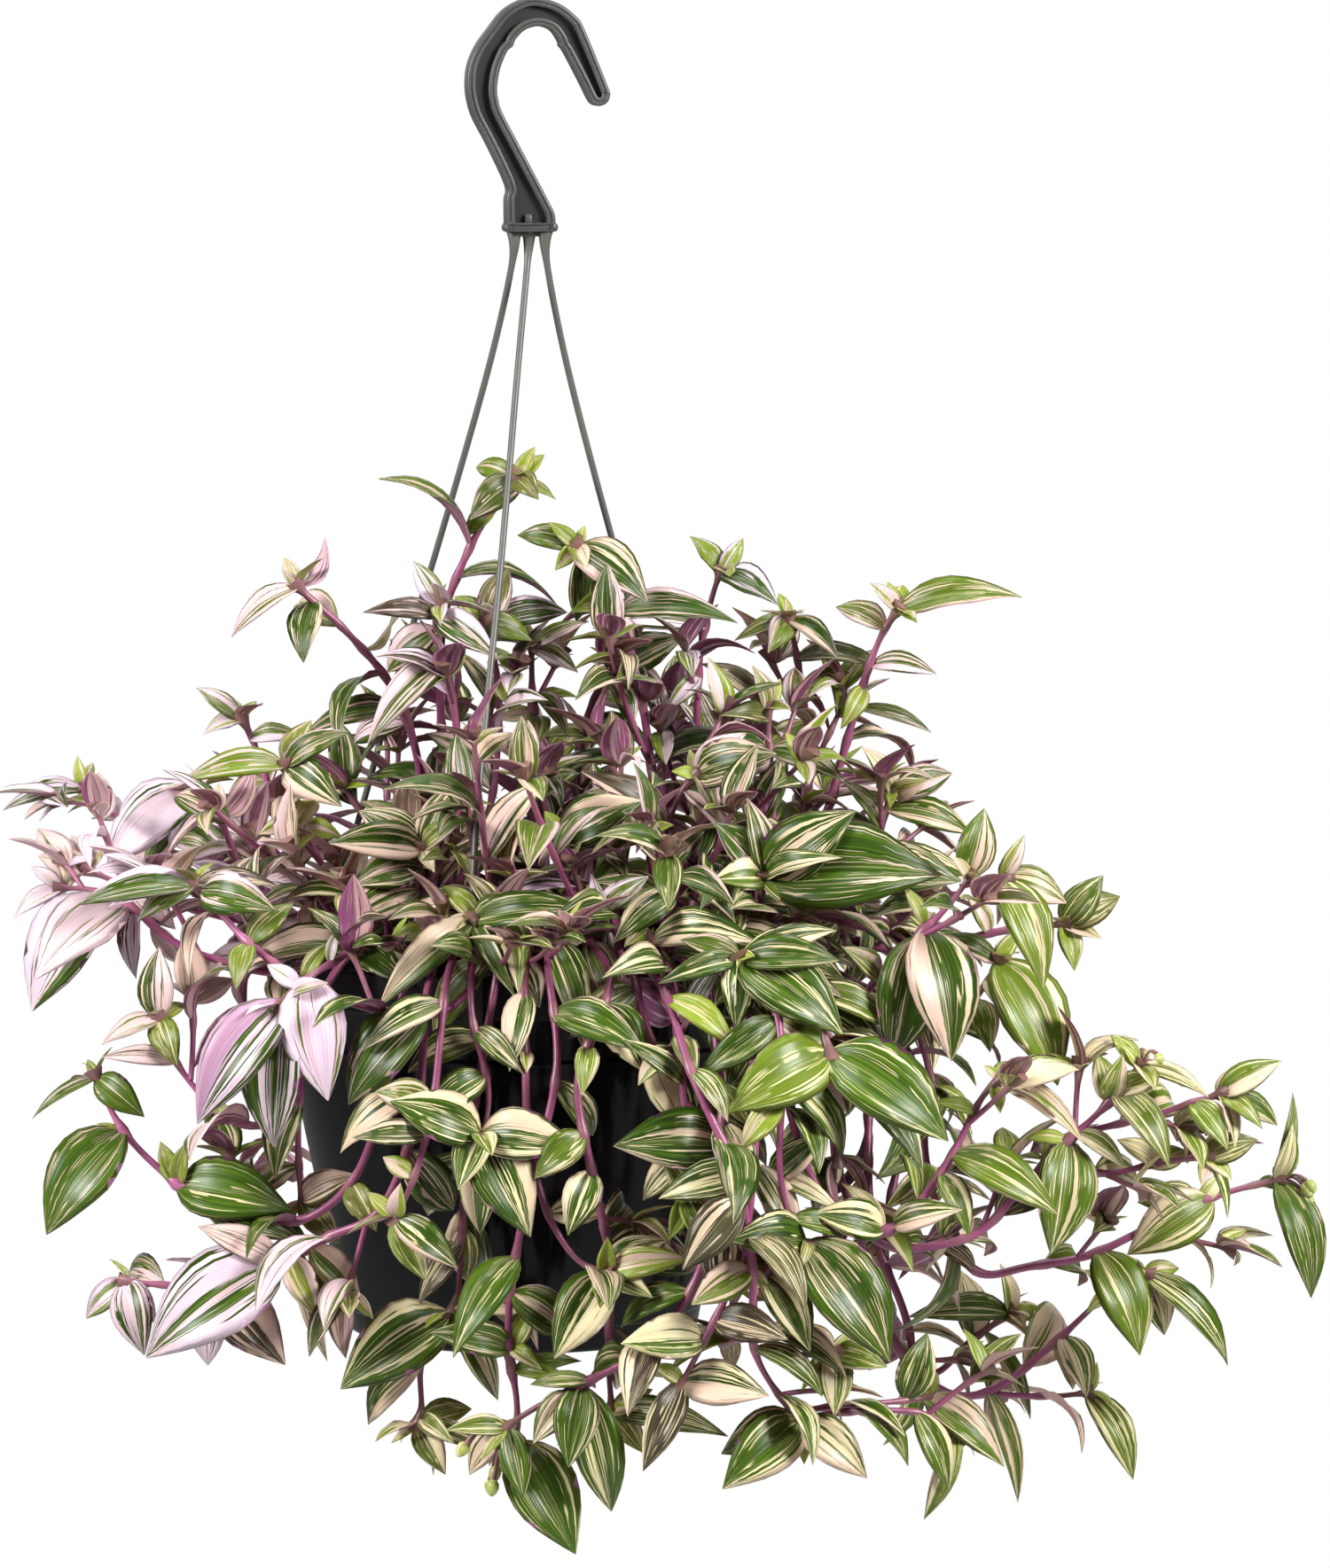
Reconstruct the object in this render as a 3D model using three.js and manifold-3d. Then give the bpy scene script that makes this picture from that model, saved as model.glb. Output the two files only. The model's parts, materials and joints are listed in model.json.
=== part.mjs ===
// A potted tradescantia that hangs from a one-piece plastic hanger.
// Millimetres, +Z up. The origin is the inner crown of the hook, where a rail or nail carries it.
// The front of the plant looks along -Y.

import * as THREE from 'three';
import { mergeVertices } from 'three/addons/utils/BufferGeometryUtils.js';
import Module from 'manifold-3d';

const wasm = await Module();
wasm.setup();

// Sizes of the pot
const potX = -5.3;
const potSides = 36;
const rimTop = -302.9;
const rimHeight = 13.5;
const rimRadius = 85;
const rimInnerRadius = 83.3;
const bodyTopRadius = 81.6;
const bodyFootRadius = 60.4;
const footStep = 0.7;
const footHeight = 8;
const footRadius = 58.2;
const potHeight = 127;
const potWall = 1.1;
const baseThickness = 1.4;
const drainHoles = 6;
const drainRadius = 4.5;
const drainRing = 40;

// Sizes of the soil
const soilTop = -317;
const soilGap = 0.3;
const soilSides = 18;
const holeSides = 4;
const rootDepth = 12;
const collarHeight = 7;
const holeGap = 0.35;

// Sizes of the hanger
const plateDepth = 7;
const webDepth = 2;
const ribWidth = 2.3;
const strandRadius = 1.08;
const strandSides = 6;
const clipGap = 0.35;
const clipWidth = 8;
const clipThickness = 1.9;

// Sizes of the plant
const sampleStep = 4;
const stemSides = 3;
const stemRadius = 2.1;
const shootRadius = 1.6;
const stemTolerance = 1.3;
const smallestLeaf = 23.5;
const stemClearance = 2;
const leafThickness = 1.15;
const leafClearance = 0.45;
const ownOverlap = 0.8;
const internode = 46;
const backInternode = 25;

// The front view: traced points are [x, y, depth], x to the right and y down in steps of viewScale
// in the plane of the pot's axis, depth in mm behind that plane, seen from the eye.
const viewScale = 0.2931;
const eye = { x: 42.2, y: -2600, z: 39.4 };
const viewCentre = { x: 750, y: -100 };

const up = new THREE.Vector3(0, 0, 1);
const vec = (x, y, z) => new THREE.Vector3(x, y, z);

function scaleAt(depth) {
  return (viewScale * (depth - eye.y)) / -eye.y;
}

function seen([x, y, depth]) {
  const s = scaleAt(depth);
  return vec(eye.x + (x - viewCentre.x) * s, depth, eye.z - (y - viewCentre.y) * s);
}

function inView(point) {
  const s = scaleAt(point.y);
  return [viewCentre.x + (point.x - eye.x) / s, viewCentre.y + (eye.z - point.z) / s];
}

// A seeded draw of numbers from 0 to 1
function draws(seed) {
  let state = (seed * 7919 + 17) % 2147483647;
  return () => {
    state = (state * 16807) % 2147483647;
    return state / 2147483647;
  };
}

// Closed geometry as a solid, and back
function solid(geometry) {
  const plain = geometry.index ? geometry.toNonIndexed() : geometry.clone();
  plain.deleteAttribute('normal');
  plain.deleteAttribute('uv');
  const merged = mergeVertices(plain, 1e-4);
  const triVerts = new Uint32Array(merged.index.array);
  const make = () => new wasm.Manifold(
    new wasm.Mesh({ numProp: 3, vertProperties: merged.attributes.position.array, triVerts }),
  );
  const first = make();
  if (first.volume() > 0) return first;
  for (let i = 0; i < triVerts.length; i += 3) {
    const kept = triVerts[i + 1];
    triVerts[i + 1] = triVerts[i + 2];
    triVerts[i + 2] = kept;
  }
  return make();
}

function largestBody(body) {
  const bodies = body.decompose();
  bodies.sort((a, b) => b.volume() - a.volume());
  return bodies[0];
}

const materials = {};

function material(name, color, roughness) {
  materials[name] ??= new THREE.MeshStandardMaterial({ color, roughness, metalness: 0 });
  return materials[name];
}

const group = new THREE.Group();

function addMesh(name, body, look) {
  const { vertProperties, triVerts } = body.getMesh();
  const geometry = new THREE.BufferGeometry();
  geometry.setAttribute('position', new THREE.Float32BufferAttribute(vertProperties, 3));
  geometry.setIndex(new THREE.Uint32BufferAttribute(triVerts, 1));
  geometry.computeVertexNormals();
  const mesh = new THREE.Mesh(geometry, look);
  mesh.name = name;
  group.add(mesh);
}

function turned(profile, sides) {
  const points = profile.map(([r, z]) => new THREE.Vector2(r, z));
  const geometry = new THREE.LatheGeometry(points, sides);
  geometry.rotateX(Math.PI / 2);
  geometry.translate(potX, 0, 0);
  return geometry;
}

// The pot: a thin tapered cup with a thicker rim band and drain holes
const potFoot = rimTop - potHeight;
const footTop = potFoot + footHeight;
const bandFoot = rimTop - rimHeight;

function makePot() {
  const outer = [
    [0, potFoot],
    [footRadius - 2.4, potFoot],
    [footRadius, potFoot + 2.4],
    [bodyFootRadius - footStep, footTop],
    [bodyFootRadius, footTop + 0.6],
    [bodyTopRadius, bandFoot],
    [rimRadius - 0.9, bandFoot],
    [rimRadius, rimTop - 1],
    [rimRadius - 0.5, rimTop],
  ];
  const inner = [
    [rimInnerRadius, rimTop],
    [rimInnerRadius - 0.6, bandFoot + 2],
    [bodyTopRadius - potWall, bandFoot - 1],
    [footRadius - potWall - 0.6, potFoot + baseThickness],
    [0, potFoot + baseThickness],
  ];
  let pot = solid(turned([...outer, ...inner], potSides));
  for (let i = 0; i < drainHoles; i += 1) {
    const angle = ((i + 0.5) / drainHoles) * Math.PI * 2;
    const hole = new THREE.CylinderGeometry(drainRadius, drainRadius, 6 * baseThickness, 8);
    hole.rotateX(Math.PI / 2);
    hole.translate(potX + drainRing * Math.cos(angle), drainRing * Math.sin(angle), potFoot);
    pot = pot.subtract(solid(hole));
  }
  return pot;
}

// The hanger: a flat hook with raised edge ribs, three strands and a clip at the end of each.
// The outlines are traced in the front view, at the pot's axis.
const hookOutline = [
  [569, 254], [571, 226], [571, 210], [550, 165], [535, 137], [529, 120], [526, 100], [528, 77],
  [537, 55], [550, 37], [567, 16], [587, 4], [605, 1], [630, 7.5], [650, 22], [660, 37.5], [686, 100],
  [688.5, 110], [685.5, 118], [677.5, 122], [670, 120.5], [664.5, 114], [655, 95], [637, 61], [631, 51],
  [622, 40.5], [610, 34.5], [595, 37.5], [582.5, 48], [576.5, 60], [568, 74], [561.5, 90], [560, 101],
  [561.5, 115], [566, 129], [584, 163], [626, 241], [628, 254],
];
const hookYaw = THREE.MathUtils.degToRad(12);
const baseBar = { left: 568, right: 629, top: 248, foot: 262 };

const strandRoutes = {
  left: [[580, 256, 0], [579, 296, 0], [551, 419, 8], [490, 630, 22], [455, 740, 31], [414.6, 888, 43]],
  front: [[598, 256, 0], [596, 296, 0], [584.6, 419, -14], [565, 640, -40], [538, 914, -72]],
  right: [[617, 256, 0], [617.5, 296, 0], [641.8, 419, 5], [690, 605, 12], [740, 780, 19]],
};
const strandAzimuth = { left: 140, front: -100, right: 20 };

function flat(points) {
  return points.map(([x, y]) => {
    const p = seen([x, y, 0]);
    return new THREE.Vector2(p.x, p.z);
  });
}

function inset(points, width) {
  const count = points.length;
  return points.map((point, i) => {
    const before = points[(i + count - 1) % count];
    const after = points[(i + 1) % count];
    const a = point.clone().sub(before).normalize();
    const b = after.clone().sub(point).normalize();
    const na = new THREE.Vector2(a.y, -a.x);
    const nb = new THREE.Vector2(b.y, -b.x);
    const n = na.add(nb).normalize();
    const lean = Math.max(0.6, n.dot(nb));
    return point.clone().addScaledVector(n, width / lean);
  });
}

function plate(shape, depth) {
  const geometry = new THREE.ExtrudeGeometry(shape, { depth, steps: 1, bevelEnabled: false });
  geometry.translate(0, 0, -depth / 2);
  geometry.rotateX(Math.PI / 2);
  return solid(geometry);
}

// A tube through given points, one ring to a point
class Polyline extends THREE.Curve {
  constructor(points) {
    super();
    this.points = points;
  }

  getPoint(t, target = new THREE.Vector3()) {
    const at = Math.min(Math.max(t, 0), 1) * (this.points.length - 1);
    const i = Math.min(Math.floor(at), this.points.length - 2);
    return target.lerpVectors(this.points[i], this.points[i + 1], at - i);
  }

  getPointAt(u, target) {
    return this.getPoint(u, target);
  }

  getTangentAt(u, target = new THREE.Vector3()) {
    const last = this.points.length - 1;
    const i = Math.round(u * last);
    const before = this.points[Math.max(i - 1, 0)];
    const after = this.points[Math.min(i + 1, last)];
    return target.copy(after).sub(before).normalize();
  }
}

function tube(points, radius, sides) {
  const corners = [];
  for (let i = 0; i < sides; i += 1) {
    const angle = ((i + 0.5) / sides) * Math.PI * 2;
    corners.push(new THREE.Vector2(radius * Math.cos(angle), radius * Math.sin(angle)));
  }
  const geometry = new THREE.ExtrudeGeometry(new THREE.Shape(corners), {
    steps: points.length - 1,
    bevelEnabled: false,
    extrudePath: new Polyline(points),
  });
  return solid(geometry);
}

function rimPoint(azimuth, radius, z) {
  const angle = THREE.MathUtils.degToRad(azimuth);
  return vec(potX + radius * Math.cos(angle), radius * Math.sin(angle), z);
}

// Each strand as its fixed line, from the hook's base bar to the clip on the rim
const strandLines = {};
for (const [name, route] of Object.entries(strandRoutes)) {
  const end = rimPoint(strandAzimuth[name], rimRadius + clipGap + 0.4, rimTop + 1.6);
  const line = route.map(seen);
  if (name === 'right') line.push(end.clone().lerp(line[line.length - 1], 0.5));
  line.push(end);
  strandLines[name] = line;
}

function makeClip(azimuth) {
  const inside = rimInnerRadius - 0.75;
  const outside = rimRadius + clipGap;
  const top = rimTop + clipGap + clipThickness;
  const profile = [
    [outside, bandFoot - clipGap],
    [rimRadius - 2.2, bandFoot - clipGap],
    [rimRadius - 1.2, bandFoot - 2.4],
    [outside + clipThickness, bandFoot - 2.4],
    [outside + clipThickness, top - 0.6],
    [outside + clipThickness - 0.6, top],
    [inside - 1.4, top],
    [inside - 1.4, rimTop - 5],
    [inside - 0.5, rimTop - 5.6],
    [inside, rimTop - 5],
    [inside, rimTop + clipGap],
    [outside, rimTop + clipGap],
  ];
  const shape = new THREE.Shape(profile.map(([r, z]) => new THREE.Vector2(r, z)));
  const geometry = new THREE.ExtrudeGeometry(shape, { depth: clipWidth, bevelEnabled: false });
  geometry.translate(0, 0, -clipWidth / 2);
  geometry.rotateX(Math.PI / 2);
  geometry.rotateZ(THREE.MathUtils.degToRad(azimuth));
  geometry.translate(potX, 0, 0);
  return solid(geometry);
}

function makeHanger() {
  const outline = flat(hookOutline);
  if (THREE.ShapeUtils.isClockWise(outline)) outline.reverse();
  const ribs = new THREE.Shape(outline);
  ribs.holes.push(new THREE.Path(inset(outline, -ribWidth)));
  const hook = plate(new THREE.Shape(outline), webDepth).add(plate(ribs, plateDepth));
  const corner = seen([baseBar.left, baseBar.foot, 0]);
  const opposite = seen([baseBar.right, baseBar.top, 0]);
  const bar = new THREE.BoxGeometry(opposite.x - corner.x, plateDepth, opposite.z - corner.z);
  bar.translate((opposite.x + corner.x) / 2, 0, (opposite.z + corner.z) / 2);
  const finTop = seen([595, 243, 0]);
  const fin = new THREE.BoxGeometry(2, plateDepth * 0.8, finTop.z - opposite.z + 1);
  fin.translate(finTop.x, 0, (finTop.z + opposite.z) / 2);
  let hanger = hook.add(solid(bar)).add(solid(fin));
  hanger = turnHook(hanger, hookYaw);
  for (const [name, line] of Object.entries(strandLines)) {
    hanger = hanger.add(tube(line, strandRadius, strandSides));
    const root = new THREE.CylinderGeometry(strandRadius * 2.1, strandRadius, 10, strandSides);
    root.rotateX(Math.PI / 2);
    root.scale(1, 1.15, 1);
    root.translate(line[0].x, line[0].y, corner.z - 4.2);
    hanger = hanger.add(solid(root));
    hanger = hanger.add(makeClip(strandAzimuth[name]));
  }
  return hanger;
}

function turnHook(body, angle) {
  const { vertProperties, triVerts } = body.getMesh();
  const geometry = new THREE.BufferGeometry();
  geometry.setAttribute('position', new THREE.Float32BufferAttribute(vertProperties, 3));
  geometry.setIndex(new THREE.Uint32BufferAttribute(triVerts, 1));
  geometry.rotateZ(angle);
  return solid(geometry);
}

// The plant. root is where a stem stands in the soil, [x, y] in mm from the pot's axis.
// A route is traced in the front view from near the rim to the tip. A leaf is
// [base x, base y, tip x, tip y, depth of the tip from its base, form, roll in degrees].
// side holds side shoots, each a route that starts on the stem.
const traced = {
  shoot_up_1: {
    root: [-22, 8],
    route: [[505, 900, 4], [497, 800, 0], [500, 700, -2], [520, 640, -5], [548, 585, -8], [590, 532, -10]],
    leaves: [[588, 534, 530, 586, -8, 6], [586, 536, 608, 563, -16, 2], [560, 570, 525, 604, 6, 2],
      [588, 532, 538, 526, 12, 1], [592, 530, 604, 503, 2, 5], [594, 531, 622, 520, 0, 5],
      [592, 530, 628, 563, -4, 4]],
  },
  shoot_up_2: {
    root: [44, -8],
    route: [[765, 1010, -15], [742, 930, -15], [733, 850, -12], [722, 780, -12], [706, 715, -12],
      [690, 665, -15], [665, 630, -18], [645, 610, -20]],
    leaves: [[650, 612, 731, 678, -10, 6], [640, 606, 584, 603, 5, 1], [642, 608, 626, 643, -8, 5],
      [642, 605, 618, 588, -2, 5], [645, 606, 660, 592, 3, 5], [697, 672, 643, 690, -10, 1],
      [703, 694, 832, 702, -6, 4], [656, 625, 650, 700, 6, 3]],
  },
  shoot_up_3: {
    root: [40, 20],
    route: [[790, 1000, 22], [785, 900, 18], [786, 800, 14], [790, 730, 10], [797, 695, 10],
      [808, 655, 8], [815, 638, 8]],
    leaves: [[815, 642, 778, 604, 4, 2], [815, 640, 838, 606, 4, 1], [818, 640, 877, 672, -12, 6],
      [793, 710, 672, 690, 8, 3], [790, 705, 768, 664, 6, 7], [789, 760, 752, 800, -10, 3]],
  },
  shoot_up_4: {
    root: [60, 24],
    route: [[908, 1000, 26], [912, 900, 24], [913, 840, 20], [905, 780, 18], [895, 720, 15],
      [886, 690, 15]],
    leaves: [[886, 692, 945, 742, -8, 3], [884, 694, 828, 722, -6, 4], [890, 702, 862, 742, -12, 2],
      [897, 745, 1003, 757, -4, 4], [912, 780, 945, 753, 6, 3], [890, 700, 878, 668, 6, 5],
      [912, 812, 845, 860, -8, 3]],
  },
  shoot_up_5: {
    root: [62, 4],
    route: [[925, 930, 4], [945, 870, 8], [965, 800, 8], [980, 750, 5], [997, 708, 4], [1018, 680, 0]],
    leaves: [[1018, 680, 1152, 673, 0, 4], [1018, 684, 1034, 702, -6, 5], [1014, 688, 980, 656, -4, 5],
      [1014, 686, 1000, 655, 4, 5], [1000, 704, 942, 684, 6, 6], [982, 750, 1056, 760, -4, 3],
      [975, 780, 948, 822, -8, 1], [966, 800, 1050, 826, 4, 7]],
  },
  shoot_up_left: {
    root: [-34, -4],
    route: [[480, 950, -8], [468, 840, -8], [440, 770, -12], [410, 732, -15], [375, 695, -18],
      [345, 670, -20], [332, 655, -20]],
    leaves: [[336, 658, 368, 604, 6, 6, 150], [334, 656, 262, 718, -6, 4], [350, 682, 343, 747, -14, 2],
      [410, 728, 442, 698, 4, 3, 150], [334, 654, 322, 628, 6, 5], [455, 800, 343, 828, -12, 4],
      [455, 810, 400, 838, 14, 1]],
  },
  shoot_up_6: {
    root: [-14, -18],
    route: [[505, 1010, -24], [517, 900, -26], [515, 820, -26], [505, 760, -26], [492, 710, -26],
      [500, 670, -26]],
    leaves: [[498, 672, 467, 632, 4, 5], [500, 668, 498, 702, -12, 5], [500, 690, 410, 690, -8, 4],
      [494, 712, 437, 758, 6, 6], [500, 690, 562, 742, -14, 1], [503, 750, 415, 840, -16, 4]],
    side: [{ route: [[508, 1010, -24], [548, 930, -20], [562, 840, -18], [562, 770, -18], [550, 692, -18]],
      leaves: [[552, 700, 574, 640, 8, 6], [552, 700, 513, 672, 6, 2], [554, 704, 600, 722, -12, 2],
      [562, 770, 578, 790, -8, 5], [552, 696, 640, 690, 10, 3]] }],
  },
  shoot_up_8: {
    root: [12, 10],
    route: [[640, 1020, 8], [610, 900, 6], [603, 830, 4], [600, 770, 2], [600, 720, 0]],
    leaves: [[600, 722, 652, 758, -8, 5], [600, 720, 570, 690, 2, 3], [600, 722, 665, 700, 2, 4],
      [602, 780, 640, 830, -10, 3], [603, 800, 560, 812, -4, 5], [604, 800, 605, 842, -14, 2],
      [602, 790, 650, 790, -10, 1]],
  },
  shoot_up_9: {
    root: [22, 18],
    route: [[660, 1010, 24], [650, 900, 22], [660, 820, 20], [678, 770, 16], [700, 750, 12]],
    leaves: [[690, 755, 772, 718, 0, 6], [664, 805, 740, 860, -10, 4], [655, 830, 605, 832, -8, 4],
      [692, 752, 755, 790, -8, 2], [670, 790, 720, 800, 8, 6]],
  },
  shoot_up_10: {
    root: [52, -16],
    route: [[855, 1010, -22], [872, 930, -20], [868, 860, -18], [866, 810, -16], [864, 790, -16]],
    leaves: [[864, 792, 848, 750, -4, 1], [864, 790, 880, 765, 4, 5], [862, 792, 790, 748, 6, 4],
      [866, 812, 800, 790, -8, 3], [868, 845, 778, 876, -14, 6], [868, 850, 952, 882, -6, 1],
      [868, 795, 892, 800, -10, 5]],
  },
  shoot_up_11: {
    root: [30, -30],
    route: [[720, 1030, -40], [745, 950, -42], [770, 890, -42], [790, 870, -42]],
    leaves: [[785, 880, 757, 870, -4, 6], [788, 876, 842, 826, 2, 6], [790, 880, 876, 850, -12, 6],
      [770, 895, 855, 985, -10, 4], [748, 940, 655, 870, -10, 3]],
  },
  shoot_up_right: {
    root: [64, -8],
    route: [[965, 1030, -12], [985, 960, -10], [1003, 905, -8], [1008, 888, -8]],
    leaves: [[1006, 892, 972, 842, -4, 1], [1010, 888, 1036, 868, -6, 6], [1008, 890, 1074, 872, 6, 6],
      [1008, 892, 1032, 918, -8, 3], [1004, 910, 1096, 942, 4, 3], [995, 930, 948, 880, 4, 3]],
  },
  cluster_right: {
    root: [50, -34],
    route: [[850, 1090, -70], [855, 1040, -76], [862, 1000, -80], [865, 982, -82]],
    leaves: [[866, 980, 965, 915, -8, 6], [870, 974, 1062, 988, -10, 6], [862, 985, 804, 1020, -10, 6],
      [864, 976, 806, 928, 2, 6], [868, 985, 950, 968, -16, 4], [866, 988, 915, 1035, -12, 2],
      [864, 975, 842, 900, 6, 3]],
    side: [{ route: [[856, 1035, -75], [905, 1040, -66], [948, 1012, -61], [966, 975, -60]],
      leaves: [[966, 985, 1085, 995, -6, 6], [968, 982, 1096, 990, 8, 1], [966, 978, 982, 935, 4, 2],
      [966, 985, 968, 1030, -10, 2], [964, 990, 895, 1015, -8, 4]] }],
  },
  cluster_left: {
    root: [-26, -34],
    route: [[478, 1090, -60], [470, 1030, -62], [472, 980, -64], [478, 948, -66]],
    leaves: [[480, 946, 372, 952, -8, 1], [482, 944, 530, 925, -4, 3], [480, 946, 405, 915, 4, 6],
      [478, 950, 490, 985, -8, 2], [472, 975, 398, 1000, -8, 6], [470, 1000, 385, 1055, -10, 2],
      [484, 940, 520, 880, 4, 1]],
  },
  cluster_middle: {
    root: [-4, -34],
    route: [[560, 1085, -58], [552, 1050, -70], [536, 1042, -84], [530, 1048, -90]],
    leaves: [[534, 1050, 525, 1118, -8, 2], [536, 1046, 500, 1040, -2, 5], [538, 1044, 678, 1032, -8, 4],
      [545, 1040, 500, 1000, 4, 2], [540, 1040, 600, 1000, 4, 2], [528, 1052, 445, 1155, -14, 4],
      [532, 1060, 500, 1170, -12, 7]],
    side: [{ route: [[575, 1095, -38], [625, 1060, -52], [640, 1010, -62], [632, 960, -64],
      [630, 938, -64]],
      leaves: [[632, 936, 725, 903, -4, 6], [630, 938, 580, 945, -6, 2], [634, 950, 710, 975, -6, 4],
      [640, 1010, 645, 1000, -10, 2], [640, 1020, 566, 985, -8, 1], [646, 1050, 580, 1090, -8, 3]] }],
  },
  stem_purple_fold: {
    root: [18, -42],
    route: [[700, 1075, -78], [740, 1125, -104], [772, 1150, -110], [815, 1158, -112]],
    leaves: [[772, 1138, 736, 1046, 8, 6, 160], [776, 1140, 846, 1096, -2, 4],
      [812, 1156, 860, 1200, -10, 1]],
    side: [{ route: [[706, 1080, -80], [690, 1040, -78], [682, 1024, -78]],
      leaves: [[684, 1026, 664, 992, -4, 5], [684, 1028, 724, 980, 2, 1], [690, 1040, 762, 970, 4, 4],
      [694, 1050, 740, 1120, -10, 7], [690, 1040, 610, 1075, -10, 1]] }],
  },
  star_front: {
    root: [38, -40],
    route: [[800, 1060, -84], [822, 1068, -100], [838, 1088, -112]],
    leaves: [[840, 1092, 828, 1168, -8, 2], [838, 1088, 770, 1058, -4, 1], [834, 1092, 742, 1112, -8, 4],
      [845, 1092, 952, 1170, -10, 6], [848, 1088, 948, 1085, -6, 3], [842, 1086, 945, 1045, 2, 4],
      [840, 1088, 852, 1080, -8, 5]],
  },
  pair_front: {
    root: [50, -43],
    route: [[880, 1090, -92], [920, 1140, -116], [938, 1200, -122]],
    leaves: [[938, 1208, 817, 1266, -10, 6], [944, 1202, 1071, 1292, -8, 6], [940, 1212, 958, 1262, -10, 5],
      [930, 1180, 868, 1160, 4, 6], [935, 1195, 780, 1232, 6, 6]],
    side: [{ route: [[936, 1220, -120], [945, 1270, -122], [946, 1320, -120]], leaves: [] }],
  },
  stem_front_1: {
    root: [22, -52],
    route: [[722, 1095, -96], [735, 1180, -112], [790, 1270, -120], [830, 1305, -122], [880, 1340, -122]],
    leaves: [[722, 1180, 794, 1288, -12, 6], [822, 1290, 696, 1320, -14, 6], [884, 1338, 858, 1382, -10, 2],
      [884, 1336, 945, 1282, 4, 1], [886, 1340, 952, 1376, -6, 4], [882, 1342, 908, 1328, -6, 5],
      [850, 1320, 905, 1410, -12, 3]],
  },
  stem_front_2: {
    root: [31, -45],
    route: [[755, 1098, -100], [765, 1200, -116], [785, 1330, -124], [778, 1365, -128]],
    leaves: [[778, 1368, 842, 1415, -12, 3], [776, 1366, 745, 1310, 4, 2], [780, 1370, 755, 1405, -10, 5],
      [768, 1220, 700, 1175, -6, 4], [782, 1330, 822, 1345, -8, 5], [782, 1300, 725, 1360, 6, 3]],
  },
  stem_front_3: {
    root: [-14, -48],
    route: [[528, 1098, -96], [530, 1150, -108], [548, 1215, -112], [550, 1260, -114], [538, 1295, -118]],
    leaves: [[540, 1296, 438, 1246, -6, 6], [540, 1292, 652, 1305, -2, 6], [542, 1300, 597, 1402, -10, 6],
      [536, 1298, 540, 1362, -12, 2], [534, 1300, 540, 1398, 6, 3], [548, 1210, 470, 1250, -6, 2],
      [532, 1170, 590, 1215, -8, 3]],
  },
  stem_front_4: {
    root: [-2, -54],
    route: [[590, 1100, -98], [592, 1200, -114], [596, 1300, -118], [616, 1375, -120],
      [655, 1435, -124], [694, 1444, -128]],
    leaves: [[696, 1446, 624, 1542, -8, 6], [694, 1440, 752, 1405, 4, 6], [700, 1448, 736, 1472, -10, 5],
      [704, 1450, 778, 1427, -2, 3], [694, 1440, 685, 1402, -6, 5], [592, 1190, 575, 1210, -8, 5],
      [600, 1120, 574, 1212, -14, 3], [605, 1320, 650, 1310, -6, 2], [620, 1380, 690, 1370, 4, 2]],
  },
  stem_front_5: {
    root: [-8, -58],
    route: [[560, 1100, -100], [535, 1250, -104], [520, 1390, -106], [514, 1480, -106], [500, 1498, -107]],
    leaves: [[502, 1492, 381, 1577, -8, 6], [516, 1485, 632, 1490, -6, 4], [572, 1395, 524, 1452, 4, 6],
      [514, 1488, 560, 1590, 4, 4], [520, 1400, 470, 1480, -4, 3]],
    side: [{ route: [[502, 1496, -107], [472, 1535, -108], [474, 1610, -106], [466, 1626, -106]],
      leaves: [[468, 1624, 438, 1640, 0, 4], [470, 1622, 500, 1676, -8, 2], [474, 1618, 560, 1650, -6, 4],
        [474, 1612, 530, 1600, 6, 2], [472, 1610, 510, 1640, -14, 3]] }],
  },
  stem_front_6: {
    root: [4, -60],
    route: [[618, 1100, -104], [628, 1210, -118], [600, 1330, -122], [576, 1450, -122],
      [572, 1530, -122], [582, 1590, -120], [580, 1648, -118]],
    leaves: [[580, 1650, 648, 1768, -8, 6], [578, 1648, 525, 1645, -4, 2], [576, 1532, 482, 1512, -6, 1],
      [574, 1534, 600, 1480, 4, 6], [578, 1560, 650, 1572, -6, 4], [580, 1560, 655, 1545, 2, 4],
      [574, 1530, 610, 1555, -8, 1]],
  },
  stem_front_7: {
    root: [20, -60],
    route: [[690, 1100, -106], [672, 1160, -118], [650, 1230, -122], [670, 1340, -126],
      [690, 1440, -116], [685, 1520, -118], [690, 1612, -118]],
    leaves: [[692, 1618, 727, 1652, -6, 2], [692, 1614, 822, 1632, -6, 4], [688, 1600, 740, 1586, 4, 1],
      [688, 1600, 720, 1600, -8, 5], [672, 1190, 655, 1240, -10, 1], [668, 1330, 640, 1400, -8, 6],
      [655, 1280, 605, 1340, 4, 2]],
  },
  stem_front_8: {
    root: [34, -54],
    route: [[792, 1100, -104], [808, 1180, -122], [815, 1310, -132], [790, 1440, -134],
      [735, 1525, -134], [655, 1572, -132], [600, 1600, -130], [562, 1626, -130]],
    leaves: [[655, 1574, 640, 1668, -8, 6], [658, 1574, 693, 1724, -2, 3], [640, 1582, 600, 1640, -6, 2],
      [660, 1568, 600, 1575, 6, 4], [565, 1626, 500, 1625, -4, 3], [570, 1622, 540, 1660, -6, 4],
      [810, 1230, 855, 1270, -6, 5]],
  },
  stem_front_9: {
    root: [42, -50],
    route: [[822, 1100, -102], [848, 1190, -124], [852, 1300, -134], [835, 1430, -138],
      [790, 1530, -138], [765, 1578, -136]],
    leaves: [[765, 1578, 735, 1548, 0, 2], [764, 1582, 725, 1672, -6, 3], [770, 1578, 868, 1585, -6, 6],
      [790, 1520, 700, 1525, -8, 6], [830, 1440, 865, 1500, -4, 6], [836, 1410, 800, 1350, 4, 2],
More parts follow.
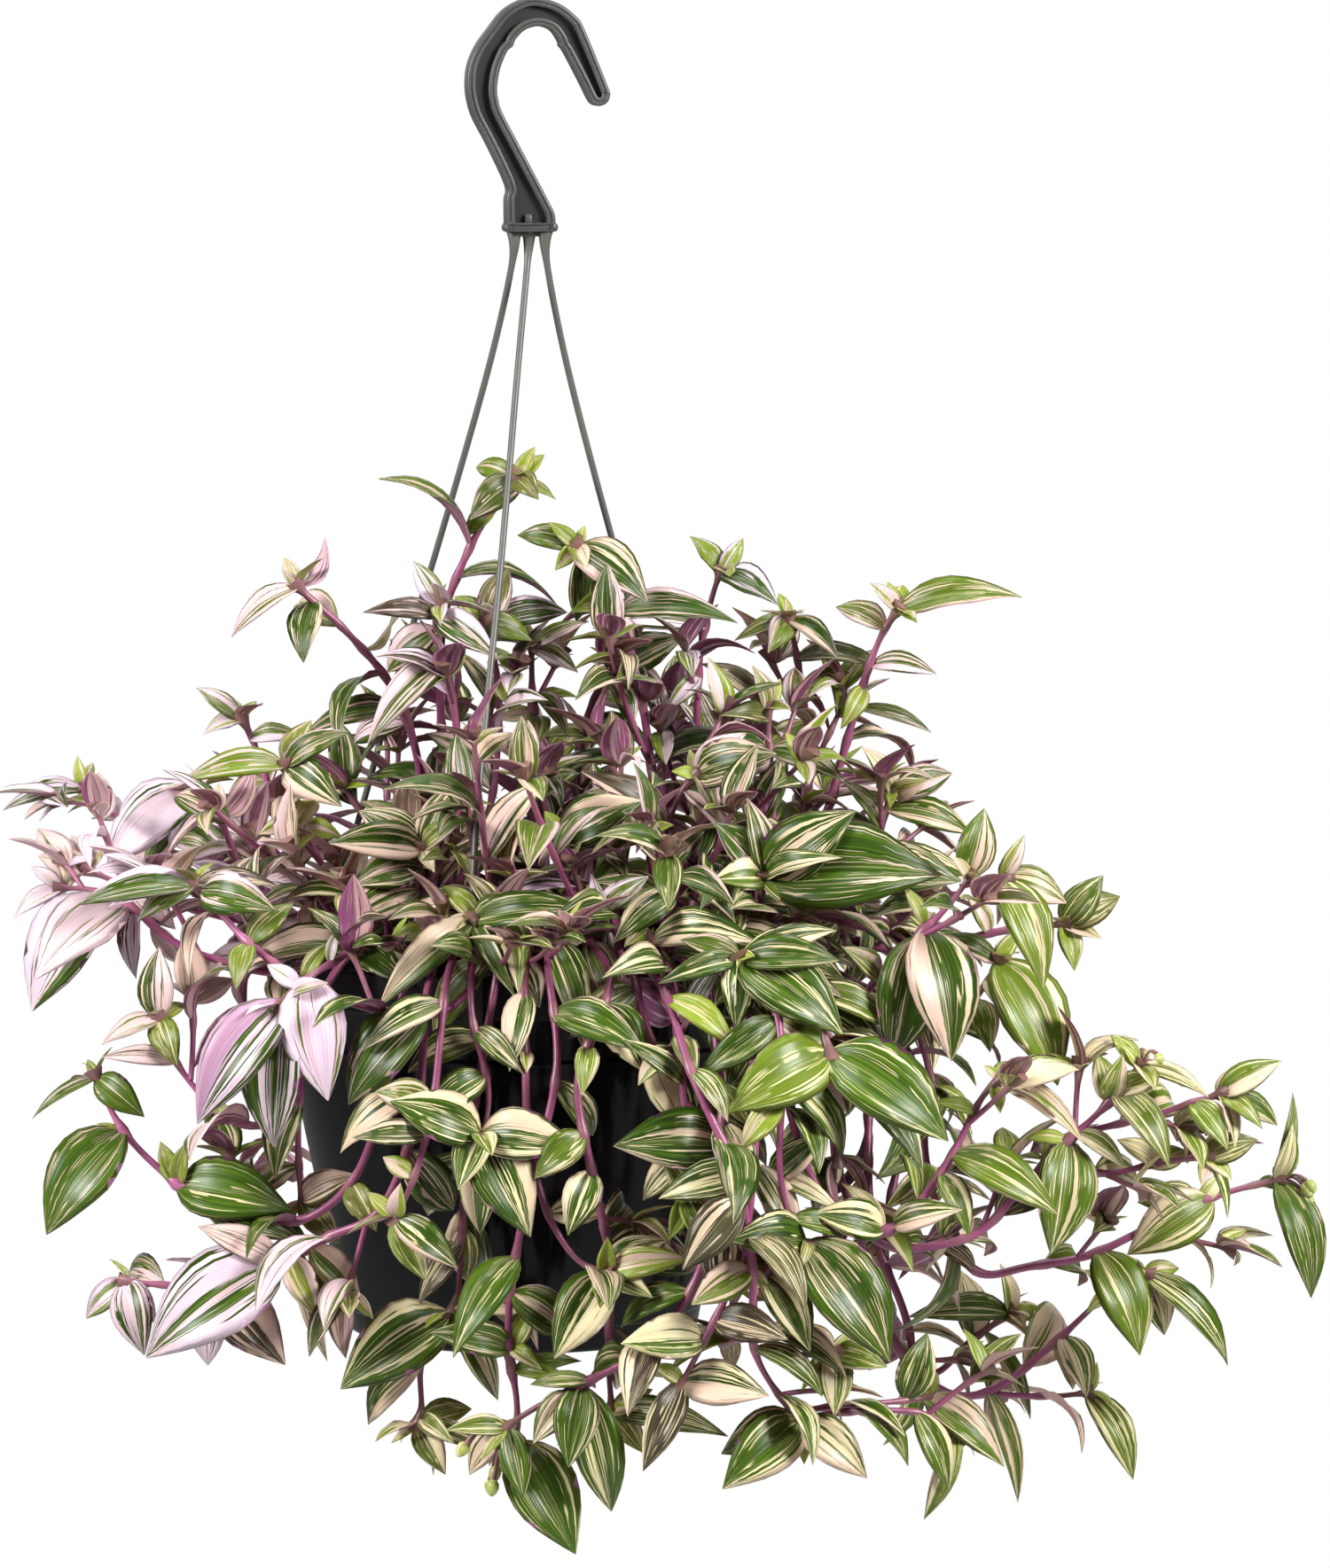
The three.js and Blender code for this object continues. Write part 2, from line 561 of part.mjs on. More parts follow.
      [800, 1500, 890, 1520, -8, 2]],
  },
  stem_front_10: {
    root: [40, -57],
    route: [[860, 1110, -112], [882, 1200, -130], [880, 1330, -136], [900, 1400, -134], [916, 1416, -132]],
    leaves: [[916, 1418, 1006, 1546, -8, 6], [914, 1416, 800, 1420, -8, 6], [916, 1416, 960, 1440, 4, 2],
      [914, 1414, 880, 1440, -12, 4], [884, 1240, 835, 1300, -8, 1]],
    side: [{ route: [[900, 1402, -134], [862, 1445, -132], [850, 1490, -130], [885, 1535, -128],
      [952, 1536, -126]],
      leaves: [[950, 1540, 943, 1608, -8, 6], [956, 1536, 1003, 1552, -6, 2], [952, 1532, 965, 1510, 4, 5],
        [930, 1536, 905, 1580, -4, 4], [945, 1534, 900, 1500, 2, 2]] }],
  },
  stem_front_11: {
    root: [30, -60],
    route: [[745, 1110, -110], [782, 1220, -136], [830, 1330, -144], [850, 1440, -144],
      [850, 1530, -138], [885, 1592, -130], [906, 1620, -128]],
    leaves: [[906, 1622, 814, 1652, -6, 6], [914, 1624, 813, 1698, -10, 6], [920, 1626, 980, 1680, -6, 2],
      [906, 1616, 932, 1606, 2, 5], [850, 1440, 780, 1480, -6, 6], [838, 1360, 770, 1440, -4, 2]],
    side: [{ route: [[900, 1612, -128], [960, 1603, -122], [1035, 1603, -116], [1075, 1620, -112],
      [1088, 1640, -110]],
      leaves: [[1088, 1640, 1045, 1728, -4, 4], [1030, 1606, 1073, 1694, -4, 3],
        [1080, 1625, 1078, 1680, -8, 3]] },
    { route: [[895, 1604, -128], [950, 1596, -118], [1010, 1592, -110], [1055, 1586, -104]],
      leaves: [[1056, 1588, 1136, 1667, -6, 1], [1052, 1588, 1048, 1543, 0, 2],
        [1020, 1595, 1048, 1512, 4, 6]] }],
  },
  stem_right_big: {
    root: [58, -28],
    route: [[905, 1150, -92], [950, 1148, -98], [1000, 1095, -100], [1045, 1050, -100],
      [1085, 1005, -96], [1098, 982, -94]],
    leaves: [[1045, 1056, 1074, 1200, -12, 6], [1035, 1064, 1005, 1200, -4, 6],
      [1044, 1052, 1018, 1000, 4, 4],
      [1098, 984, 1110, 912, 4, 6], [1096, 986, 1073, 966, -4, 1], [1048, 1050, 1055, 1030, 6, 5],
      [990, 1100, 950, 1070, -8, 2]],
    side: [{ route: [[1088, 1000, -96], [1115, 992, -94], [1142, 990, -92]],
      leaves: [[1142, 990, 1156, 942, 2, 3], [1144, 994, 1178, 1118, -10, 1],
        [1142, 992, 1200, 1032, 2, 6], [1142, 994, 1125, 1045, -4, 4]] }],
  },
  stem_right_2: {
    root: [54, -2],
    route: [[1010, 1075, -30], [1080, 1062, -36], [1150, 1048, -38], [1208, 1043, -38]],
    leaves: [[1208, 1043, 1245, 988, 0, 6], [1210, 1044, 1264, 1012, 6, 6], [1212, 1048, 1243, 1060, -4, 5],
      [1206, 1046, 1213, 1097, -6, 2], [1140, 1050, 1165, 1010, 4, 2], [1120, 1055, 1090, 1010, 2, 1]],
  },
  stem_right_3: {
    root: [60, -14],
    route: [[985, 1120, -62], [1060, 1160, -72], [1115, 1110, -76], [1130, 1078, -78]],
    leaves: [[1135, 1080, 1195, 1228, -8, 6], [1140, 1078, 1200, 1160, 8, 3],
      [1128, 1076, 1050, 1060, -2, 3],
      [1132, 1074, 1150, 1050, 4, 5], [1118, 1105, 1140, 1150, -8, 2], [1100, 1125, 1118, 1190, -10, 2]],
  },
  stem_right_buds: {
    root: [46, -26],
    route: [[905, 1135, -100], [890, 1240, -122], [925, 1350, -126], [1000, 1398, -124],
      [1055, 1340, -118], [1082, 1296, -114], [1112, 1235, -110], [1136, 1218, -108]],
    leaves: [[1138, 1218, 1224, 1294, -6, 4], [1134, 1216, 1112, 1205, 4, 5],
      [1120, 1228, 1130, 1260, -8, 5],
      [1100, 1262, 1052, 1248, -4, 3], [1078, 1305, 1196, 1376, -8, 3], [1060, 1330, 1095, 1402, -8, 1],
      [1000, 1398, 920, 1360, -6, 6], [1005, 1395, 950, 1340, 4, 4], [1010, 1392, 1088, 1370, -8, 1]],
  },
  stem_right_flower: {
    root: [66, -20],
    route: [[960, 1150, -84], [940, 1290, -110], [990, 1408, -104], [1098, 1402, -98],
      [1150, 1350, -96], [1198, 1300, -94], [1252, 1249, -92], [1292, 1200, -90]],
    leaves: [[1256, 1248, 1238, 1190, 4, 6], [1260, 1248, 1268, 1192, -4, 2],
      [1268, 1240, 1308, 1212, -6, 2],
      [1262, 1242, 1322, 1322, -12, 1], [1292, 1200, 1254, 1170, 4, 2], [1294, 1200, 1366, 1242, -2, 4],
      [1205, 1296, 1157, 1290, 2, 3], [1214, 1300, 1188, 1422, -8, 6], [1222, 1294, 1272, 1322, -4, 3]],
    side: [{ route: [[1222, 1282, -93], [1305, 1262, -90], [1345, 1248, -88], [1386, 1236, -86]],
      leaves: [[1346, 1250, 1388, 1302, -8, 6], [1386, 1236, 1448, 1200, 2, 1],
        [1384, 1236, 1427, 1278, -6, 1],
        [1388, 1236, 1444, 1274, 6, 3], [1345, 1250, 1334, 1235, 2, 5]] },
    { route: [[1180, 1318, -95], [1250, 1330, -92], [1310, 1316, -90], [1372, 1310, -88]],
      leaves: [[1372, 1308, 1422, 1290, 2, 6], [1372, 1312, 1388, 1340, -6, 2],
        [1312, 1316, 1262, 1290, 2, 2],
        [1368, 1310, 1358, 1342, -8, 5], [1300, 1318, 1345, 1300, 6, 2]] }],
  },
  stem_right_far: {
    root: [69, -2],
    route: [[1020, 1180, -40], [1050, 1340, -58], [1100, 1442, -60], [1158, 1436, -58],
      [1230, 1424, -56], [1300, 1390, -52], [1370, 1356, -48], [1452, 1334, -44]],
    leaves: [[1452, 1336, 1484, 1472, -6, 3], [1452, 1332, 1458, 1268, 0, 3],
      [1454, 1330, 1461, 1236, 4, 7],
      [1364, 1358, 1275, 1422, -6, 6], [1360, 1358, 1286, 1362, 4, 6], [1238, 1424, 1290, 1538, -8, 6],
      [1360, 1360, 1380, 1330, 4, 2], [1105, 1440, 1035, 1400, -4, 4]],
    side: [{ route: [[1236, 1422, -56], [1280, 1438, -56], [1304, 1448, -56]],
      leaves: [[1304, 1450, 1332, 1516, -6, 2], [1306, 1450, 1390, 1550, 2, 4],
        [1302, 1444, 1334, 1438, 4, 2], [1302, 1446, 1280, 1425, 2, 5]] }],
  },
  stem_right_low: {
    root: [62, 16],
    route: [[1010, 1240, 14], [1000, 1400, -2], [1020, 1530, -20], [1060, 1578, -28], [1118, 1582, -30],
      [1190, 1526, -30], [1228, 1490, -28], [1264, 1455, -26]],
    leaves: [[1200, 1520, 1230, 1586, -6, 6], [1190, 1526, 1214, 1578, 4, 3],
      [1262, 1456, 1225, 1440, 2, 2],
      [1262, 1458, 1228, 1490, -6, 3], [1120, 1580, 1152, 1708, -4, 7], [1060, 1578, 1020, 1560, -6, 2]],
    side: [{ route: [[1112, 1582, -30], [1190, 1586, -30], [1238, 1580, -30]],
      leaves: [[1240, 1580, 1283, 1682, -6, 3], [1234, 1580, 1206, 1535, 4, 2],
        [1238, 1578, 1240, 1545, 2, 5]] }],
  },
  stem_right_mid: {
    root: [52, 19],
    route: [[970, 1200, 6], [985, 1380, -10], [1040, 1560, -16], [1100, 1518, -16], [1150, 1485, -16]],
    leaves: [[1150, 1474, 1026, 1494, -8, 4], [1152, 1478, 1160, 1508, -8, 2],
      [1156, 1470, 1130, 1432, 2, 3],
      [1158, 1476, 1188, 1484, 2, 2], [1104, 1512, 1085, 1440, 4, 6], [1110, 1515, 1166, 1612, -4, 7],
      [1130, 1498, 1170, 1525, -8, 4]],
  },
  stem_left_top: {
    root: [-46, 16],
    route: [[400, 1050, 40], [300, 985, 44], [200, 950, 44], [120, 915, 42], [92, 886, 40]],
    leaves: [[96, 888, 3, 914, -4, 4], [94, 886, 88, 852, 2, 3], [112, 910, 75, 918, -4, 7],
      [96, 884, 105, 860, 6, 2],
      [200, 950, 250, 965, -10, 3]],
    side: [{ route: [[360, 1022, 42], [330, 965, 40], [308, 905, 40], [290, 845, 40], [270, 803, 40]],
      leaves: [[275, 806, 222, 775, 4, 3], [276, 808, 230, 828, -6, 2], [272, 804, 290, 790, 8, 5],
      [288, 838, 345, 832, -4, 3], [300, 885, 255, 905, 8, 2]] }],
  },
  stem_left_big: {
    root: [-48, 0],
    route: [[360, 1050, -16], [285, 1015, -20], [262, 960, -22], [248, 922, -22], [216, 880, -24]],
    leaves: [[214, 880, 120, 978, -6, 6], [216, 878, 160, 985, 12, 6], [218, 880, 242, 866, -4, 5],
      [234, 905, 190, 958, -10, 1], [250, 925, 286, 862, 6, 2, 170], [262, 960, 208, 975, -8, 4],
      [246, 915, 215, 900, 8, 2]],
    side: [{ route: [[340, 1045, -17], [290, 1044, -30], [220, 1028, -42], [150, 1004, -46],
      [90, 978, -46]],
      leaves: [[92, 980, 50, 948, 2, 6], [96, 978, 78, 940, 4, 1], [102, 985, 118, 955, 4, 2],
        [150, 1004, 205, 1040, -8, 2],
      [220, 1028, 265, 985, 4, 3]] }],
  },
  stem_left_pink: {
    root: [-48, -26],
    route: [[365, 1085, -62], [300, 1098, -66], [245, 1086, -66], [190, 1062, -64], [150, 1025, -62],
      [105, 1004, -58], [60, 1003, -56]],
    leaves: [[112, 1004, 34, 1143, -8, 6], [142, 1020, 42, 1120, -16, 6], [60, 1003, 14, 1038, -2, 3],
      [60, 1002, 34, 978, 4, 3], [150, 1028, 152, 1106, -4, 3], [168, 1042, 205, 1090, 6, 3],
      [245, 1086, 232, 1120, -6, 2]],
  },
  stem_left_dark: {
    root: [-7, -40],
    route: [[548, 1072, -84], [505, 1140, -104], [430, 1144, -104], [340, 1108, -96], [280, 1066, -88],
      [236, 1018, -80], [212, 992, -78]],
    leaves: [[212, 992, 88, 1022, -6, 4], [215, 993, 154, 1032, -10, 1], [234, 1004, 310, 1028, -12, 6],
      [278, 1070, 265, 1118, -10, 2], [282, 1066, 330, 1020, 4, 2], [216, 990, 312, 1000, 6, 4],
      [340, 1108, 380, 1070, 4, 3]],
  },
  stem_left_star: {
    root: [-50, -38],
    route: [[375, 1100, -80], [345, 1180, -90], [334, 1262, -92], [336, 1345, -92], [338, 1372, -91]],
    leaves: [[338, 1372, 400, 1330, -4, 6], [338, 1370, 362, 1420, -8, 2],
      [350, 1160, 322, 1245, -6, 3], [338, 1375, 310, 1400, 2, 3]],
    side: [{ route: [[334, 1262, -92], [300, 1276, -92], [252, 1268, -90], [234, 1250, -88],
      [196, 1202, -86], [174, 1142, -84]],
      leaves: [[172, 1142, 112, 1182, -4, 3], [176, 1140, 210, 1135, 2, 2], [178, 1148, 198, 1206, -10, 6],
        [174, 1136, 178, 1070, 4, 2], [194, 1196, 112, 1196, -4, 4], [236, 1250, 262, 1262, -4, 5]] }],
  },
  stem_left_magenta: {
    root: [-44, -44],
    route: [[400, 1070, -84], [365, 1095, -96], [328, 1124, -102], [306, 1144, -104]],
    leaves: [[318, 1134, 220, 1272, -6, 1], [308, 1148, 300, 1300, -8, 1], [354, 1108, 344, 1248, -12, 6],
      [304, 1146, 292, 1275, 6, 3], [330, 1126, 368, 1120, -10, 3], [340, 1114, 300, 1090, 4, 2],
      [370, 1092, 380, 1050, 4, 3]],
  },
  stem_left_low: {
    root: [-36, -50],
    route: [[455, 1112, -98], [432, 1240, -108], [395, 1340, -104], [330, 1386, -98], [268, 1368, -94],
      [215, 1352, -92], [188, 1334, -90], [135, 1280, -86], [102, 1210, -82]],
    leaves: [[138, 1283, 48, 1399, -8, 6], [102, 1214, 33, 1266, -4, 7], [104, 1212, 160, 1264, -8, 2],
      [132, 1276, 105, 1272, 2, 7], [200, 1342, 326, 1371, -8, 6], [198, 1338, 178, 1292, 3, 5],
      [200, 1338, 207, 1293, -3, 5],
      [220, 1354, 345, 1402, -8, 1], [232, 1358, 300, 1422, 8, 3], [100, 1210, 96, 1198, 4, 5],
      [395, 1338, 412, 1400, -8, 6]],
  },
  stem_left_low_2: {
    root: [-26, -54],
    route: [[485, 1112, -104], [468, 1260, -116], [430, 1370, -116], [370, 1400, -110],
      [312, 1432, -106], [225, 1458, -100], [130, 1452, -96]],
    leaves: [[310, 1432, 160, 1541, -8, 6], [244, 1460, 318, 1549, -8, 6], [134, 1452, 172, 1502, -4, 2],
      [130, 1456, 158, 1538, -8, 6], [128, 1454, 92, 1496, 2, 2], [314, 1430, 220, 1390, 4, 3],
      [325, 1426, 358, 1498, -10, 1],
      [320, 1428, 386, 1516, 2, 3], [350, 1412, 404, 1466, -4, 2], [236, 1460, 230, 1550, 6, 2],
      [340, 1420, 366, 1545, -2, 7]],
  },
  stem_left_mid: {
    root: [-18, -58],
    route: [[500, 1110, -108], [490, 1230, -120], [470, 1320, -122], [440, 1388, -120]],
    leaves: [[440, 1390, 478, 1450, -8, 2], [442, 1388, 515, 1438, -4, 1], [440, 1386, 450, 1340, -4, 2],
      [438, 1388, 412, 1350, 4, 5], [486, 1250, 400, 1190, -6, 2], [480, 1290, 400, 1260, -4, 3],
      [470, 1330, 430, 1310, 4, 6]],
  },
  stem_left_up: {
    root: [-48, -14],
    route: [[400, 1030, -34], [352, 960, -36], [330, 900, -36], [320, 855, -36]],
    leaves: [[322, 858, 205, 882, -6, 4], [320, 860, 385, 910, -12, 6], [330, 900, 310, 940, -12, 2],
      [322, 860, 395, 825, -2, 3],
      [345, 940, 386, 945, -8, 2], [350, 960, 318, 1000, 4, 2], [322, 856, 352, 812, 6, 2]],
  },
};

// Stems behind the pot's axis, spread evenly by a seeded rule
const backStems = 7;

function backShoots() {
  const shoots = {};
  const draw = draws(41);
  for (let i = 0; i < backStems; i += 1) {
    const azimuth = THREE.MathUtils.degToRad(14 + (152 * (i + 0.3 + 0.4 * draw())) / backStems);
    const reach = 112 + 34 * draw();
    const drop = [10, -70, 40, -105, -30, -84, 24][i % 7];
    const cos = Math.cos(azimuth);
    const sin = Math.sin(azimuth);
    const at = (radius, z) => vec(potX + radius * cos, radius * sin, z);
    const root = 34 + 28 * draw();
    const points = [at(78, rimTop + 16), at(96, rimTop + 18 + Math.max(drop, 0) * 0.5)];
    points.push(at((96 + reach) / 2 + 6, rimTop + 12 + drop * 0.55));
    points.push(at(reach + (drop < -50 ? -6 : 8), rimTop + drop));
    shoots[`stem_back_${i + 1}`] = { root: [root * cos, root * sin], points, leaves: [] };
  }
  return shoots;
}

const shoots = { ...traced, ...backShoots() };

// A curve through points, sampled every few millimetres
function sampled(points) {
  const samples = [points[0].clone()];
  for (let i = 0; i < points.length - 1; i += 1) {
    const a = points[Math.max(i - 1, 0)];
    const b = points[i];
    const c = points[i + 1];
    const d = points[Math.min(i + 2, points.length - 1)];
    const count = Math.max(1, Math.ceil(b.distanceTo(c) / sampleStep));
    for (let k = 1; k <= count; k += 1) {
      const t = k / count;
      const at = (axis) => 0.5 * (
        2 * b[axis] + (c[axis] - a[axis]) * t
        + (2 * a[axis] - 5 * b[axis] + 4 * c[axis] - d[axis]) * t * t
        + (3 * b[axis] - a[axis] - 3 * c[axis] + d[axis]) * t * t * t
      );
      samples.push(vec(at('x'), at('y'), at('z')));
    }
  }
  return samples;
}

function tangentAt(samples, i) {
  const before = samples[Math.max(i - 1, 0)];
  const after = samples[Math.min(i + 1, samples.length - 1)];
  return after.clone().sub(before).normalize();
}

function radialOf(point) {
  return Math.hypot(point.x - potX, point.y);
}

// Every line of the plant: the stem's own, then its side shoots
const lines = [];
for (const [name, shoot] of Object.entries(shoots)) {
  const foot = vec(potX + shoot.root[0], shoot.root[1], soilTop - rootDepth);
  const collar = foot.clone().setZ(soilTop + collarHeight);
  const route = shoot.points ?? shoot.route.map(seen);
  const first = route[0];
  const points = [foot, collar];
  if (radialOf(first) > 80 && first.z < rimTop + 30) {
    const out = vec(first.x - potX, first.y, 0).setLength(81);
    points.push(vec(potX + out.x, out.y, Math.max(first.z, rimTop) + 9));
  }
  points.push(...route);
  const rooted = sampled([foot, collar]);
  const samples = [...rooted.slice(0, -1), ...sampled(points.slice(1))];
  const main = { name, samples, fixed: rooted.length, radius: stemRadius };
  main.leaves = shoot.leaves;
  lines.push(main);
  for (const side of shoot.side ?? []) {
    const sidePoints = side.route.map(seen);
    let at = 0;
    samples.forEach((p, i) => {
      if (p.distanceTo(sidePoints[0]) < samples[at].distanceTo(sidePoints[0])) at = i;
    });
    const sideSamples = sampled(sidePoints);
    const shoot = { name, samples: sideSamples, fixed: 0, radius: shootRadius };
    lines.push({ ...shoot, leaves: side.leaves, from: main, at });
  }
}

// The stems move apart until they clear each other, the strands, the pot and the soil
const fixedLines = Object.values(strandLines).map((points) => {
  const samples = [];
  for (let i = 0; i < points.length - 1; i += 1) {
    const count = Math.ceil(points[i].distanceTo(points[i + 1]) / sampleStep);
    for (let k = 0; k < count; k += 1) samples.push(points[i].clone().lerp(points[i + 1], k / count));
  }
  return { name: 'hanger', samples, fixed: samples.length, radius: strandRadius + 0.4 };
});

const wallLine = [[footRadius, potFoot + 0.8, 0.9], [bodyTopRadius - 0.5, bandFoot, 0.9],
  [rimRadius - 1, bandFoot + 0.5, 1.2],
  [rimRadius - 0.9, rimTop - 0.8, 1.2]];

function pushOffPot(point, radius, push) {
  const r = radialOf(point);
  for (let i = 0; i < wallLine.length - 1; i += 1) {
    const [ar, az, thick] = wallLine[i];
    const [br, bz] = wallLine[i + 1];
    const length = (br - ar) ** 2 + (bz - az) ** 2;
    const t = Math.min(Math.max(((r - ar) * (br - ar) + (point.z - az) * (bz - az)) / length, 0), 1);
    const dr = r - (ar + (br - ar) * t);
    const dz = point.z - (az + (bz - az) * t);
    const gap = Math.hypot(dr, dz);
    const need = radius + thick + stemClearance;
    if (gap < need && gap > 1e-6) {
      const share = (need - gap) / gap;
      push.x += (dr * share * (point.x - potX)) / r;
      push.y += (dr * share * point.y) / r;
      push.z += dz * share;
    }
  }
  const floor = soilTop + radius + 4.5;
  if (r < 80 && point.z < floor && point.z > potFoot) push.z += floor - point.z;
}

function relax(rounds) {
  const all = [...lines, ...fixedLines];
  const dots = [];
  all.forEach((line, owner) => line.samples.forEach((point, i) => dots.push({ line, owner, i, point })));
  let pairs = [];
  for (let round = 0; round < rounds; round += 1) {
    if (round % 10 === 0) {
      pairs = [];
      for (let a = 0; a < dots.length; a += 1) {
        for (let b = a + 1; b < dots.length; b += 1) {
          if (dots[a].line.name === dots[b].line.name) continue;
          if (Math.abs(dots[a].point.x - dots[b].point.x) > 16) continue;
          if (dots[a].point.distanceTo(dots[b].point) < 16) pairs.push([dots[a], dots[b]]);
        }
      }
    }
    const pushes = all.map((line) => line.samples.map(() => vec(0, 0, 0)));
    for (const [a, b] of pairs) {
      const gap = a.point.distanceTo(b.point);
      const need = a.line.radius + b.line.radius + stemClearance + 0.7;
      if (gap < need && gap > 1e-6) {
        const push = a.point.clone().sub(b.point).divideScalar(gap);
        const cross = tangentAt(a.line.samples, a.i).cross(tangentAt(b.line.samples, b.i));
        if (cross.length() > 0.35) {
          const way = push.dot(cross) < 0 ? -1.5 : 1.5;
          push.addScaledVector(cross.normalize(), way).normalize();
        }
        push.multiplyScalar((need - gap) * 0.5);
        const still = b.line.fixed > b.i ? 2 : 1;
        pushes[a.owner][a.i].addScaledVector(push, still);
        pushes[b.owner][b.i].addScaledVector(push, a.line.fixed > a.i ? -2 : -1);
      }
    }
    lines.forEach((line, owner) => {
      line.samples.forEach((point, i) => pushOffPot(point, line.radius, pushes[owner][i]));
      let moves = pushes[owner];
      const passes = round < rounds - 12 ? 2 : 0;
      for (let pass = 0; pass < passes; pass += 1) {
        moves = moves.map((m, i) => {
          const before = moves[Math.max(i - 1, 0)];
          const after = moves[Math.min(i + 1, moves.length - 1)];
          return m.clone().multiplyScalar(0.5).addScaledVector(before, 0.25).addScaledVector(after, 0.25);
        });
      }
      line.samples.forEach((point, i) => {
        if (i >= line.fixed) point.add(moves[i].clampLength(0, 3));
      });
      if (line.from) line.samples[0].copy(line.from.samples[line.at]);
    });
  }
}

relax(170);

for (const line of lines) {
  for (let pass = 0; pass < 2; pass += 1) {
    line.samples = line.samples.map((point, i) => {
      if (i < Math.max(line.fixed, 1) || i === line.samples.length - 1) return point;
      const middle = point.clone().multiplyScalar(0.5).addScaledVector(line.samples[i - 1], 0.25);
      return middle.addScaledVector(line.samples[i + 1], 0.25);
    });
  }
}

// A line with fewer points, none further off than the tolerance
function simplified(points, tolerance) {
  if (points.length < 3) return points;
  const a = points[0];
  const b = points[points.length - 1];
  let worst = 0;
  let at = 0;
  const span = new THREE.Line3(a, b);
  const nearest = new THREE.Vector3();
  for (let i = 1; i < points.length - 1; i += 1) {
    span.closestPointToPoint(points[i], true, nearest);
    const off = nearest.distanceTo(points[i]);
    if (off > worst) {
      worst = off;
      at = i;
    }
  }
  if (worst <= tolerance) return [a, b];
  const first = simplified(points.slice(0, at + 1), tolerance).slice(0, -1);
  return [...first, ...simplified(points.slice(at), tolerance)];
}

for (const line of lines) {
  const free = Math.max(line.fixed - 1, 0);
  const first = line.samples.slice(0, Math.min(free, 1));
  line.points = [...first, ...simplified(line.samples.slice(free), stemTolerance)];
}
for (const line of lines) {
  if (line.from) line.points[0] = axisPoint(line.from, line.at);
}

// The point of a line's axis nearest to a sample, short of its end
function axisPoint(line, at) {
  const sample = line.samples[Math.min(at, line.samples.length - 2)];
  const span = new THREE.Line3();
  const point = new THREE.Vector3();
  let best = null;
  for (let i = 0; i < line.points.length - 1; i += 1) {
    span.set(line.points[i], line.points[i + 1]).closestPointToPoint(sample, true, point);
    if (!best || point.distanceTo(sample) < best.distanceTo(sample)) best = point.clone();
  }
  return best;
}

// Leaf forms: width to length, rise of the arch, fold of the halves, twist to the tip in degrees
const forms = [
  [0.46, 0.14, 0.32, 8],
  [0.44, 0.17, 0.38, -10],
  [0.52, 0.14, 0.27, 6],
  [0.38, 0.18, 0.38, 14],
  [0.29, 0.20, 0.46, -16],
  [0.46, 0.06, 0.52, 0],
  [0.56, 0.15, 0.25, -5],
  [0.20, 0.15, 0.60, 20],
];
const stations = [[0.17, 0.74], [0.4, 1], [0.7, 0.7]];
const smallStations = [[0.3, 1], [0.66, 0.76]];
const longLeaf = 36;

// A leaf blade as a closed thin body from a point inside the stem: left edge, midrib, right edge and
// underside at each station, then the tip
function bladeGeometry(leaf, fat) {
  const { base, chord, normal, form, size } = leaf;
  const [ratio, arch, fold, twist] = forms[form];
  const length = chord.length() * size;
  const along = chord.clone().normalize();
  const face = normal.clone().addScaledVector(along, -normal.dot(along)).normalize();
  const across = face.clone().cross(along);
  const half = (chord.length() * Math.min(size * 1.15, 1) * ratio) / 2;
  const rows = length > longLeaf ? stations : smallStations;
  const points = [base.clone().addScaledVector(along, -0.3 * leaf.line.radius)];
  for (const [t, width] of rows) {
    const turn = THREE.MathUtils.degToRad(twist * t);
    const side = across.clone().multiplyScalar(Math.cos(turn)).addScaledVector(face, Math.sin(turn));
    const lift = face.clone().multiplyScalar(Math.cos(turn)).addScaledVector(across, -Math.sin(turn));
    const mid = base.clone().addScaledVector(along, t * length);
    mid.addScaledVector(face, 4 * arch * length * t * (1 - t));
    const w = half * width + fat;
    const rise = w * fold * (1 - 0.5 * t);
    points.push(mid.clone().addScaledVector(side, w).addScaledVector(lift, rise));
    points.push(mid.clone().addScaledVector(lift, leafThickness * 0.5 + fat));
    points.push(mid.clone().addScaledVector(side, -w).addScaledVector(lift, rise));
    points.push(mid.clone().addScaledVector(lift, -leafThickness * 0.5 - fat));
  }
  points.push(base.clone().addScaledVector(along, length + fat));
  const index = [];
  for (let k = 0; k < 4; k += 1) index.push(0, 1 + k, 1 + ((k + 1) % 4));
  for (let row = 0; row < rows.length - 1; row += 1) {
    const a = row * 4 + 1;
    const b = a + 4;
    index.push(a, b, b + 1, a, b + 1, a + 1);
    index.push(a + 1, b + 1, b + 2, a + 1, b + 2, a + 2);
    index.push(a + 2, b + 2, b + 3, a + 2, b + 3, a + 3);
    index.push(a + 3, b + 3, b, a + 3, b, a);
  }
  const last = rows.length * 4 - 3;
  const tip = points.length - 1;
  for (let k = 0; k < 4; k += 1) index.push(last + k, tip, last + ((k + 1) % 4));
  const geometry = new THREE.BufferGeometry();
  const places = points.flatMap((p) => [p.x, p.y, p.z]);
  geometry.setAttribute('position', new THREE.Float32BufferAttribute(places, 3));
  geometry.setIndex(index);
  return geometry;
}

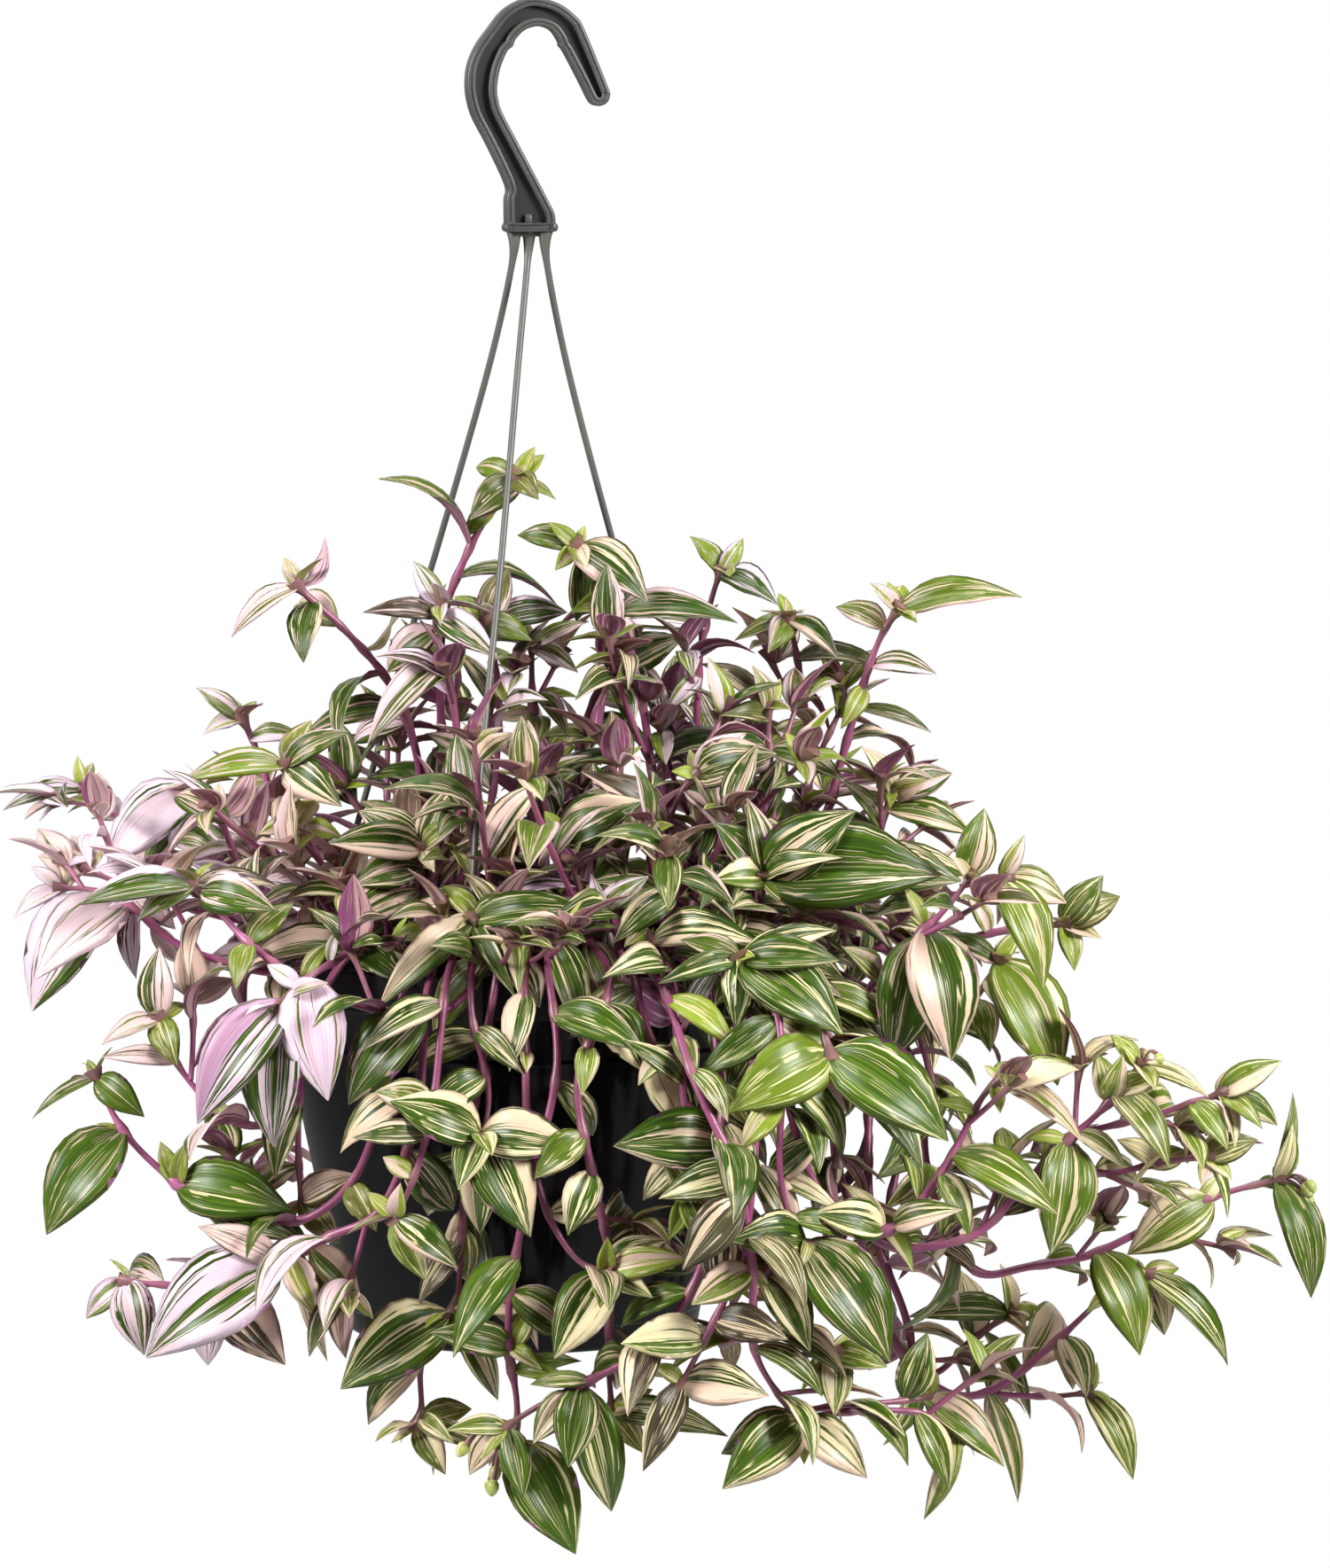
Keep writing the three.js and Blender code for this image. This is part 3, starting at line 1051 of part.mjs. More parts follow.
// Where a leaf may turn to when its first place is taken: yaw, pitch and size
const turns = [
  [0, 0, 1], [10, 0, 1], [-10, 0, 1], [0, 10, 1], [0, -10, 1], [18, 8, 1], [-18, 8, 1], [18, -10, 0.94],
  [-18, -10, 0.94], [0, 20, 0.94], [0, -22, 0.94], [30, 0, 0.9], [-30, 0, 0.9], [28, 18, 0.86],
  [-28, 18, 0.86],
  [42, -10, 0.8], [-42, -10, 0.8], [0, 36, 0.8], [0, 0, 0.72], [50, 20, 0.74], [-50, 20, 0.74],
  [20, 30, 0.64],
  [-20, 30, 0.64], [0, 0, 0.55], [60, 0, 0.6], [-60, 0, 0.6], [0, 50, 0.6], [0, -40, 0.6],
];

function turnedLeaf(leaf, [yaw, pitch, size]) {
  const along = leaf.chord.clone().normalize();
  const face = leaf.normal.clone().addScaledVector(along, -leaf.normal.dot(along)).normalize();
  const chord = leaf.chord.clone().applyAxisAngle(face, THREE.MathUtils.degToRad(yaw));
  const across = face.clone().cross(chord).normalize();
  chord.applyAxisAngle(across, THREE.MathUtils.degToRad(pitch));
  const normal = face.clone().applyAxisAngle(across, THREE.MathUtils.degToRad(pitch));
  return { ...leaf, chord, normal, size };
}

function outwardAt(point) {
  return vec(point.x - potX, point.y, 0).normalize();
}

// The traced leaves of a line, each on the sample nearest to its traced base
function tracedLeaves(line) {
  return line.leaves.map(([x0, y0, x1, y1, depth, form, roll = 0]) => {
    let at = 0;
    let least = Infinity;
    line.samples.forEach((point, i) => {
      const [x, y] = inView(point);
      const off = Math.hypot(x - x0, y - y0);
      if (off < least && i >= line.fixed) {
        least = off;
        at = i;
      }
    });
    const base = axisPoint(line, at);
    const tip = seen([x1, y1, base.y + depth]);
    const chord = tip.clone().sub(base);
    const normal = up.clone().multiplyScalar(0.5).addScaledVector(outwardAt(base), 0.3);
    normal.y -= 0.75;
    const along = chord.clone().normalize();
    normal.addScaledVector(along, -normal.dot(along)).normalize();
    normal.applyAxisAngle(along, THREE.MathUtils.degToRad(roll));
    return { line, at, base, chord, normal, form, size: 1 };
  });
}

// The other leaves alternate along the line, an internode apart
function ruledLeaves(line, taken, draw) {
  const { samples } = line;
  const lengths = [0];
  for (let i = 1; i < samples.length; i += 1) {
    lengths.push(lengths[i - 1] + samples[i].distanceTo(samples[i - 1]));
  }
  const total = lengths[lengths.length - 1];
  const leaves = [];
  const spacing = line.name.startsWith('stem_back') ? backInternode : internode;
  let side = draw() < 0.5 ? -1 : 1;
  let s = line.from ? 15 : rootDepth + 22 + 14 * draw();
  const phase = 6.283 * draw();
  while (s < total - 1) {
    let at = lengths.findIndex((l) => l >= s);
    const jitter = [draw(), draw(), draw(), draw(), draw()];
    if (!taken.some((leaf) => Math.abs(lengths[leaf.at] - s) < 9)) {
      const along = tangentAt(samples, at);
      const reference = Math.abs(along.z) < 0.8 ? up : vec(Math.cos(phase), Math.sin(phase), 0);
      const across = reference.clone().cross(along).normalize();
      across.applyAxisAngle(along, (jitter[0] - 0.5) * 0.9);
      const open = THREE.MathUtils.degToRad(50 + 22 * jitter[1]);
      const chord = along.clone().multiplyScalar(Math.cos(open));
      chord.addScaledVector(across, side * Math.sin(open));
      chord.z -= 0.12 + 0.3 * jitter[2];
      const young = Math.min(1, 0.55 + (total - s) / 70);
      chord.setLength((26 + 14 * jitter[3]) * young);
      const normal = up.clone().multiplyScalar(0.7).addScaledVector(along, 0.3);
      normal.addScaledVector(outwardAt(samples[at]), 0.6);
      const form = [0, 1, 2, 3, 6, 0, 1, 3][Math.floor(jitter[4] * 8)];
      leaves.push({ line, at, base: axisPoint(line, at), chord, normal, form, size: 1 });
    }
    side = -side;
    s += spacing * (0.85 + 0.3 * draw());
  }
  if (!taken.some((leaf) => total - lengths[leaf.at] < 9)) {
    const at = samples.length - 1;
    const along = tangentAt(samples, at);
    for (const turn of [-1, 1]) {
      const reference = Math.abs(along.z) < 0.8 ? up : vec(Math.cos(phase), Math.sin(phase), 0);
      const across = reference.clone().cross(along).normalize();
      const chord = along.clone().addScaledVector(across, turn * 0.55).setLength(20 + 6 * draw());
      const normal = up.clone().addScaledVector(along, 0.3);
      leaves.push({ line, at, base: axisPoint(line, at), chord, normal, form: 5, size: 1 });
    }
  }
  return leaves;
}

// Each leaf takes the first place that clears what stands there already
const placed = [];

function place(body, owner, isLeaf = false) {
  const box = body.boundingBox();
  placed.push({ body, owner, isLeaf, min: box.min, max: box.max });
}

function isClear(leaf, owner) {
  const body = solid(bladeGeometry(leaf, leafClearance));
  const bare = solid(bladeGeometry(leaf, 0));
  const { min, max } = body.boundingBox();
  for (const other of placed) {
    const isPast = min.some((value, k) => value > other.max[k]);
    if (isPast || max.some((value, k) => value < other.min[k])) continue;
    if (other.owner !== owner && !body.intersect(other.body).isEmpty()) return false;
    const isOwnLeaf = other.owner === owner && other.isLeaf;
    if (isOwnLeaf && bare.intersect(other.body).volume() > ownOverlap) return false;
  }
  return true;
}

function makePlant() {
  const bodies = {};
  for (const line of lines) {
    const body = tube(line.points, line.radius, stemSides);
    bodies[line.name] ??= [];
    bodies[line.name].push(body);
    place(body, line.name);
  }
  const wanted = [];
  for (const line of lines) {
    line.tracedLeaves = tracedLeaves(line);
    wanted.push(...line.tracedLeaves);
  }
  lines.forEach((line, i) => wanted.push(...ruledLeaves(line, line.tracedLeaves, draws(100 + i))));
  for (const leaf of wanted) {
    if (leaf.chord.length() < smallestLeaf) continue;
    const turn = turns.find((t) => isClear(turnedLeaf(leaf, t), leaf.line.name));
    if (turn === undefined) continue;
    const body = solid(bladeGeometry(turnedLeaf(leaf, turn), 0));
    bodies[leaf.line.name].push(body);
    place(body, leaf.line.name, true);
  }
  return bodies;
}

const pot = makePot();
const hanger = makeHanger();
place(pot, 'pot');
place(hanger, 'hanger');

// The soil: a slightly uneven filling with a plain hole for each stem
function makeSoil() {
  const foot = potFoot + baseThickness + soilGap;
  const profile = [
    [0, foot],
    [footRadius - potWall - 1.6, foot],
    [bodyTopRadius - potWall - soilGap - 0.9, soilTop - 0.5],
    [50, soilTop + 1.2],
    [0, soilTop + 2],
  ];
  let soil = solid(turned(profile, soilSides));
  for (const line of lines) {
    if (line.from) continue;
    const foot0 = line.samples[0];
    const radius = (line.radius + holeGap) / Math.cos(Math.PI / holeSides);
    const hole = new THREE.CylinderGeometry(radius, radius, rootDepth + 12, holeSides);
    hole.rotateX(Math.PI / 2);
    hole.translate(foot0.x, foot0.y, foot0.z - soilGap + (rootDepth + 12) / 2);
    soil = soil.subtract(solid(hole));
  }
  return soil;
}

const soil = makeSoil();
place(soil, 'soil');

addMesh('pot', pot, material('pot', 0x17171a, 0.25));
addMesh('hanger', hanger, material('hanger', 0x4b4e4c, 0.6));
addMesh('soil', soil, material('soil', 0x2b211b, 1));
for (const [name, bodies] of Object.entries(makePlant())) {
  addMesh(name, largestBody(wasm.Manifold.union(bodies)), material('foliage', 0x5d8a3e, 0.5));
}

export default group;
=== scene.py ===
import cmath
import json
import math

import bmesh
import bpy
import numpy as np
from mathutils import Matrix, Vector
from mathutils.bvhtree import BVHTree
from mathutils.kdtree import KDTree
from numpy.linalg import norm

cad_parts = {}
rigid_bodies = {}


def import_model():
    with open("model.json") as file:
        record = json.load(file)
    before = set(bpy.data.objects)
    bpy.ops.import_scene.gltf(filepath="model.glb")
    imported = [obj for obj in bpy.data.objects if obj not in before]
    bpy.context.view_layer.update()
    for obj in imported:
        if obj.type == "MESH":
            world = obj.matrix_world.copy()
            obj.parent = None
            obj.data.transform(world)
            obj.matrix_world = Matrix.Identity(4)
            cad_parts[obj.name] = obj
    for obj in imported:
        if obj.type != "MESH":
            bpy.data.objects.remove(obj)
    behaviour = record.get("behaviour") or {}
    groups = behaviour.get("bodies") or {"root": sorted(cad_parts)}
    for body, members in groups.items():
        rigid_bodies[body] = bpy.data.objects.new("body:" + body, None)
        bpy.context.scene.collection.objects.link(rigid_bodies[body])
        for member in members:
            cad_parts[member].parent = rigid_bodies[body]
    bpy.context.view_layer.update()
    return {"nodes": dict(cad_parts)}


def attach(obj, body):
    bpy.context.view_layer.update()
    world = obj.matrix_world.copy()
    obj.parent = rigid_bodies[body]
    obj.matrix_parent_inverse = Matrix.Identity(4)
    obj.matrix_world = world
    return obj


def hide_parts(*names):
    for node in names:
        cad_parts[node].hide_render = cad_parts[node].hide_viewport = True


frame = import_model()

mm = 0.001

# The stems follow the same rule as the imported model's, in mm, so the fine leaves lie on its blades
growth = {
    "potX": -5.3, "rimTop": -302.9, "rimHeight": 13.5, "rimRadius": 85, "bodyTopRadius": 81.6,
    "footRadius": 58.2, "potHeight": 127, "soilTop": -317, "rootDepth": 12, "collarHeight": 7,
    "sampleStep": 4, "stemRadius": 2.1, "shootRadius": 1.6, "strandRadius": 1.08, "clipGap": 0.35,
    "tolerance": 1.3, "clearance": 2, "smallestLeaf": 23.5, "internode": 46, "backInternode": 25,
    "rounds": 170,
}
potX = growth["potX"]
rimTop = growth["rimTop"]
potFoot = rimTop - growth["potHeight"]
bandFoot = rimTop - growth["rimHeight"]
soilTop = growth["soilTop"]

# The front view: x right and y down in steps of viewScale at the pot's axis, depth in mm behind it
viewScale = 0.2931
eye = (42.2, -2600.0, 39.4)
viewCentre = (750, -100)


def vec(x, y, z):
    return np.array([x, y, z], float)


up = vec(0, 0, 1)


def unit(v):
    return v / norm(v)


def squareTo(v, axis):
    return unit(v - axis * np.dot(v, axis))


def share(value, low, high):
    # How far a value is from low to high, 0 to 1
    return np.clip((value - low) / (high - low), 0, 1)


def curvePoint(a, b, c, d, t):
    # A Catmull-Rom curve's point between b and c
    return 0.5 * (2 * b + (c - a) * t + (2 * a - 5 * b + 4 * c - d) * t * t
                  + (3 * b - a - 3 * c + d) * t * t * t)


def runAlong(samples):
    return np.concatenate([[0], np.cumsum(norm(np.diff(samples, axis=0), axis=1))])


def scaleAt(depth):
    return viewScale * (depth - eye[1]) / -eye[1]


def seen(point):
    s = scaleAt(point[2])
    return vec(eye[0] + (point[0] - viewCentre[0]) * s, point[2], eye[2] - (point[1] - viewCentre[1]) * s)


def inView(points):
    s = scaleAt(points[..., 1])
    return viewCentre[0] + (points[..., 0] - eye[0]) / s, viewCentre[1] + (eye[2] - points[..., 2]) / s


def draws(seed):
    state = (seed * 7919 + 17) % 2147483647

    def draw():
        nonlocal state
        state = (state * 16807) % 2147483647
        return state / 2147483647

    return draw


def turnAbout(v, axis, degrees):
    a = math.radians(degrees)
    return v * math.cos(a) + np.cross(axis, v) * math.sin(a) + axis * np.dot(axis, v) * (1 - math.cos(a))


# The stems as the photographed view shows them: the root, x y from the pot's axis in mm; the route from
# the rim to the tip, x y depth; the leaves, each base x y, tip x y, depth from base to tip, form and
# perhaps roll in degrees; then route and leaves of each side shoot.
traced = {
    "shoot_up_1": "-22 8; 505 900 4, 497 800 0, 500 700 -2, 520 640 -5, 548 585 -8, 590 532 -10; "
      "588 534 530 586 -8 6, 586 536 608 563 -16 2, 560 570 525 604 6 2, 588 532 538 526 12 1, "
      "592 530 604 503 2 5, 594 531 622 520 0 5, 592 530 628 563 -4 4",
    "shoot_up_2": "44 -8; 765 1010 -15, 742 930 -15, 733 850 -12, 722 780 -12, 706 715 -12, 690 665 -15, "
      "665 630 -18, 645 610 -20; 650 612 731 678 -10 6, 640 606 584 603 5 1, 642 608 626 643 -8 5, "
      "642 605 618 588 -2 5, 645 606 660 592 3 5, 697 672 643 690 -10 1, 703 694 832 702 -6 4, "
      "656 625 650 700 6 3",
    "shoot_up_3": "40 20; 790 1000 22, 785 900 18, 786 800 14, 790 730 10, 797 695 10, 808 655 8, "
      "815 638 8; 815 642 778 604 4 2, 815 640 838 606 4 1, 818 640 877 672 -12 6, 793 710 672 690 8 3, "
      "790 705 768 664 6 7, 789 760 752 800 -10 3",
    "shoot_up_4": "60 24; 908 1000 26, 912 900 24, 913 840 20, 905 780 18, 895 720 15, 886 690 15; "
      "886 692 945 742 -8 3, 884 694 828 722 -6 4, 890 702 862 742 -12 2, 897 745 1003 757 -4 4, "
      "912 780 945 753 6 3, 890 700 878 668 6 5, 912 812 845 860 -8 3",
    "shoot_up_5": "62 4; 925 930 4, 945 870 8, 965 800 8, 980 750 5, 997 708 4, 1018 680 0; "
      "1018 680 1152 673 0 4, 1018 684 1034 702 -6 5, 1014 688 980 656 -4 5, 1014 686 1000 655 4 5, "
      "1000 704 942 684 6 6, 982 750 1056 760 -4 3, 975 780 948 822 -8 1, 966 800 1050 826 4 7",
    "shoot_up_left": "-34 -4; 480 950 -8, 468 840 -8, 440 770 -12, 410 732 -15, 375 695 -18, 345 670 -20, "
      "332 655 -20; 336 658 368 604 6 6 150, 334 656 262 718 -6 4, 350 682 343 747 -14 2, "
      "410 728 442 698 4 3 150, 334 654 322 628 6 5, 455 800 343 828 -12 4, 455 810 400 838 14 1",
    "shoot_up_6": "-14 -18; 505 1010 -24, 517 900 -26, 515 820 -26, 505 760 -26, 492 710 -26, 500 670 -26; "
      "498 672 467 632 4 5, 500 668 498 702 -12 5, 500 690 410 690 -8 4, 494 712 437 758 6 6, "
      "500 690 562 742 -14 1, 503 750 415 840 -16 4; 508 1010 -24, 548 930 -20, 562 840 -18, 562 770 -18, "
      "550 692 -18; 552 700 574 640 8 6, 552 700 513 672 6 2, 554 704 600 722 -12 2, 562 770 578 790 -8 5, "
      "552 696 640 690 10 3",
    "shoot_up_8": "12 10; 640 1020 8, 610 900 6, 603 830 4, 600 770 2, 600 720 0; 600 722 652 758 -8 5, "
      "600 720 570 690 2 3, 600 722 665 700 2 4, 602 780 640 830 -10 3, 603 800 560 812 -4 5, "
      "604 800 605 842 -14 2, 602 790 650 790 -10 1",
    "shoot_up_9": "22 18; 660 1010 24, 650 900 22, 660 820 20, 678 770 16, 700 750 12; "
      "690 755 772 718 0 6, 664 805 740 860 -10 4, 655 830 605 832 -8 4, 692 752 755 790 -8 2, "
      "670 790 720 800 8 6",
    "shoot_up_10": "52 -16; 855 1010 -22, 872 930 -20, 868 860 -18, 866 810 -16, 864 790 -16; "
      "864 792 848 750 -4 1, 864 790 880 765 4 5, 862 792 790 748 6 4, 866 812 800 790 -8 3, "
      "868 845 778 876 -14 6, 868 850 952 882 -6 1, 868 795 892 800 -10 5",
    "shoot_up_11": "30 -30; 720 1030 -40, 745 950 -42, 770 890 -42, 790 870 -42; 785 880 757 870 -4 6, "
      "788 876 842 826 2 6, 790 880 876 850 -12 6, 770 895 855 985 -10 4, 748 940 655 870 -10 3",
    "shoot_up_right": "64 -8; 965 1030 -12, 985 960 -10, 1003 905 -8, 1008 888 -8; 1006 892 972 842 -4 1, "
      "1010 888 1036 868 -6 6, 1008 890 1074 872 6 6, 1008 892 1032 918 -8 3, 1004 910 1096 942 4 3, "
      "995 930 948 880 4 3",
    "cluster_right": "50 -34; 850 1090 -70, 855 1040 -76, 862 1000 -80, 865 982 -82; 866 980 965 915 -8 6, "
      "870 974 1062 988 -10 6, 862 985 804 1020 -10 6, 864 976 806 928 2 6, 868 985 950 968 -16 4, "
      "866 988 915 1035 -12 2, 864 975 842 900 6 3; 856 1035 -75, 905 1040 -66, 948 1012 -61, 966 975 -60; "
      "966 985 1085 995 -6 6, 968 982 1096 990 8 1, 966 978 982 935 4 2, 966 985 968 1030 -10 2, "
      "964 990 895 1015 -8 4",
    "cluster_left": "-26 -34; 478 1090 -60, 470 1030 -62, 472 980 -64, 478 948 -66; 480 946 372 952 -8 1, "
      "482 944 530 925 -4 3, 480 946 405 915 4 6, 478 950 490 985 -8 2, 472 975 398 1000 -8 6, "
      "470 1000 385 1055 -10 2, 484 940 520 880 4 1",
    "cluster_middle": "-4 -34; 560 1085 -58, 552 1050 -70, 536 1042 -84, 530 1048 -90; "
      "534 1050 525 1118 -8 2, 536 1046 500 1040 -2 5, 538 1044 678 1032 -8 4, 545 1040 500 1000 4 2, "
      "540 1040 600 1000 4 2, 528 1052 445 1155 -14 4, 532 1060 500 1170 -12 7; 575 1095 -38, "
      "625 1060 -52, 640 1010 -62, 632 960 -64, 630 938 -64; 632 936 725 903 -4 6, 630 938 580 945 -6 2, "
      "634 950 710 975 -6 4, 640 1010 645 1000 -10 2, 640 1020 566 985 -8 1, 646 1050 580 1090 -8 3",
    "stem_purple_fold": "18 -42; 700 1075 -78, 740 1125 -104, 772 1150 -110, 815 1158 -112; "
      "772 1138 736 1046 8 6 160, 776 1140 846 1096 -2 4, 812 1156 860 1200 -10 1; 706 1080 -80, "
      "690 1040 -78, 682 1024 -78; 684 1026 664 992 -4 5, 684 1028 724 980 2 1, 690 1040 762 970 4 4, "
      "694 1050 740 1120 -10 7, 690 1040 610 1075 -10 1",
    "star_front": "38 -40; 800 1060 -84, 822 1068 -100, 838 1088 -112; 840 1092 828 1168 -8 2, "
      "838 1088 770 1058 -4 1, 834 1092 742 1112 -8 4, 845 1092 952 1170 -10 6, 848 1088 948 1085 -6 3, "
      "842 1086 945 1045 2 4, 840 1088 852 1080 -8 5",
    "pair_front": "50 -43; 880 1090 -92, 920 1140 -116, 938 1200 -122; 938 1208 817 1266 -10 6, "
      "944 1202 1071 1292 -8 6, 940 1212 958 1262 -10 5, 930 1180 868 1160 4 6, 935 1195 780 1232 6 6; "
      "936 1220 -120, 945 1270 -122, 946 1320 -120; ",
    "stem_front_1": "22 -52; 722 1095 -96, 735 1180 -112, 790 1270 -120, 830 1305 -122, 880 1340 -122; "
      "722 1180 794 1288 -12 6, 822 1290 696 1320 -14 6, 884 1338 858 1382 -10 2, 884 1336 945 1282 4 1, "
      "886 1340 952 1376 -6 4, 882 1342 908 1328 -6 5, 850 1320 905 1410 -12 3",
    "stem_front_2": "31 -45; 755 1098 -100, 765 1200 -116, 785 1330 -124, 778 1365 -128; "
      "778 1368 842 1415 -12 3, 776 1366 745 1310 4 2, 780 1370 755 1405 -10 5, 768 1220 700 1175 -6 4, "
      "782 1330 822 1345 -8 5, 782 1300 725 1360 6 3",
    "stem_front_3": "-14 -48; 528 1098 -96, 530 1150 -108, 548 1215 -112, 550 1260 -114, 538 1295 -118; "
      "540 1296 438 1246 -6 6, 540 1292 652 1305 -2 6, 542 1300 597 1402 -10 6, 536 1298 540 1362 -12 2, "
      "534 1300 540 1398 6 3, 548 1210 470 1250 -6 2, 532 1170 590 1215 -8 3",
    "stem_front_4": "-2 -54; 590 1100 -98, 592 1200 -114, 596 1300 -118, 616 1375 -120, 655 1435 -124, "
      "694 1444 -128; 696 1446 624 1542 -8 6, 694 1440 752 1405 4 6, 700 1448 736 1472 -10 5, "
      "704 1450 778 1427 -2 3, 694 1440 685 1402 -6 5, 592 1190 575 1210 -8 5, 600 1120 574 1212 -14 3, "
      "605 1320 650 1310 -6 2, 620 1380 690 1370 4 2",
    "stem_front_5": "-8 -58; 560 1100 -100, 535 1250 -104, 520 1390 -106, 514 1480 -106, 500 1498 -107; "
      "502 1492 381 1577 -8 6, 516 1485 632 1490 -6 4, 572 1395 524 1452 4 6, 514 1488 560 1590 4 4, "
      "520 1400 470 1480 -4 3; 502 1496 -107, 472 1535 -108, 474 1610 -106, 466 1626 -106; "
      "468 1624 438 1640 0 4, 470 1622 500 1676 -8 2, 474 1618 560 1650 -6 4, 474 1612 530 1600 6 2, "
      "472 1610 510 1640 -14 3",
    "stem_front_6": "4 -60; 618 1100 -104, 628 1210 -118, 600 1330 -122, 576 1450 -122, 572 1530 -122, "
      "582 1590 -120, 580 1648 -118; 580 1650 648 1768 -8 6, 578 1648 525 1645 -4 2, "
      "576 1532 482 1512 -6 1, 574 1534 600 1480 4 6, 578 1560 650 1572 -6 4, 580 1560 655 1545 2 4, "
      "574 1530 610 1555 -8 1",
    "stem_front_7": "20 -60; 690 1100 -106, 672 1160 -118, 650 1230 -122, 670 1340 -126, 690 1440 -116, "
      "685 1520 -118, 690 1612 -118; 692 1618 727 1652 -6 2, 692 1614 822 1632 -6 4, "
      "688 1600 740 1586 4 1, 688 1600 720 1600 -8 5, 672 1190 655 1240 -10 1, 668 1330 640 1400 -8 6, "
      "655 1280 605 1340 4 2",
    "stem_front_8": "34 -54; 792 1100 -104, 808 1180 -122, 815 1310 -132, 790 1440 -134, 735 1525 -134, "
      "655 1572 -132, 600 1600 -130, 562 1626 -130; 655 1574 640 1668 -8 6, 658 1574 693 1724 -2 3, "
      "640 1582 600 1640 -6 2, 660 1568 600 1575 6 4, 565 1626 500 1625 -4 3, 570 1622 540 1660 -6 4, "
      "810 1230 855 1270 -6 5",
    "stem_front_9": "42 -50; 822 1100 -102, 848 1190 -124, 852 1300 -134, 835 1430 -138, 790 1530 -138, "
      "765 1578 -136; 765 1578 735 1548 0 2, 764 1582 725 1672 -6 3, 770 1578 868 1585 -6 6, "
      "790 1520 700 1525 -8 6, 830 1440 865 1500 -4 6, 836 1410 800 1350 4 2, 800 1500 890 1520 -8 2",
    "stem_front_10": "40 -57; 860 1110 -112, 882 1200 -130, 880 1330 -136, 900 1400 -134, 916 1416 -132; "
      "916 1418 1006 1546 -8 6, 914 1416 800 1420 -8 6, 916 1416 960 1440 4 2, 914 1414 880 1440 -12 4, "
      "884 1240 835 1300 -8 1; 900 1402 -134, 862 1445 -132, 850 1490 -130, 885 1535 -128, 952 1536 -126; "
      "950 1540 943 1608 -8 6, 956 1536 1003 1552 -6 2, 952 1532 965 1510 4 5, 930 1536 905 1580 -4 4, "
      "945 1534 900 1500 2 2",
    "stem_front_11": "30 -60; 745 1110 -110, 782 1220 -136, 830 1330 -144, 850 1440 -144, 850 1530 -138, "
      "885 1592 -130, 906 1620 -128; 906 1622 814 1652 -6 6, 914 1624 813 1698 -10 6, "
      "920 1626 980 1680 -6 2, 906 1616 932 1606 2 5, 850 1440 780 1480 -6 6, 838 1360 770 1440 -4 2; "
      "900 1612 -128, 960 1603 -122, 1035 1603 -116, 1075 1620 -112, 1088 1640 -110; "
      "1088 1640 1045 1728 -4 4, 1030 1606 1073 1694 -4 3, 1080 1625 1078 1680 -8 3; 895 1604 -128, "
      "950 1596 -118, 1010 1592 -110, 1055 1586 -104; 1056 1588 1136 1667 -6 1, 1052 1588 1048 1543 0 2, "
      "1020 1595 1048 1512 4 6",
    "stem_right_big": "58 -28; 905 1150 -92, 950 1148 -98, 1000 1095 -100, 1045 1050 -100, 1085 1005 -96, "
      "1098 982 -94; 1045 1056 1074 1200 -12 6, 1035 1064 1005 1200 -4 6, 1044 1052 1018 1000 4 4, "
      "1098 984 1110 912 4 6, 1096 986 1073 966 -4 1, 1048 1050 1055 1030 6 5, 990 1100 950 1070 -8 2; "
      "1088 1000 -96, 1115 992 -94, 1142 990 -92; 1142 990 1156 942 2 3, 1144 994 1178 1118 -10 1, "
      "1142 992 1200 1032 2 6, 1142 994 1125 1045 -4 4",
    "stem_right_2": "54 -2; 1010 1075 -30, 1080 1062 -36, 1150 1048 -38, 1208 1043 -38; "
      "1208 1043 1245 988 0 6, 1210 1044 1264 1012 6 6, 1212 1048 1243 1060 -4 5, "
      "1206 1046 1213 1097 -6 2, 1140 1050 1165 1010 4 2, 1120 1055 1090 1010 2 1",
    "stem_right_3": "60 -14; 985 1120 -62, 1060 1160 -72, 1115 1110 -76, 1130 1078 -78; "
      "1135 1080 1195 1228 -8 6, 1140 1078 1200 1160 8 3, 1128 1076 1050 1060 -2 3, "
      "1132 1074 1150 1050 4 5, 1118 1105 1140 1150 -8 2, 1100 1125 1118 1190 -10 2",
    "stem_right_buds": "46 -26; 905 1135 -100, 890 1240 -122, 925 1350 -126, 1000 1398 -124, "
      "1055 1340 -118, 1082 1296 -114, 1112 1235 -110, 1136 1218 -108; 1138 1218 1224 1294 -6 4, "
      "1134 1216 1112 1205 4 5, 1120 1228 1130 1260 -8 5, 1100 1262 1052 1248 -4 3, "
      "1078 1305 1196 1376 -8 3, 1060 1330 1095 1402 -8 1, 1000 1398 920 1360 -6 6, "
      "1005 1395 950 1340 4 4, 1010 1392 1088 1370 -8 1",
    "stem_right_flower": "66 -20; 960 1150 -84, 940 1290 -110, 990 1408 -104, 1098 1402 -98, "
      "1150 1350 -96, 1198 1300 -94, 1252 1249 -92, 1292 1200 -90; 1256 1248 1238 1190 4 6, "
      "1260 1248 1268 1192 -4 2, 1268 1240 1308 1212 -6 2, 1262 1242 1322 1322 -12 1, "
      "1292 1200 1254 1170 4 2, 1294 1200 1366 1242 -2 4, 1205 1296 1157 1290 2 3, "
      "1214 1300 1188 1422 -8 6, 1222 1294 1272 1322 -4 3; 1222 1282 -93, 1305 1262 -90, 1345 1248 -88, "
      "1386 1236 -86; 1346 1250 1388 1302 -8 6, 1386 1236 1448 1200 2 1, 1384 1236 1427 1278 -6 1, "
      "1388 1236 1444 1274 6 3, 1345 1250 1334 1235 2 5; 1180 1318 -95, 1250 1330 -92, 1310 1316 -90, "
      "1372 1310 -88; 1372 1308 1422 1290 2 6, 1372 1312 1388 1340 -6 2, 1312 1316 1262 1290 2 2, "
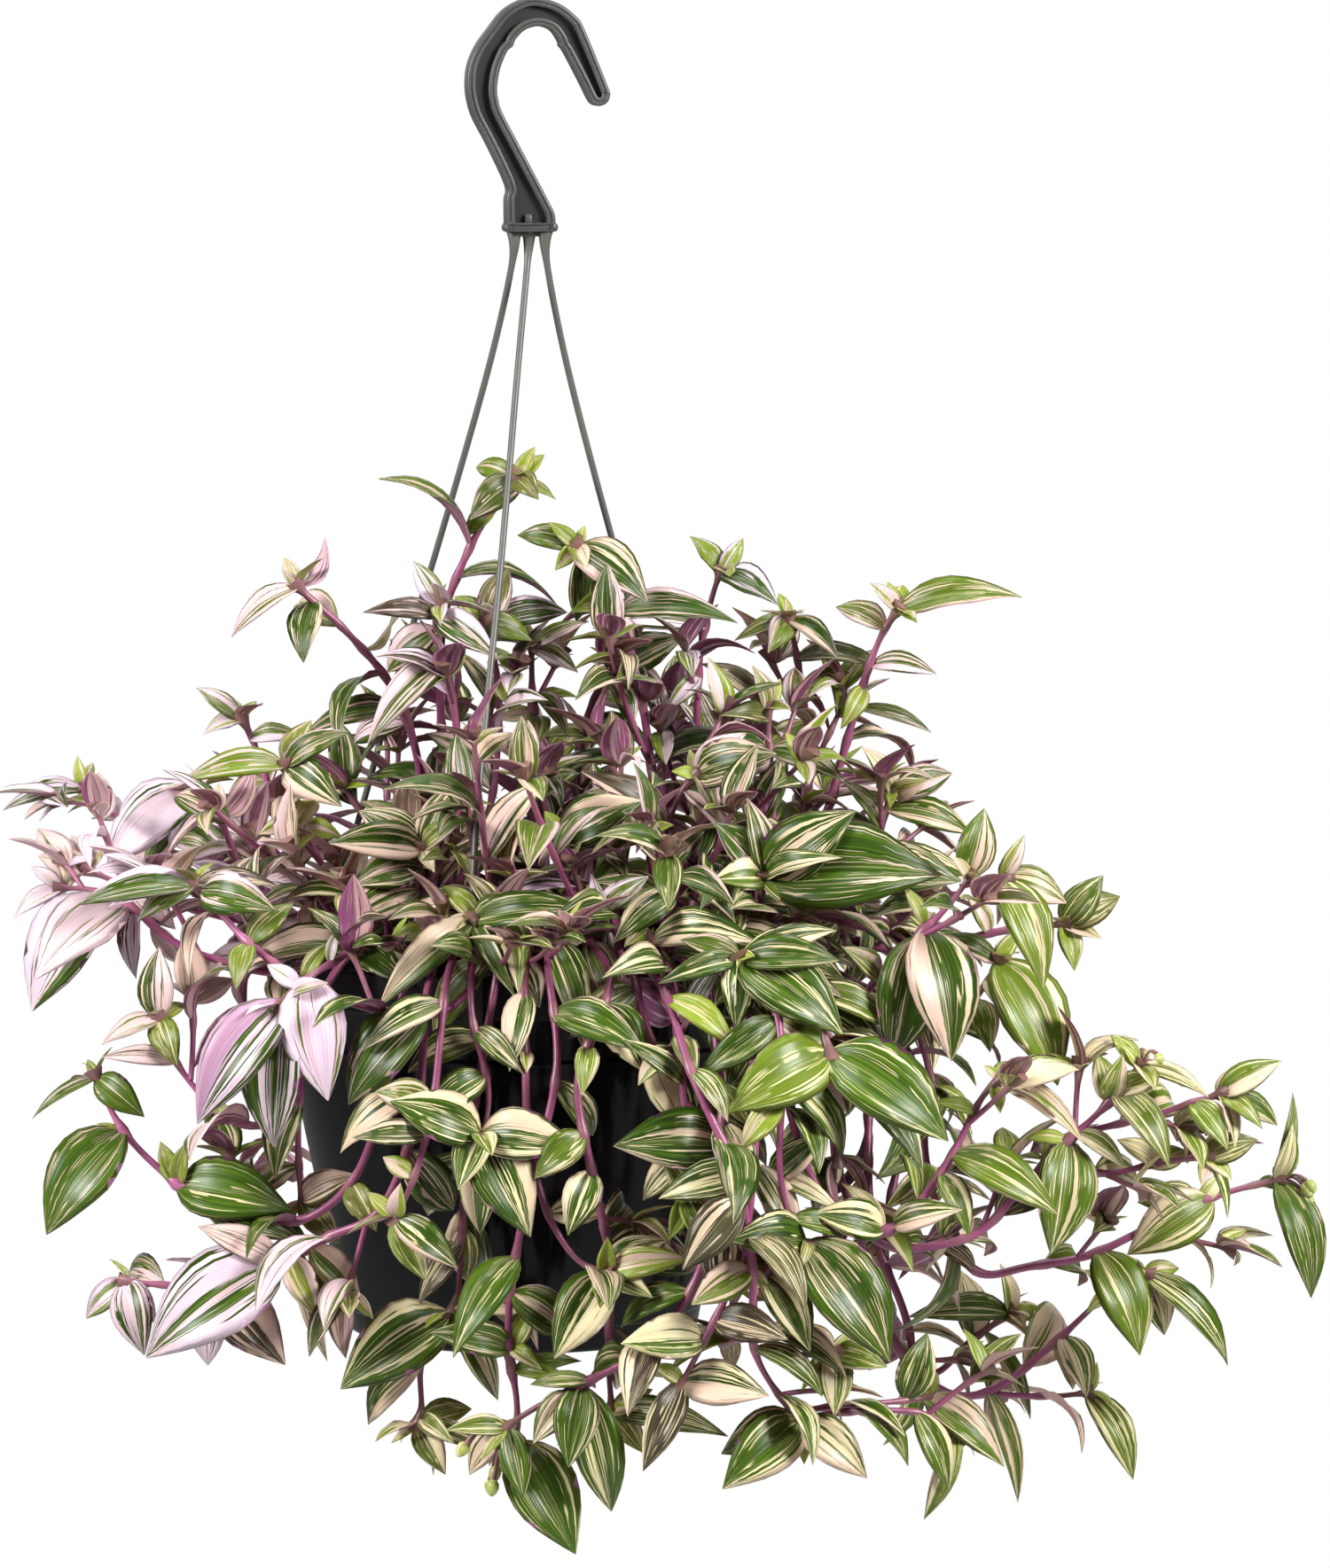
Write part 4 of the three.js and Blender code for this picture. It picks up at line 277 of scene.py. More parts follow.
      "1368 1310 1358 1342 -8 5, 1300 1318 1345 1300 6 2",
    "stem_right_far": "69 -2; 1020 1180 -40, 1050 1340 -58, 1100 1442 -60, 1158 1436 -58, 1230 1424 -56, "
      "1300 1390 -52, 1370 1356 -48, 1452 1334 -44; 1452 1336 1484 1472 -6 3, 1452 1332 1458 1268 0 3, "
      "1454 1330 1461 1236 4 7, 1364 1358 1275 1422 -6 6, 1360 1358 1286 1362 4 6, "
      "1238 1424 1290 1538 -8 6, 1360 1360 1380 1330 4 2, 1105 1440 1035 1400 -4 4; 1236 1422 -56, "
      "1280 1438 -56, 1304 1448 -56; 1304 1450 1332 1516 -6 2, 1306 1450 1390 1550 2 4, "
      "1302 1444 1334 1438 4 2, 1302 1446 1280 1425 2 5",
    "stem_right_low": "62 16; 1010 1240 14, 1000 1400 -2, 1020 1530 -20, 1060 1578 -28, 1118 1582 -30, "
      "1190 1526 -30, 1228 1490 -28, 1264 1455 -26; 1200 1520 1230 1586 -6 6, 1190 1526 1214 1578 4 3, "
      "1262 1456 1225 1440 2 2, 1262 1458 1228 1490 -6 3, 1120 1580 1152 1708 -4 7, "
      "1060 1578 1020 1560 -6 2; 1112 1582 -30, 1190 1586 -30, 1238 1580 -30; 1240 1580 1283 1682 -6 3, "
      "1234 1580 1206 1535 4 2, 1238 1578 1240 1545 2 5",
    "stem_right_mid": "52 19; 970 1200 6, 985 1380 -10, 1040 1560 -16, 1100 1518 -16, 1150 1485 -16; "
      "1150 1474 1026 1494 -8 4, 1152 1478 1160 1508 -8 2, 1156 1470 1130 1432 2 3, "
      "1158 1476 1188 1484 2 2, 1104 1512 1085 1440 4 6, 1110 1515 1166 1612 -4 7, 1130 1498 1170 1525 -8 4",
    "stem_left_top": "-46 16; 400 1050 40, 300 985 44, 200 950 44, 120 915 42, 92 886 40; "
      "96 888 3 914 -4 4, 94 886 88 852 2 3, 112 910 75 918 -4 7, 96 884 105 860 6 2, "
      "200 950 250 965 -10 3; 360 1022 42, 330 965 40, 308 905 40, 290 845 40, 270 803 40; "
      "275 806 222 775 4 3, 276 808 230 828 -6 2, 272 804 290 790 8 5, 288 838 345 832 -4 3, "
      "300 885 255 905 8 2",
    "stem_left_big": "-48 0; 360 1050 -16, 285 1015 -20, 262 960 -22, 248 922 -22, 216 880 -24; "
      "214 880 120 978 -6 6, 216 878 160 985 12 6, 218 880 242 866 -4 5, 234 905 190 958 -10 1, "
      "250 925 286 862 6 2 170, 262 960 208 975 -8 4, 246 915 215 900 8 2; 340 1045 -17, 290 1044 -30, "
      "220 1028 -42, 150 1004 -46, 90 978 -46; 92 980 50 948 2 6, 96 978 78 940 4 1, 102 985 118 955 4 2, "
      "150 1004 205 1040 -8 2, 220 1028 265 985 4 3",
    "stem_left_pink": "-48 -26; 365 1085 -62, 300 1098 -66, 245 1086 -66, 190 1062 -64, 150 1025 -62, "
      "105 1004 -58, 60 1003 -56; 112 1004 34 1143 -8 6, 142 1020 42 1120 -16 6, 60 1003 14 1038 -2 3, "
      "60 1002 34 978 4 3, 150 1028 152 1106 -4 3, 168 1042 205 1090 6 3, 245 1086 232 1120 -6 2",
    "stem_left_dark": "-7 -40; 548 1072 -84, 505 1140 -104, 430 1144 -104, 340 1108 -96, 280 1066 -88, "
      "236 1018 -80, 212 992 -78; 212 992 88 1022 -6 4, 215 993 154 1032 -10 1, 234 1004 310 1028 -12 6, "
      "278 1070 265 1118 -10 2, 282 1066 330 1020 4 2, 216 990 312 1000 6 4, 340 1108 380 1070 4 3",
    "stem_left_star": "-50 -38; 375 1100 -80, 345 1180 -90, 334 1262 -92, 336 1345 -92, 338 1372 -91; "
      "338 1372 400 1330 -4 6, 338 1370 362 1420 -8 2, 350 1160 322 1245 -6 3, 338 1375 310 1400 2 3; "
      "334 1262 -92, 300 1276 -92, 252 1268 -90, 234 1250 -88, 196 1202 -86, 174 1142 -84; "
      "172 1142 112 1182 -4 3, 176 1140 210 1135 2 2, 178 1148 198 1206 -10 6, 174 1136 178 1070 4 2, "
      "194 1196 112 1196 -4 4, 236 1250 262 1262 -4 5",
    "stem_left_magenta": "-44 -44; 400 1070 -84, 365 1095 -96, 328 1124 -102, 306 1144 -104; "
      "318 1134 220 1272 -6 1, 308 1148 300 1300 -8 1, 354 1108 344 1248 -12 6, 304 1146 292 1275 6 3, "
      "330 1126 368 1120 -10 3, 340 1114 300 1090 4 2, 370 1092 380 1050 4 3",
    "stem_left_low": "-36 -50; 455 1112 -98, 432 1240 -108, 395 1340 -104, 330 1386 -98, 268 1368 -94, "
      "215 1352 -92, 188 1334 -90, 135 1280 -86, 102 1210 -82; 138 1283 48 1399 -8 6, "
      "102 1214 33 1266 -4 7, 104 1212 160 1264 -8 2, 132 1276 105 1272 2 7, 200 1342 326 1371 -8 6, "
      "198 1338 178 1292 3 5, 200 1338 207 1293 -3 5, 220 1354 345 1402 -8 1, 232 1358 300 1422 8 3, "
      "100 1210 96 1198 4 5, 395 1338 412 1400 -8 6",
    "stem_left_low_2": "-26 -54; 485 1112 -104, 468 1260 -116, 430 1370 -116, 370 1400 -110, "
      "312 1432 -106, 225 1458 -100, 130 1452 -96; 310 1432 160 1541 -8 6, 244 1460 318 1549 -8 6, "
      "134 1452 172 1502 -4 2, 130 1456 158 1538 -8 6, 128 1454 92 1496 2 2, 314 1430 220 1390 4 3, "
      "325 1426 358 1498 -10 1, 320 1428 386 1516 2 3, 350 1412 404 1466 -4 2, 236 1460 230 1550 6 2, "
      "340 1420 366 1545 -2 7",
    "stem_left_mid": "-18 -58; 500 1110 -108, 490 1230 -120, 470 1320 -122, 440 1388 -120; "
      "440 1390 478 1450 -8 2, 442 1388 515 1438 -4 1, 440 1386 450 1340 -4 2, 438 1388 412 1350 4 5, "
      "486 1250 400 1190 -6 2, 480 1290 400 1260 -4 3, 470 1330 430 1310 4 6",
    "stem_left_up": "-48 -14; 400 1030 -34, 352 960 -36, 330 900 -36, 320 855 -36; 322 858 205 882 -6 4, "
      "320 860 385 910 -12 6, 330 900 310 940 -12 2, 322 860 395 825 -2 3, 345 940 386 945 -8 2, "
      "350 960 318 1000 4 2, 322 856 352 812 6 2",
}

# The strands' routes in the front view, and where each is clipped to the rim, in degrees
strandRoutes = {
    "left": [[580, 256, 0], [579, 296, 0], [551, 419, 8], [490, 630, 22], [455, 740, 31], [414.6, 888, 43]],
    "front": [[598, 256, 0], [596, 296, 0], [584.6, 419, -14], [565, 640, -40], [538, 914, -72]],
    "right": [[617, 256, 0], [617.5, 296, 0], [641.8, 419, 5], [690, 605, 12], [740, 780, 19]],
}
strandAzimuth = {"left": 140, "front": -100, "right": 20}


def strandLine(name):
    angle = math.radians(strandAzimuth[name])
    reach = growth["rimRadius"] + growth["clipGap"] + 0.4
    end = vec(potX + reach * math.cos(angle), reach * math.sin(angle), rimTop + 1.6)
    line = [seen(p) for p in strandRoutes[name]]
    if name == "right":
        line.append((end + line[-1]) / 2)
    return line + [end]


def tracedShoot(text):
    # The root, then route and leaves of the stem and of each side shoot
    blocks = [[[int(v) for v in row.split()] for row in block.split(",") if row.strip()]
              for block in text.split(";")]
    ways = zip(blocks[1::2], blocks[2::2])
    return blocks[0][0], [([seen(p) for p in route], found) for route, found in ways]


# Stems that the front view doesn't show, fanned out behind the pot; each pair is a least value and a range
back = {"seed": 41, "azimuth": (14, 152), "reach": (112, 34), "root": (34, 28),
        "drops": (10, -70, 40, -105, -30, -84, 24)}


def backShoots():
    found = {}
    draw = draws(back["seed"])
    (first, fan), (least, more), (inner, wider) = back["azimuth"], back["reach"], back["root"]
    for i, drop in enumerate(back["drops"]):
        azimuth = math.radians(first + (fan * (i + 0.3 + 0.4 * draw())) / len(back["drops"]))
        reach = least + more * draw()
        cos, sin = math.cos(azimuth), math.sin(azimuth)
        root = inner + wider * draw()
        places = [(78, rimTop + 16), (96, rimTop + 18 + max(drop, 0) * 0.5),
                  ((96 + reach) / 2 + 6, rimTop + 12 + drop * 0.55),
                  (reach + (-6 if drop < -50 else 8), rimTop + drop)]
        points = [vec(potX + r * cos, r * sin, z) for r, z in places]
        found[f"stem_back_{i + 1}"] = (root * cos, root * sin), [(points, [])]
    return found


def sampled(points):
    # A curve through the points, cut to even steps
    samples = [points[0]]
    for i in range(len(points) - 1):
        a, b, c, d = points[max(i - 1, 0)], points[i], points[i + 1], points[min(i + 2, len(points) - 1)]
        count = max(1, math.ceil(norm(c - b) / growth["sampleStep"]))
        samples += [curvePoint(a, b, c, d, k / count) for k in range(1, count + 1)]
    return samples


def tangentAt(samples, i):
    return unit(samples[min(i + 1, len(samples) - 1)] - samples[max(i - 1, 0)])


def newLine(name, samples, radius, fixed=0, leaves=(), parent=None, at=0, **more):
    return {"name": name, "samples": np.array(samples), "radius": radius, "fixed": fixed, "leaves": leaves,
            "from": parent, "at": at, **more}


def growLines():
    # Each stem stands in the soil, and one that leaves the pot low first climbs over the rim
    lines = []
    shoots = {name: tracedShoot(text) for name, text in traced.items()}
    for name, (root, ways) in {**shoots, **backShoots()}.items():
        foot = vec(potX + root[0], root[1], soilTop - growth["rootDepth"])
        collar = vec(foot[0], foot[1], soilTop + growth["collarHeight"])
        route, found = ways[0]
        points = [foot, collar]
        out = vec(route[0][0] - potX, route[0][1], 0)
        if norm(out) > insidePot and route[0][2] < rimTop + 30:
            out = unit(out) * (insidePot + 1)
            points.append(vec(potX + out[0], out[1], max(route[0][2], rimTop) + 9))
        points += route
        rooted = sampled([foot, collar])
        main = newLine(name, rooted[:-1] + sampled(points[1:]), growth["stemRadius"], len(rooted), found)
        lines.append(main)
        for route, found in ways[1:]:
            at = int(np.argmin(norm(main["samples"] - route[0], axis=1)))
            lines.append(newLine(name, sampled(route), growth["shootRadius"], 0, found, main, at))
    return lines


def fixedStrands():
    found = []
    for name in strandRoutes:
        points = strandLine(name)
        samples = []
        for a, b in zip(points, points[1:]):
            count = math.ceil(norm(b - a) / growth["sampleStep"])
            samples += [a + (b - a) * (k / count) for k in range(count)]
        found.append(newLine("hanger", samples, growth["strandRadius"] + 0.4, len(samples)))
    return found


# The pot's wall as radius, height and half thickness, and the space kept over the soil inside it
wallLine = [(growth["footRadius"], potFoot + 0.8, 0.9), (growth["bodyTopRadius"] - 0.5, bandFoot, 0.9),
            (growth["rimRadius"] - 1, bandFoot + 0.5, 1.2), (growth["rimRadius"] - 0.9, rimTop - 0.8, 1.2)]
insidePot, overSoil = 80, 4.5


def pushOffPot(points, radii, push):
    r = np.hypot(points[:, 0] - potX, points[:, 1])
    for (ar, az, thick), (br, bz, _) in zip(wallLine, wallLine[1:]):
        length = (br - ar) ** 2 + (bz - az) ** 2
        t = np.clip(((r - ar) * (br - ar) + (points[:, 2] - az) * (bz - az)) / length, 0, 1)
        dr = r - (ar + (br - ar) * t)
        dz = points[:, 2] - (az + (bz - az) * t)
        gap = np.hypot(dr, dz)
        need = radii + thick + growth["clearance"]
        out = np.where((gap < need) & (gap > 1e-6), (need - gap) / np.maximum(gap, 1e-9), 0)
        push[:, 0] += dr * out * (points[:, 0] - potX) / r
        push[:, 1] += dr * out * points[:, 1] / r
        push[:, 2] += dz * out
    floor = soilTop + radii + overSoil
    low = (r < insidePot) & (points[:, 2] < floor) & (points[:, 2] > potFoot)
    push[:, 2] += np.where(low, floor - points[:, 2], 0)


# How far apart samples are compared, in mm and how often; pairs that cross part sideways; the last rounds
# aren't smoothed, and no sample moves more than a step in a round
parting = {"near": 16, "every": 10, "spare": 0.7, "crossing": 0.35, "sideways": 1.5, "rough": 12, "step": 3}


def relax(lines, others, rounds):
    # All samples move at once: pairs that are too close part, and each line's moves are smoothed
    together = lines + others
    starts = np.cumsum([0] + [len(line["samples"]) for line in together])
    place = np.concatenate([line["samples"] for line in together])
    count = starts[len(lines)]
    index = np.arange(len(place))
    before, after = np.maximum(index - 1, 0), np.minimum(index + 1, len(place) - 1)
    before[starts[:-1]] = starts[:-1]
    after[starts[1:] - 1] = starts[1:] - 1
    held = np.concatenate([np.arange(len(line["samples"])) < line["fixed"] for line in together])
    radii = np.concatenate([np.full(len(line["samples"]), line["radius"]) for line in together])
    names = {name: k for k, name in enumerate(dict.fromkeys(line["name"] for line in together))}
    owner = np.concatenate([np.full(len(line["samples"]), names[line["name"]]) for line in together])
    joins = [(starts[k], starts[[x is line["from"] for x in together].index(True)] + line["at"])
             for k, line in enumerate(lines) if line["from"]]
    for turn in range(rounds):
        if turn % parting["every"] == 0:
            close = np.abs(place[:, None, 0] - place[None, :, 0]) <= parting["near"]
            close &= owner[:, None] != owner[None, :]
            first, second = np.nonzero(np.triu(close, 1))
            near = norm(place[first] - place[second], axis=1) < parting["near"]
            first, second = first[near], second[near]
        apart = place[first] - place[second]
        gap = norm(apart, axis=1)
        need = radii[first] + radii[second] + growth["clearance"] + parting["spare"]
        tight = (gap < need) & (gap > 1e-6)
        a, b, gap, need = first[tight], second[tight], gap[tight], need[tight]
        push = apart[tight] / gap[:, None]
        along = place[after] - place[before]
        along /= norm(along, axis=1)[:, None]
        cross = np.cross(along[a], along[b])
        size = norm(cross, axis=1)
        cross /= np.maximum(size, 1e-12)[:, None]
        sign = np.where(np.sum(push * cross, axis=1) < 0, -parting["sideways"], parting["sideways"])
        mixed = push + cross * sign[:, None]
        mixed /= norm(mixed, axis=1)[:, None]
        crossing = size > parting["crossing"]
        push = np.where(crossing[:, None], mixed, push) * ((need - gap) * 0.5)[:, None]
        pushes = np.zeros_like(place)
        both = np.stack([a, b], 1).ravel()
        shares = np.stack([push * np.where(held[b], 2, 1)[:, None],
                           push * np.where(held[a], -2, -1)[:, None]], 1).reshape(-1, 3)
        np.add.at(pushes, both, shares)
        pushOffPot(place[:count], radii[:count], pushes[:count])
        if turn < rounds - parting["rough"]:
            for _ in range(2):
                pushes = pushes * 0.5 + pushes[before] * 0.25 + pushes[after] * 0.25
        size = norm(pushes, axis=1)
        pushes *= np.minimum(1, parting["step"] / np.maximum(size, 1e-12))[:, None]
        pushes[held] = 0
        pushes[count:] = 0
        place += pushes
        for own, main in joins:
            place[own] = place[main]
    for k, line in enumerate(together):
        line["samples"] = place[starts[k]:starts[k + 1]].copy()


def smooth(line):
    samples = line["samples"]
    lowest = max(line["fixed"], 1)
    moved = samples.copy()
    moved[lowest:-1] = samples[lowest:-1] * 0.5 + samples[lowest - 1:-2] * 0.25 + samples[lowest + 1:] * 0.25
    line["samples"] = moved


def nearestOn(a, b, point):
    d = b - a
    return a + d * min(max(np.dot(point - a, d) / np.dot(d, d), 0), 1)


def simplified(points, tolerance):
    if len(points) < 3:
        return list(points)
    offs = [norm(nearestOn(points[0], points[-1], p) - p) for p in points[1:-1]]
    at = int(np.argmax(offs)) + 1
    if offs[at - 1] <= tolerance:
        return [points[0], points[-1]]
    return simplified(points[:at + 1], tolerance)[:-1] + simplified(points[at:], tolerance)


def axisPoint(line, at):
    sample = line["samples"][min(at, len(line["samples"]) - 2)]
    found = [nearestOn(a, b, sample) for a, b in zip(line["points"], line["points"][1:])]
    return min(found, key=lambda p: norm(p - sample))


def growPlant():
    lines = growLines()
    relax(lines, fixedStrands(), growth["rounds"])
    for line in lines:
        smooth(line)
        smooth(line)
    for line in lines:
        free = max(line["fixed"] - 1, 0)
        kept = list(line["samples"][:min(free, 1)])
        line["points"] = kept + simplified(line["samples"][free:], growth["tolerance"])
    for line in lines:
        if line["from"]:
            line["points"][0] = axisPoint(line["from"], line["at"])
    return lines


# Leaf forms: width to length, rise of the arch, fold of the halves, twist to the tip in degrees
forms = [(0.46, 0.14, 0.32, 8), (0.44, 0.17, 0.38, -10), (0.52, 0.14, 0.27, 6), (0.38, 0.18, 0.38, 14),
         (0.29, 0.20, 0.46, -16), (0.46, 0.06, 0.52, 0), (0.56, 0.15, 0.25, -5), (0.20, 0.15, 0.60, 20)]
# Where a leaf may turn to: yaw, pitch and size
turns = [
    (0, 0, 1), (10, 0, 1), (-10, 0, 1), (0, 10, 1), (0, -10, 1), (18, 8, 1), (-18, 8, 1), (18, -10, 0.94),
    (-18, -10, 0.94), (0, 20, 0.94), (0, -22, 0.94), (30, 0, 0.9), (-30, 0, 0.9), (28, 18, 0.86),
    (-28, 18, 0.86), (42, -10, 0.8), (-42, -10, 0.8), (0, 36, 0.8), (0, 0, 0.72), (50, 20, 0.74),
    (-50, 20, 0.74), (20, 30, 0.64), (-20, 30, 0.64), (0, 0, 0.55), (60, 0, 0.6), (-60, 0, 0.6),
    (0, 50, 0.6), (0, -40, 0.6),
]


def newLeaf(line, at, base, chord, normal, form, isTraced=False):
    return {"line": line, "at": at, "base": base, "chord": chord, "normal": normal, "form": form, "size": 1,
            "traced": isTraced}


def turnedLeaf(leaf, turn):
    yaw, pitch, size = turn
    along = unit(leaf["chord"])
    face = squareTo(leaf["normal"], along)
    chord = turnAbout(leaf["chord"], face, yaw)
    across = unit(np.cross(face, chord))
    chord = turnAbout(chord, across, pitch)
    return {**leaf, "chord": chord, "normal": turnAbout(face, across, pitch), "size": size}


def outwardAt(point):
    return unit(vec(point[0] - potX, point[1], 0))


def tracedLeaves(line):
    found = []
    for x0, y0, x1, y1, depth, form, *roll in line["leaves"]:
        x, y = inView(line["samples"])
        off = np.hypot(x - x0, y - y0)
        off[:line["fixed"]] = np.inf
        at = int(np.argmin(off))
        base = axisPoint(line, at)
        chord = seen([x1, y1, base[1] + depth]) - base
        normal = up * 0.5 + outwardAt(base) * 0.3
        normal[1] -= 0.75
        along = unit(chord)
        normal = turnAbout(squareTo(normal, along), along, roll[0] if roll else 0)
        found.append(newLeaf(line, at, base, chord, normal, form, True))
    return found


def sideways(along, phase):
    reference = up if abs(along[2]) < 0.8 else vec(math.cos(phase), math.sin(phase), 0)
    return unit(np.cross(reference, along))


# Leaves by rule, in mm and degrees: the first on a shoot or above the soil, how far apart two must be,
# and least values with their ranges
rule = {"first": 15, "overSoil": (22, 14), "apart": 9, "turn": 0.9, "opening": (50, 22), "droop": (0.12, 0.3),
        "length": (26, 14), "youngest": 0.55, "youngReach": 70, "forms": (0, 1, 2, 3, 6, 0, 1, 3),
        "spacing": (0.85, 0.3), "tipLength": (20, 6)}


def drawn(name, value):
    least, more = rule[name]
    return least + more * value


def ruledLeaves(line, taken, draw, spacing, tips=True):
    samples = line["samples"]
    lengths = runAlong(samples)
    total = lengths[-1]
    leaves = []
    side = -1 if draw() < 0.5 else 1
    s = rule["first"] if line["from"] else growth["rootDepth"] + drawn("overSoil", draw())
    phase = 6.283 * draw()
    while s < total - 1:
        at = int(np.argmax(lengths >= s))
        jitter = [draw(), draw(), draw(), draw(), draw()]
        if not any(abs(lengths[leaf["at"]] - s) < rule["apart"] for leaf in taken):
            along = tangentAt(samples, at)
            turn = math.degrees((jitter[0] - 0.5) * rule["turn"])
            across = turnAbout(sideways(along, phase), along, turn)
            opening = math.radians(drawn("opening", jitter[1]))
            chord = along * math.cos(opening) + across * side * math.sin(opening)
            chord[2] -= drawn("droop", jitter[2])
            young = min(1, rule["youngest"] + (total - s) / rule["youngReach"])
            chord = unit(chord) * drawn("length", jitter[3]) * young
            normal = up * 0.7 + along * 0.3 + outwardAt(samples[at]) * 0.6
            form = rule["forms"][int(jitter[4] * len(rule["forms"]))]
            leaves.append(newLeaf(line, at, axisPoint(line, at), chord, normal, form))
        side = -side
        s += spacing * drawn("spacing", draw())
    if tips and not any(total - lengths[leaf["at"]] < rule["apart"] for leaf in taken):
        at = len(samples) - 1
        along = tangentAt(samples, at)
        for turn in (-1, 1):
            chord = unit(along + sideways(along, phase) * turn * 0.55) * drawn("tipLength", draw())
            leaves.append(newLeaf(line, at, axisPoint(line, at), chord, up + along * 0.3, 5))
    return leaves


lines = growPlant()
print("stems", len(lines), "lines")

# Which turn each packed blade took shows in its node: the blade's tip is one of its corners
def pointTree(points):
    tree = KDTree(len(points))
    for k, point in enumerate(points):
        tree.insert(Vector(point), k)
    tree.balance()
    return tree


def packedTurn(leaf, tree):
    for turn in turns:
        turned = turnedLeaf(leaf, turn)
        if tree.find(Vector((turned["base"] + turned["chord"] * turned["size"]) * mm))[2] < 5e-5:
            return turned
    return None


def bladeFrame(leaf):
    along = unit(leaf["chord"])
    face = squareTo(leaf["normal"], along)
    length = norm(leaf["chord"])
    return along, np.cross(face, along), face, length * leaf["size"], length * min(leaf["size"] * 1.15, 1)


# A rough blade from clear of the stem to the tip, to test where a leaf has room
roughRows = [(0.14, 0.66), (0.3, 0.96), (0.5, 0.96), (0.75, 0.6), (0.96, 0.12)]
roughFaces = [(k * 3 + j, k * 3 + j + 1, k * 3 + j + 4, k * 3 + j + 3) for k in range(4) for j in (0, 1)]


def roughBlade(leaf):
    along, across, face, length, wide = bladeFrame(leaf)
    ratio, arch, fold, twist = forms[leaf["form"]]
    points = []
    for t, width in roughRows:
        a = math.radians(twist * t)
        side = across * math.cos(a) + face * math.sin(a)
        lift = face * math.cos(a) - across * math.sin(a)
        mid = leaf["base"] + along * (t * length) + face * (4 * arch * length * t * (1 - t))
        w = wide * ratio / 2 * width
        rise = lift * (w * fold * (1 - 0.5 * t))
        points += [mid + side * w + rise, mid, mid - side * w + rise]
    return np.array(points)


mostThings = 8000


class Room:
    # What stands already: one tree of faces for each leaf, stem and made piece, with its box
    def __init__(self):
        self.low, self.high = np.full((2, mostThings, 3), 1e9)
        self.trees, self.owners = [], []

    def add(self, points, faces, owner):
        k = len(self.trees)
        self.low[k], self.high[k] = points.min(0), points.max(0)
        self.trees.append(BVHTree.FromPolygons(points.tolist(), faces))
        self.owners.append(owner)

    def takes(self, points, faces, owner):
        low, high = points.min(0), points.max(0)
        meets = np.all((self.low <= high) & (self.high >= low), axis=1)
        tree = None
        for k in np.nonzero(meets)[0]:
            if self.owners[k] != owner:
                tree = tree or BVHTree.FromPolygons(points.tolist(), faces)
                if tree.overlap(self.trees[k]):
                    return False
        return True


def meshFaces(node):
    mesh = frame["nodes"][node].data
    points = np.empty(len(mesh.vertices) * 3, np.float32)
    mesh.vertices.foreach_get("co", points)
    return points.reshape(-1, 3) / mm, [tuple(p.vertices) for p in mesh.polygons]


def stemFaces(samples, radius):
    points, faces = [], []
    for i, point in enumerate(samples):
        along = tangentAt(samples, i)
        across = sideways(along, 0)
        lift = np.cross(along, across)
        points += [point + (across * math.cos(a) + lift * math.sin(a)) * radius for a in (0, 2.1, 4.2)]
        if i:
            row = 3 * i
            faces += [(row - 3 + k, row - 3 + (k + 1) % 3, row + (k + 1) % 3, row + k) for k in range(3)]
    return np.array(points), faces


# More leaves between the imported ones, each where it has room. Added leaves have slimmer forms, and in
# the crown three of five hang down.
filling = {"internode": 19, "smallest": 6, "seed": 700, "turns": 24, "stemGirth": 1.6,
           "slimmer": {2: 3, 6: 1, 0: 3}, "droopFrom": -300, "droop": 0.5, "droopForm": 4, "longer": 1.15}


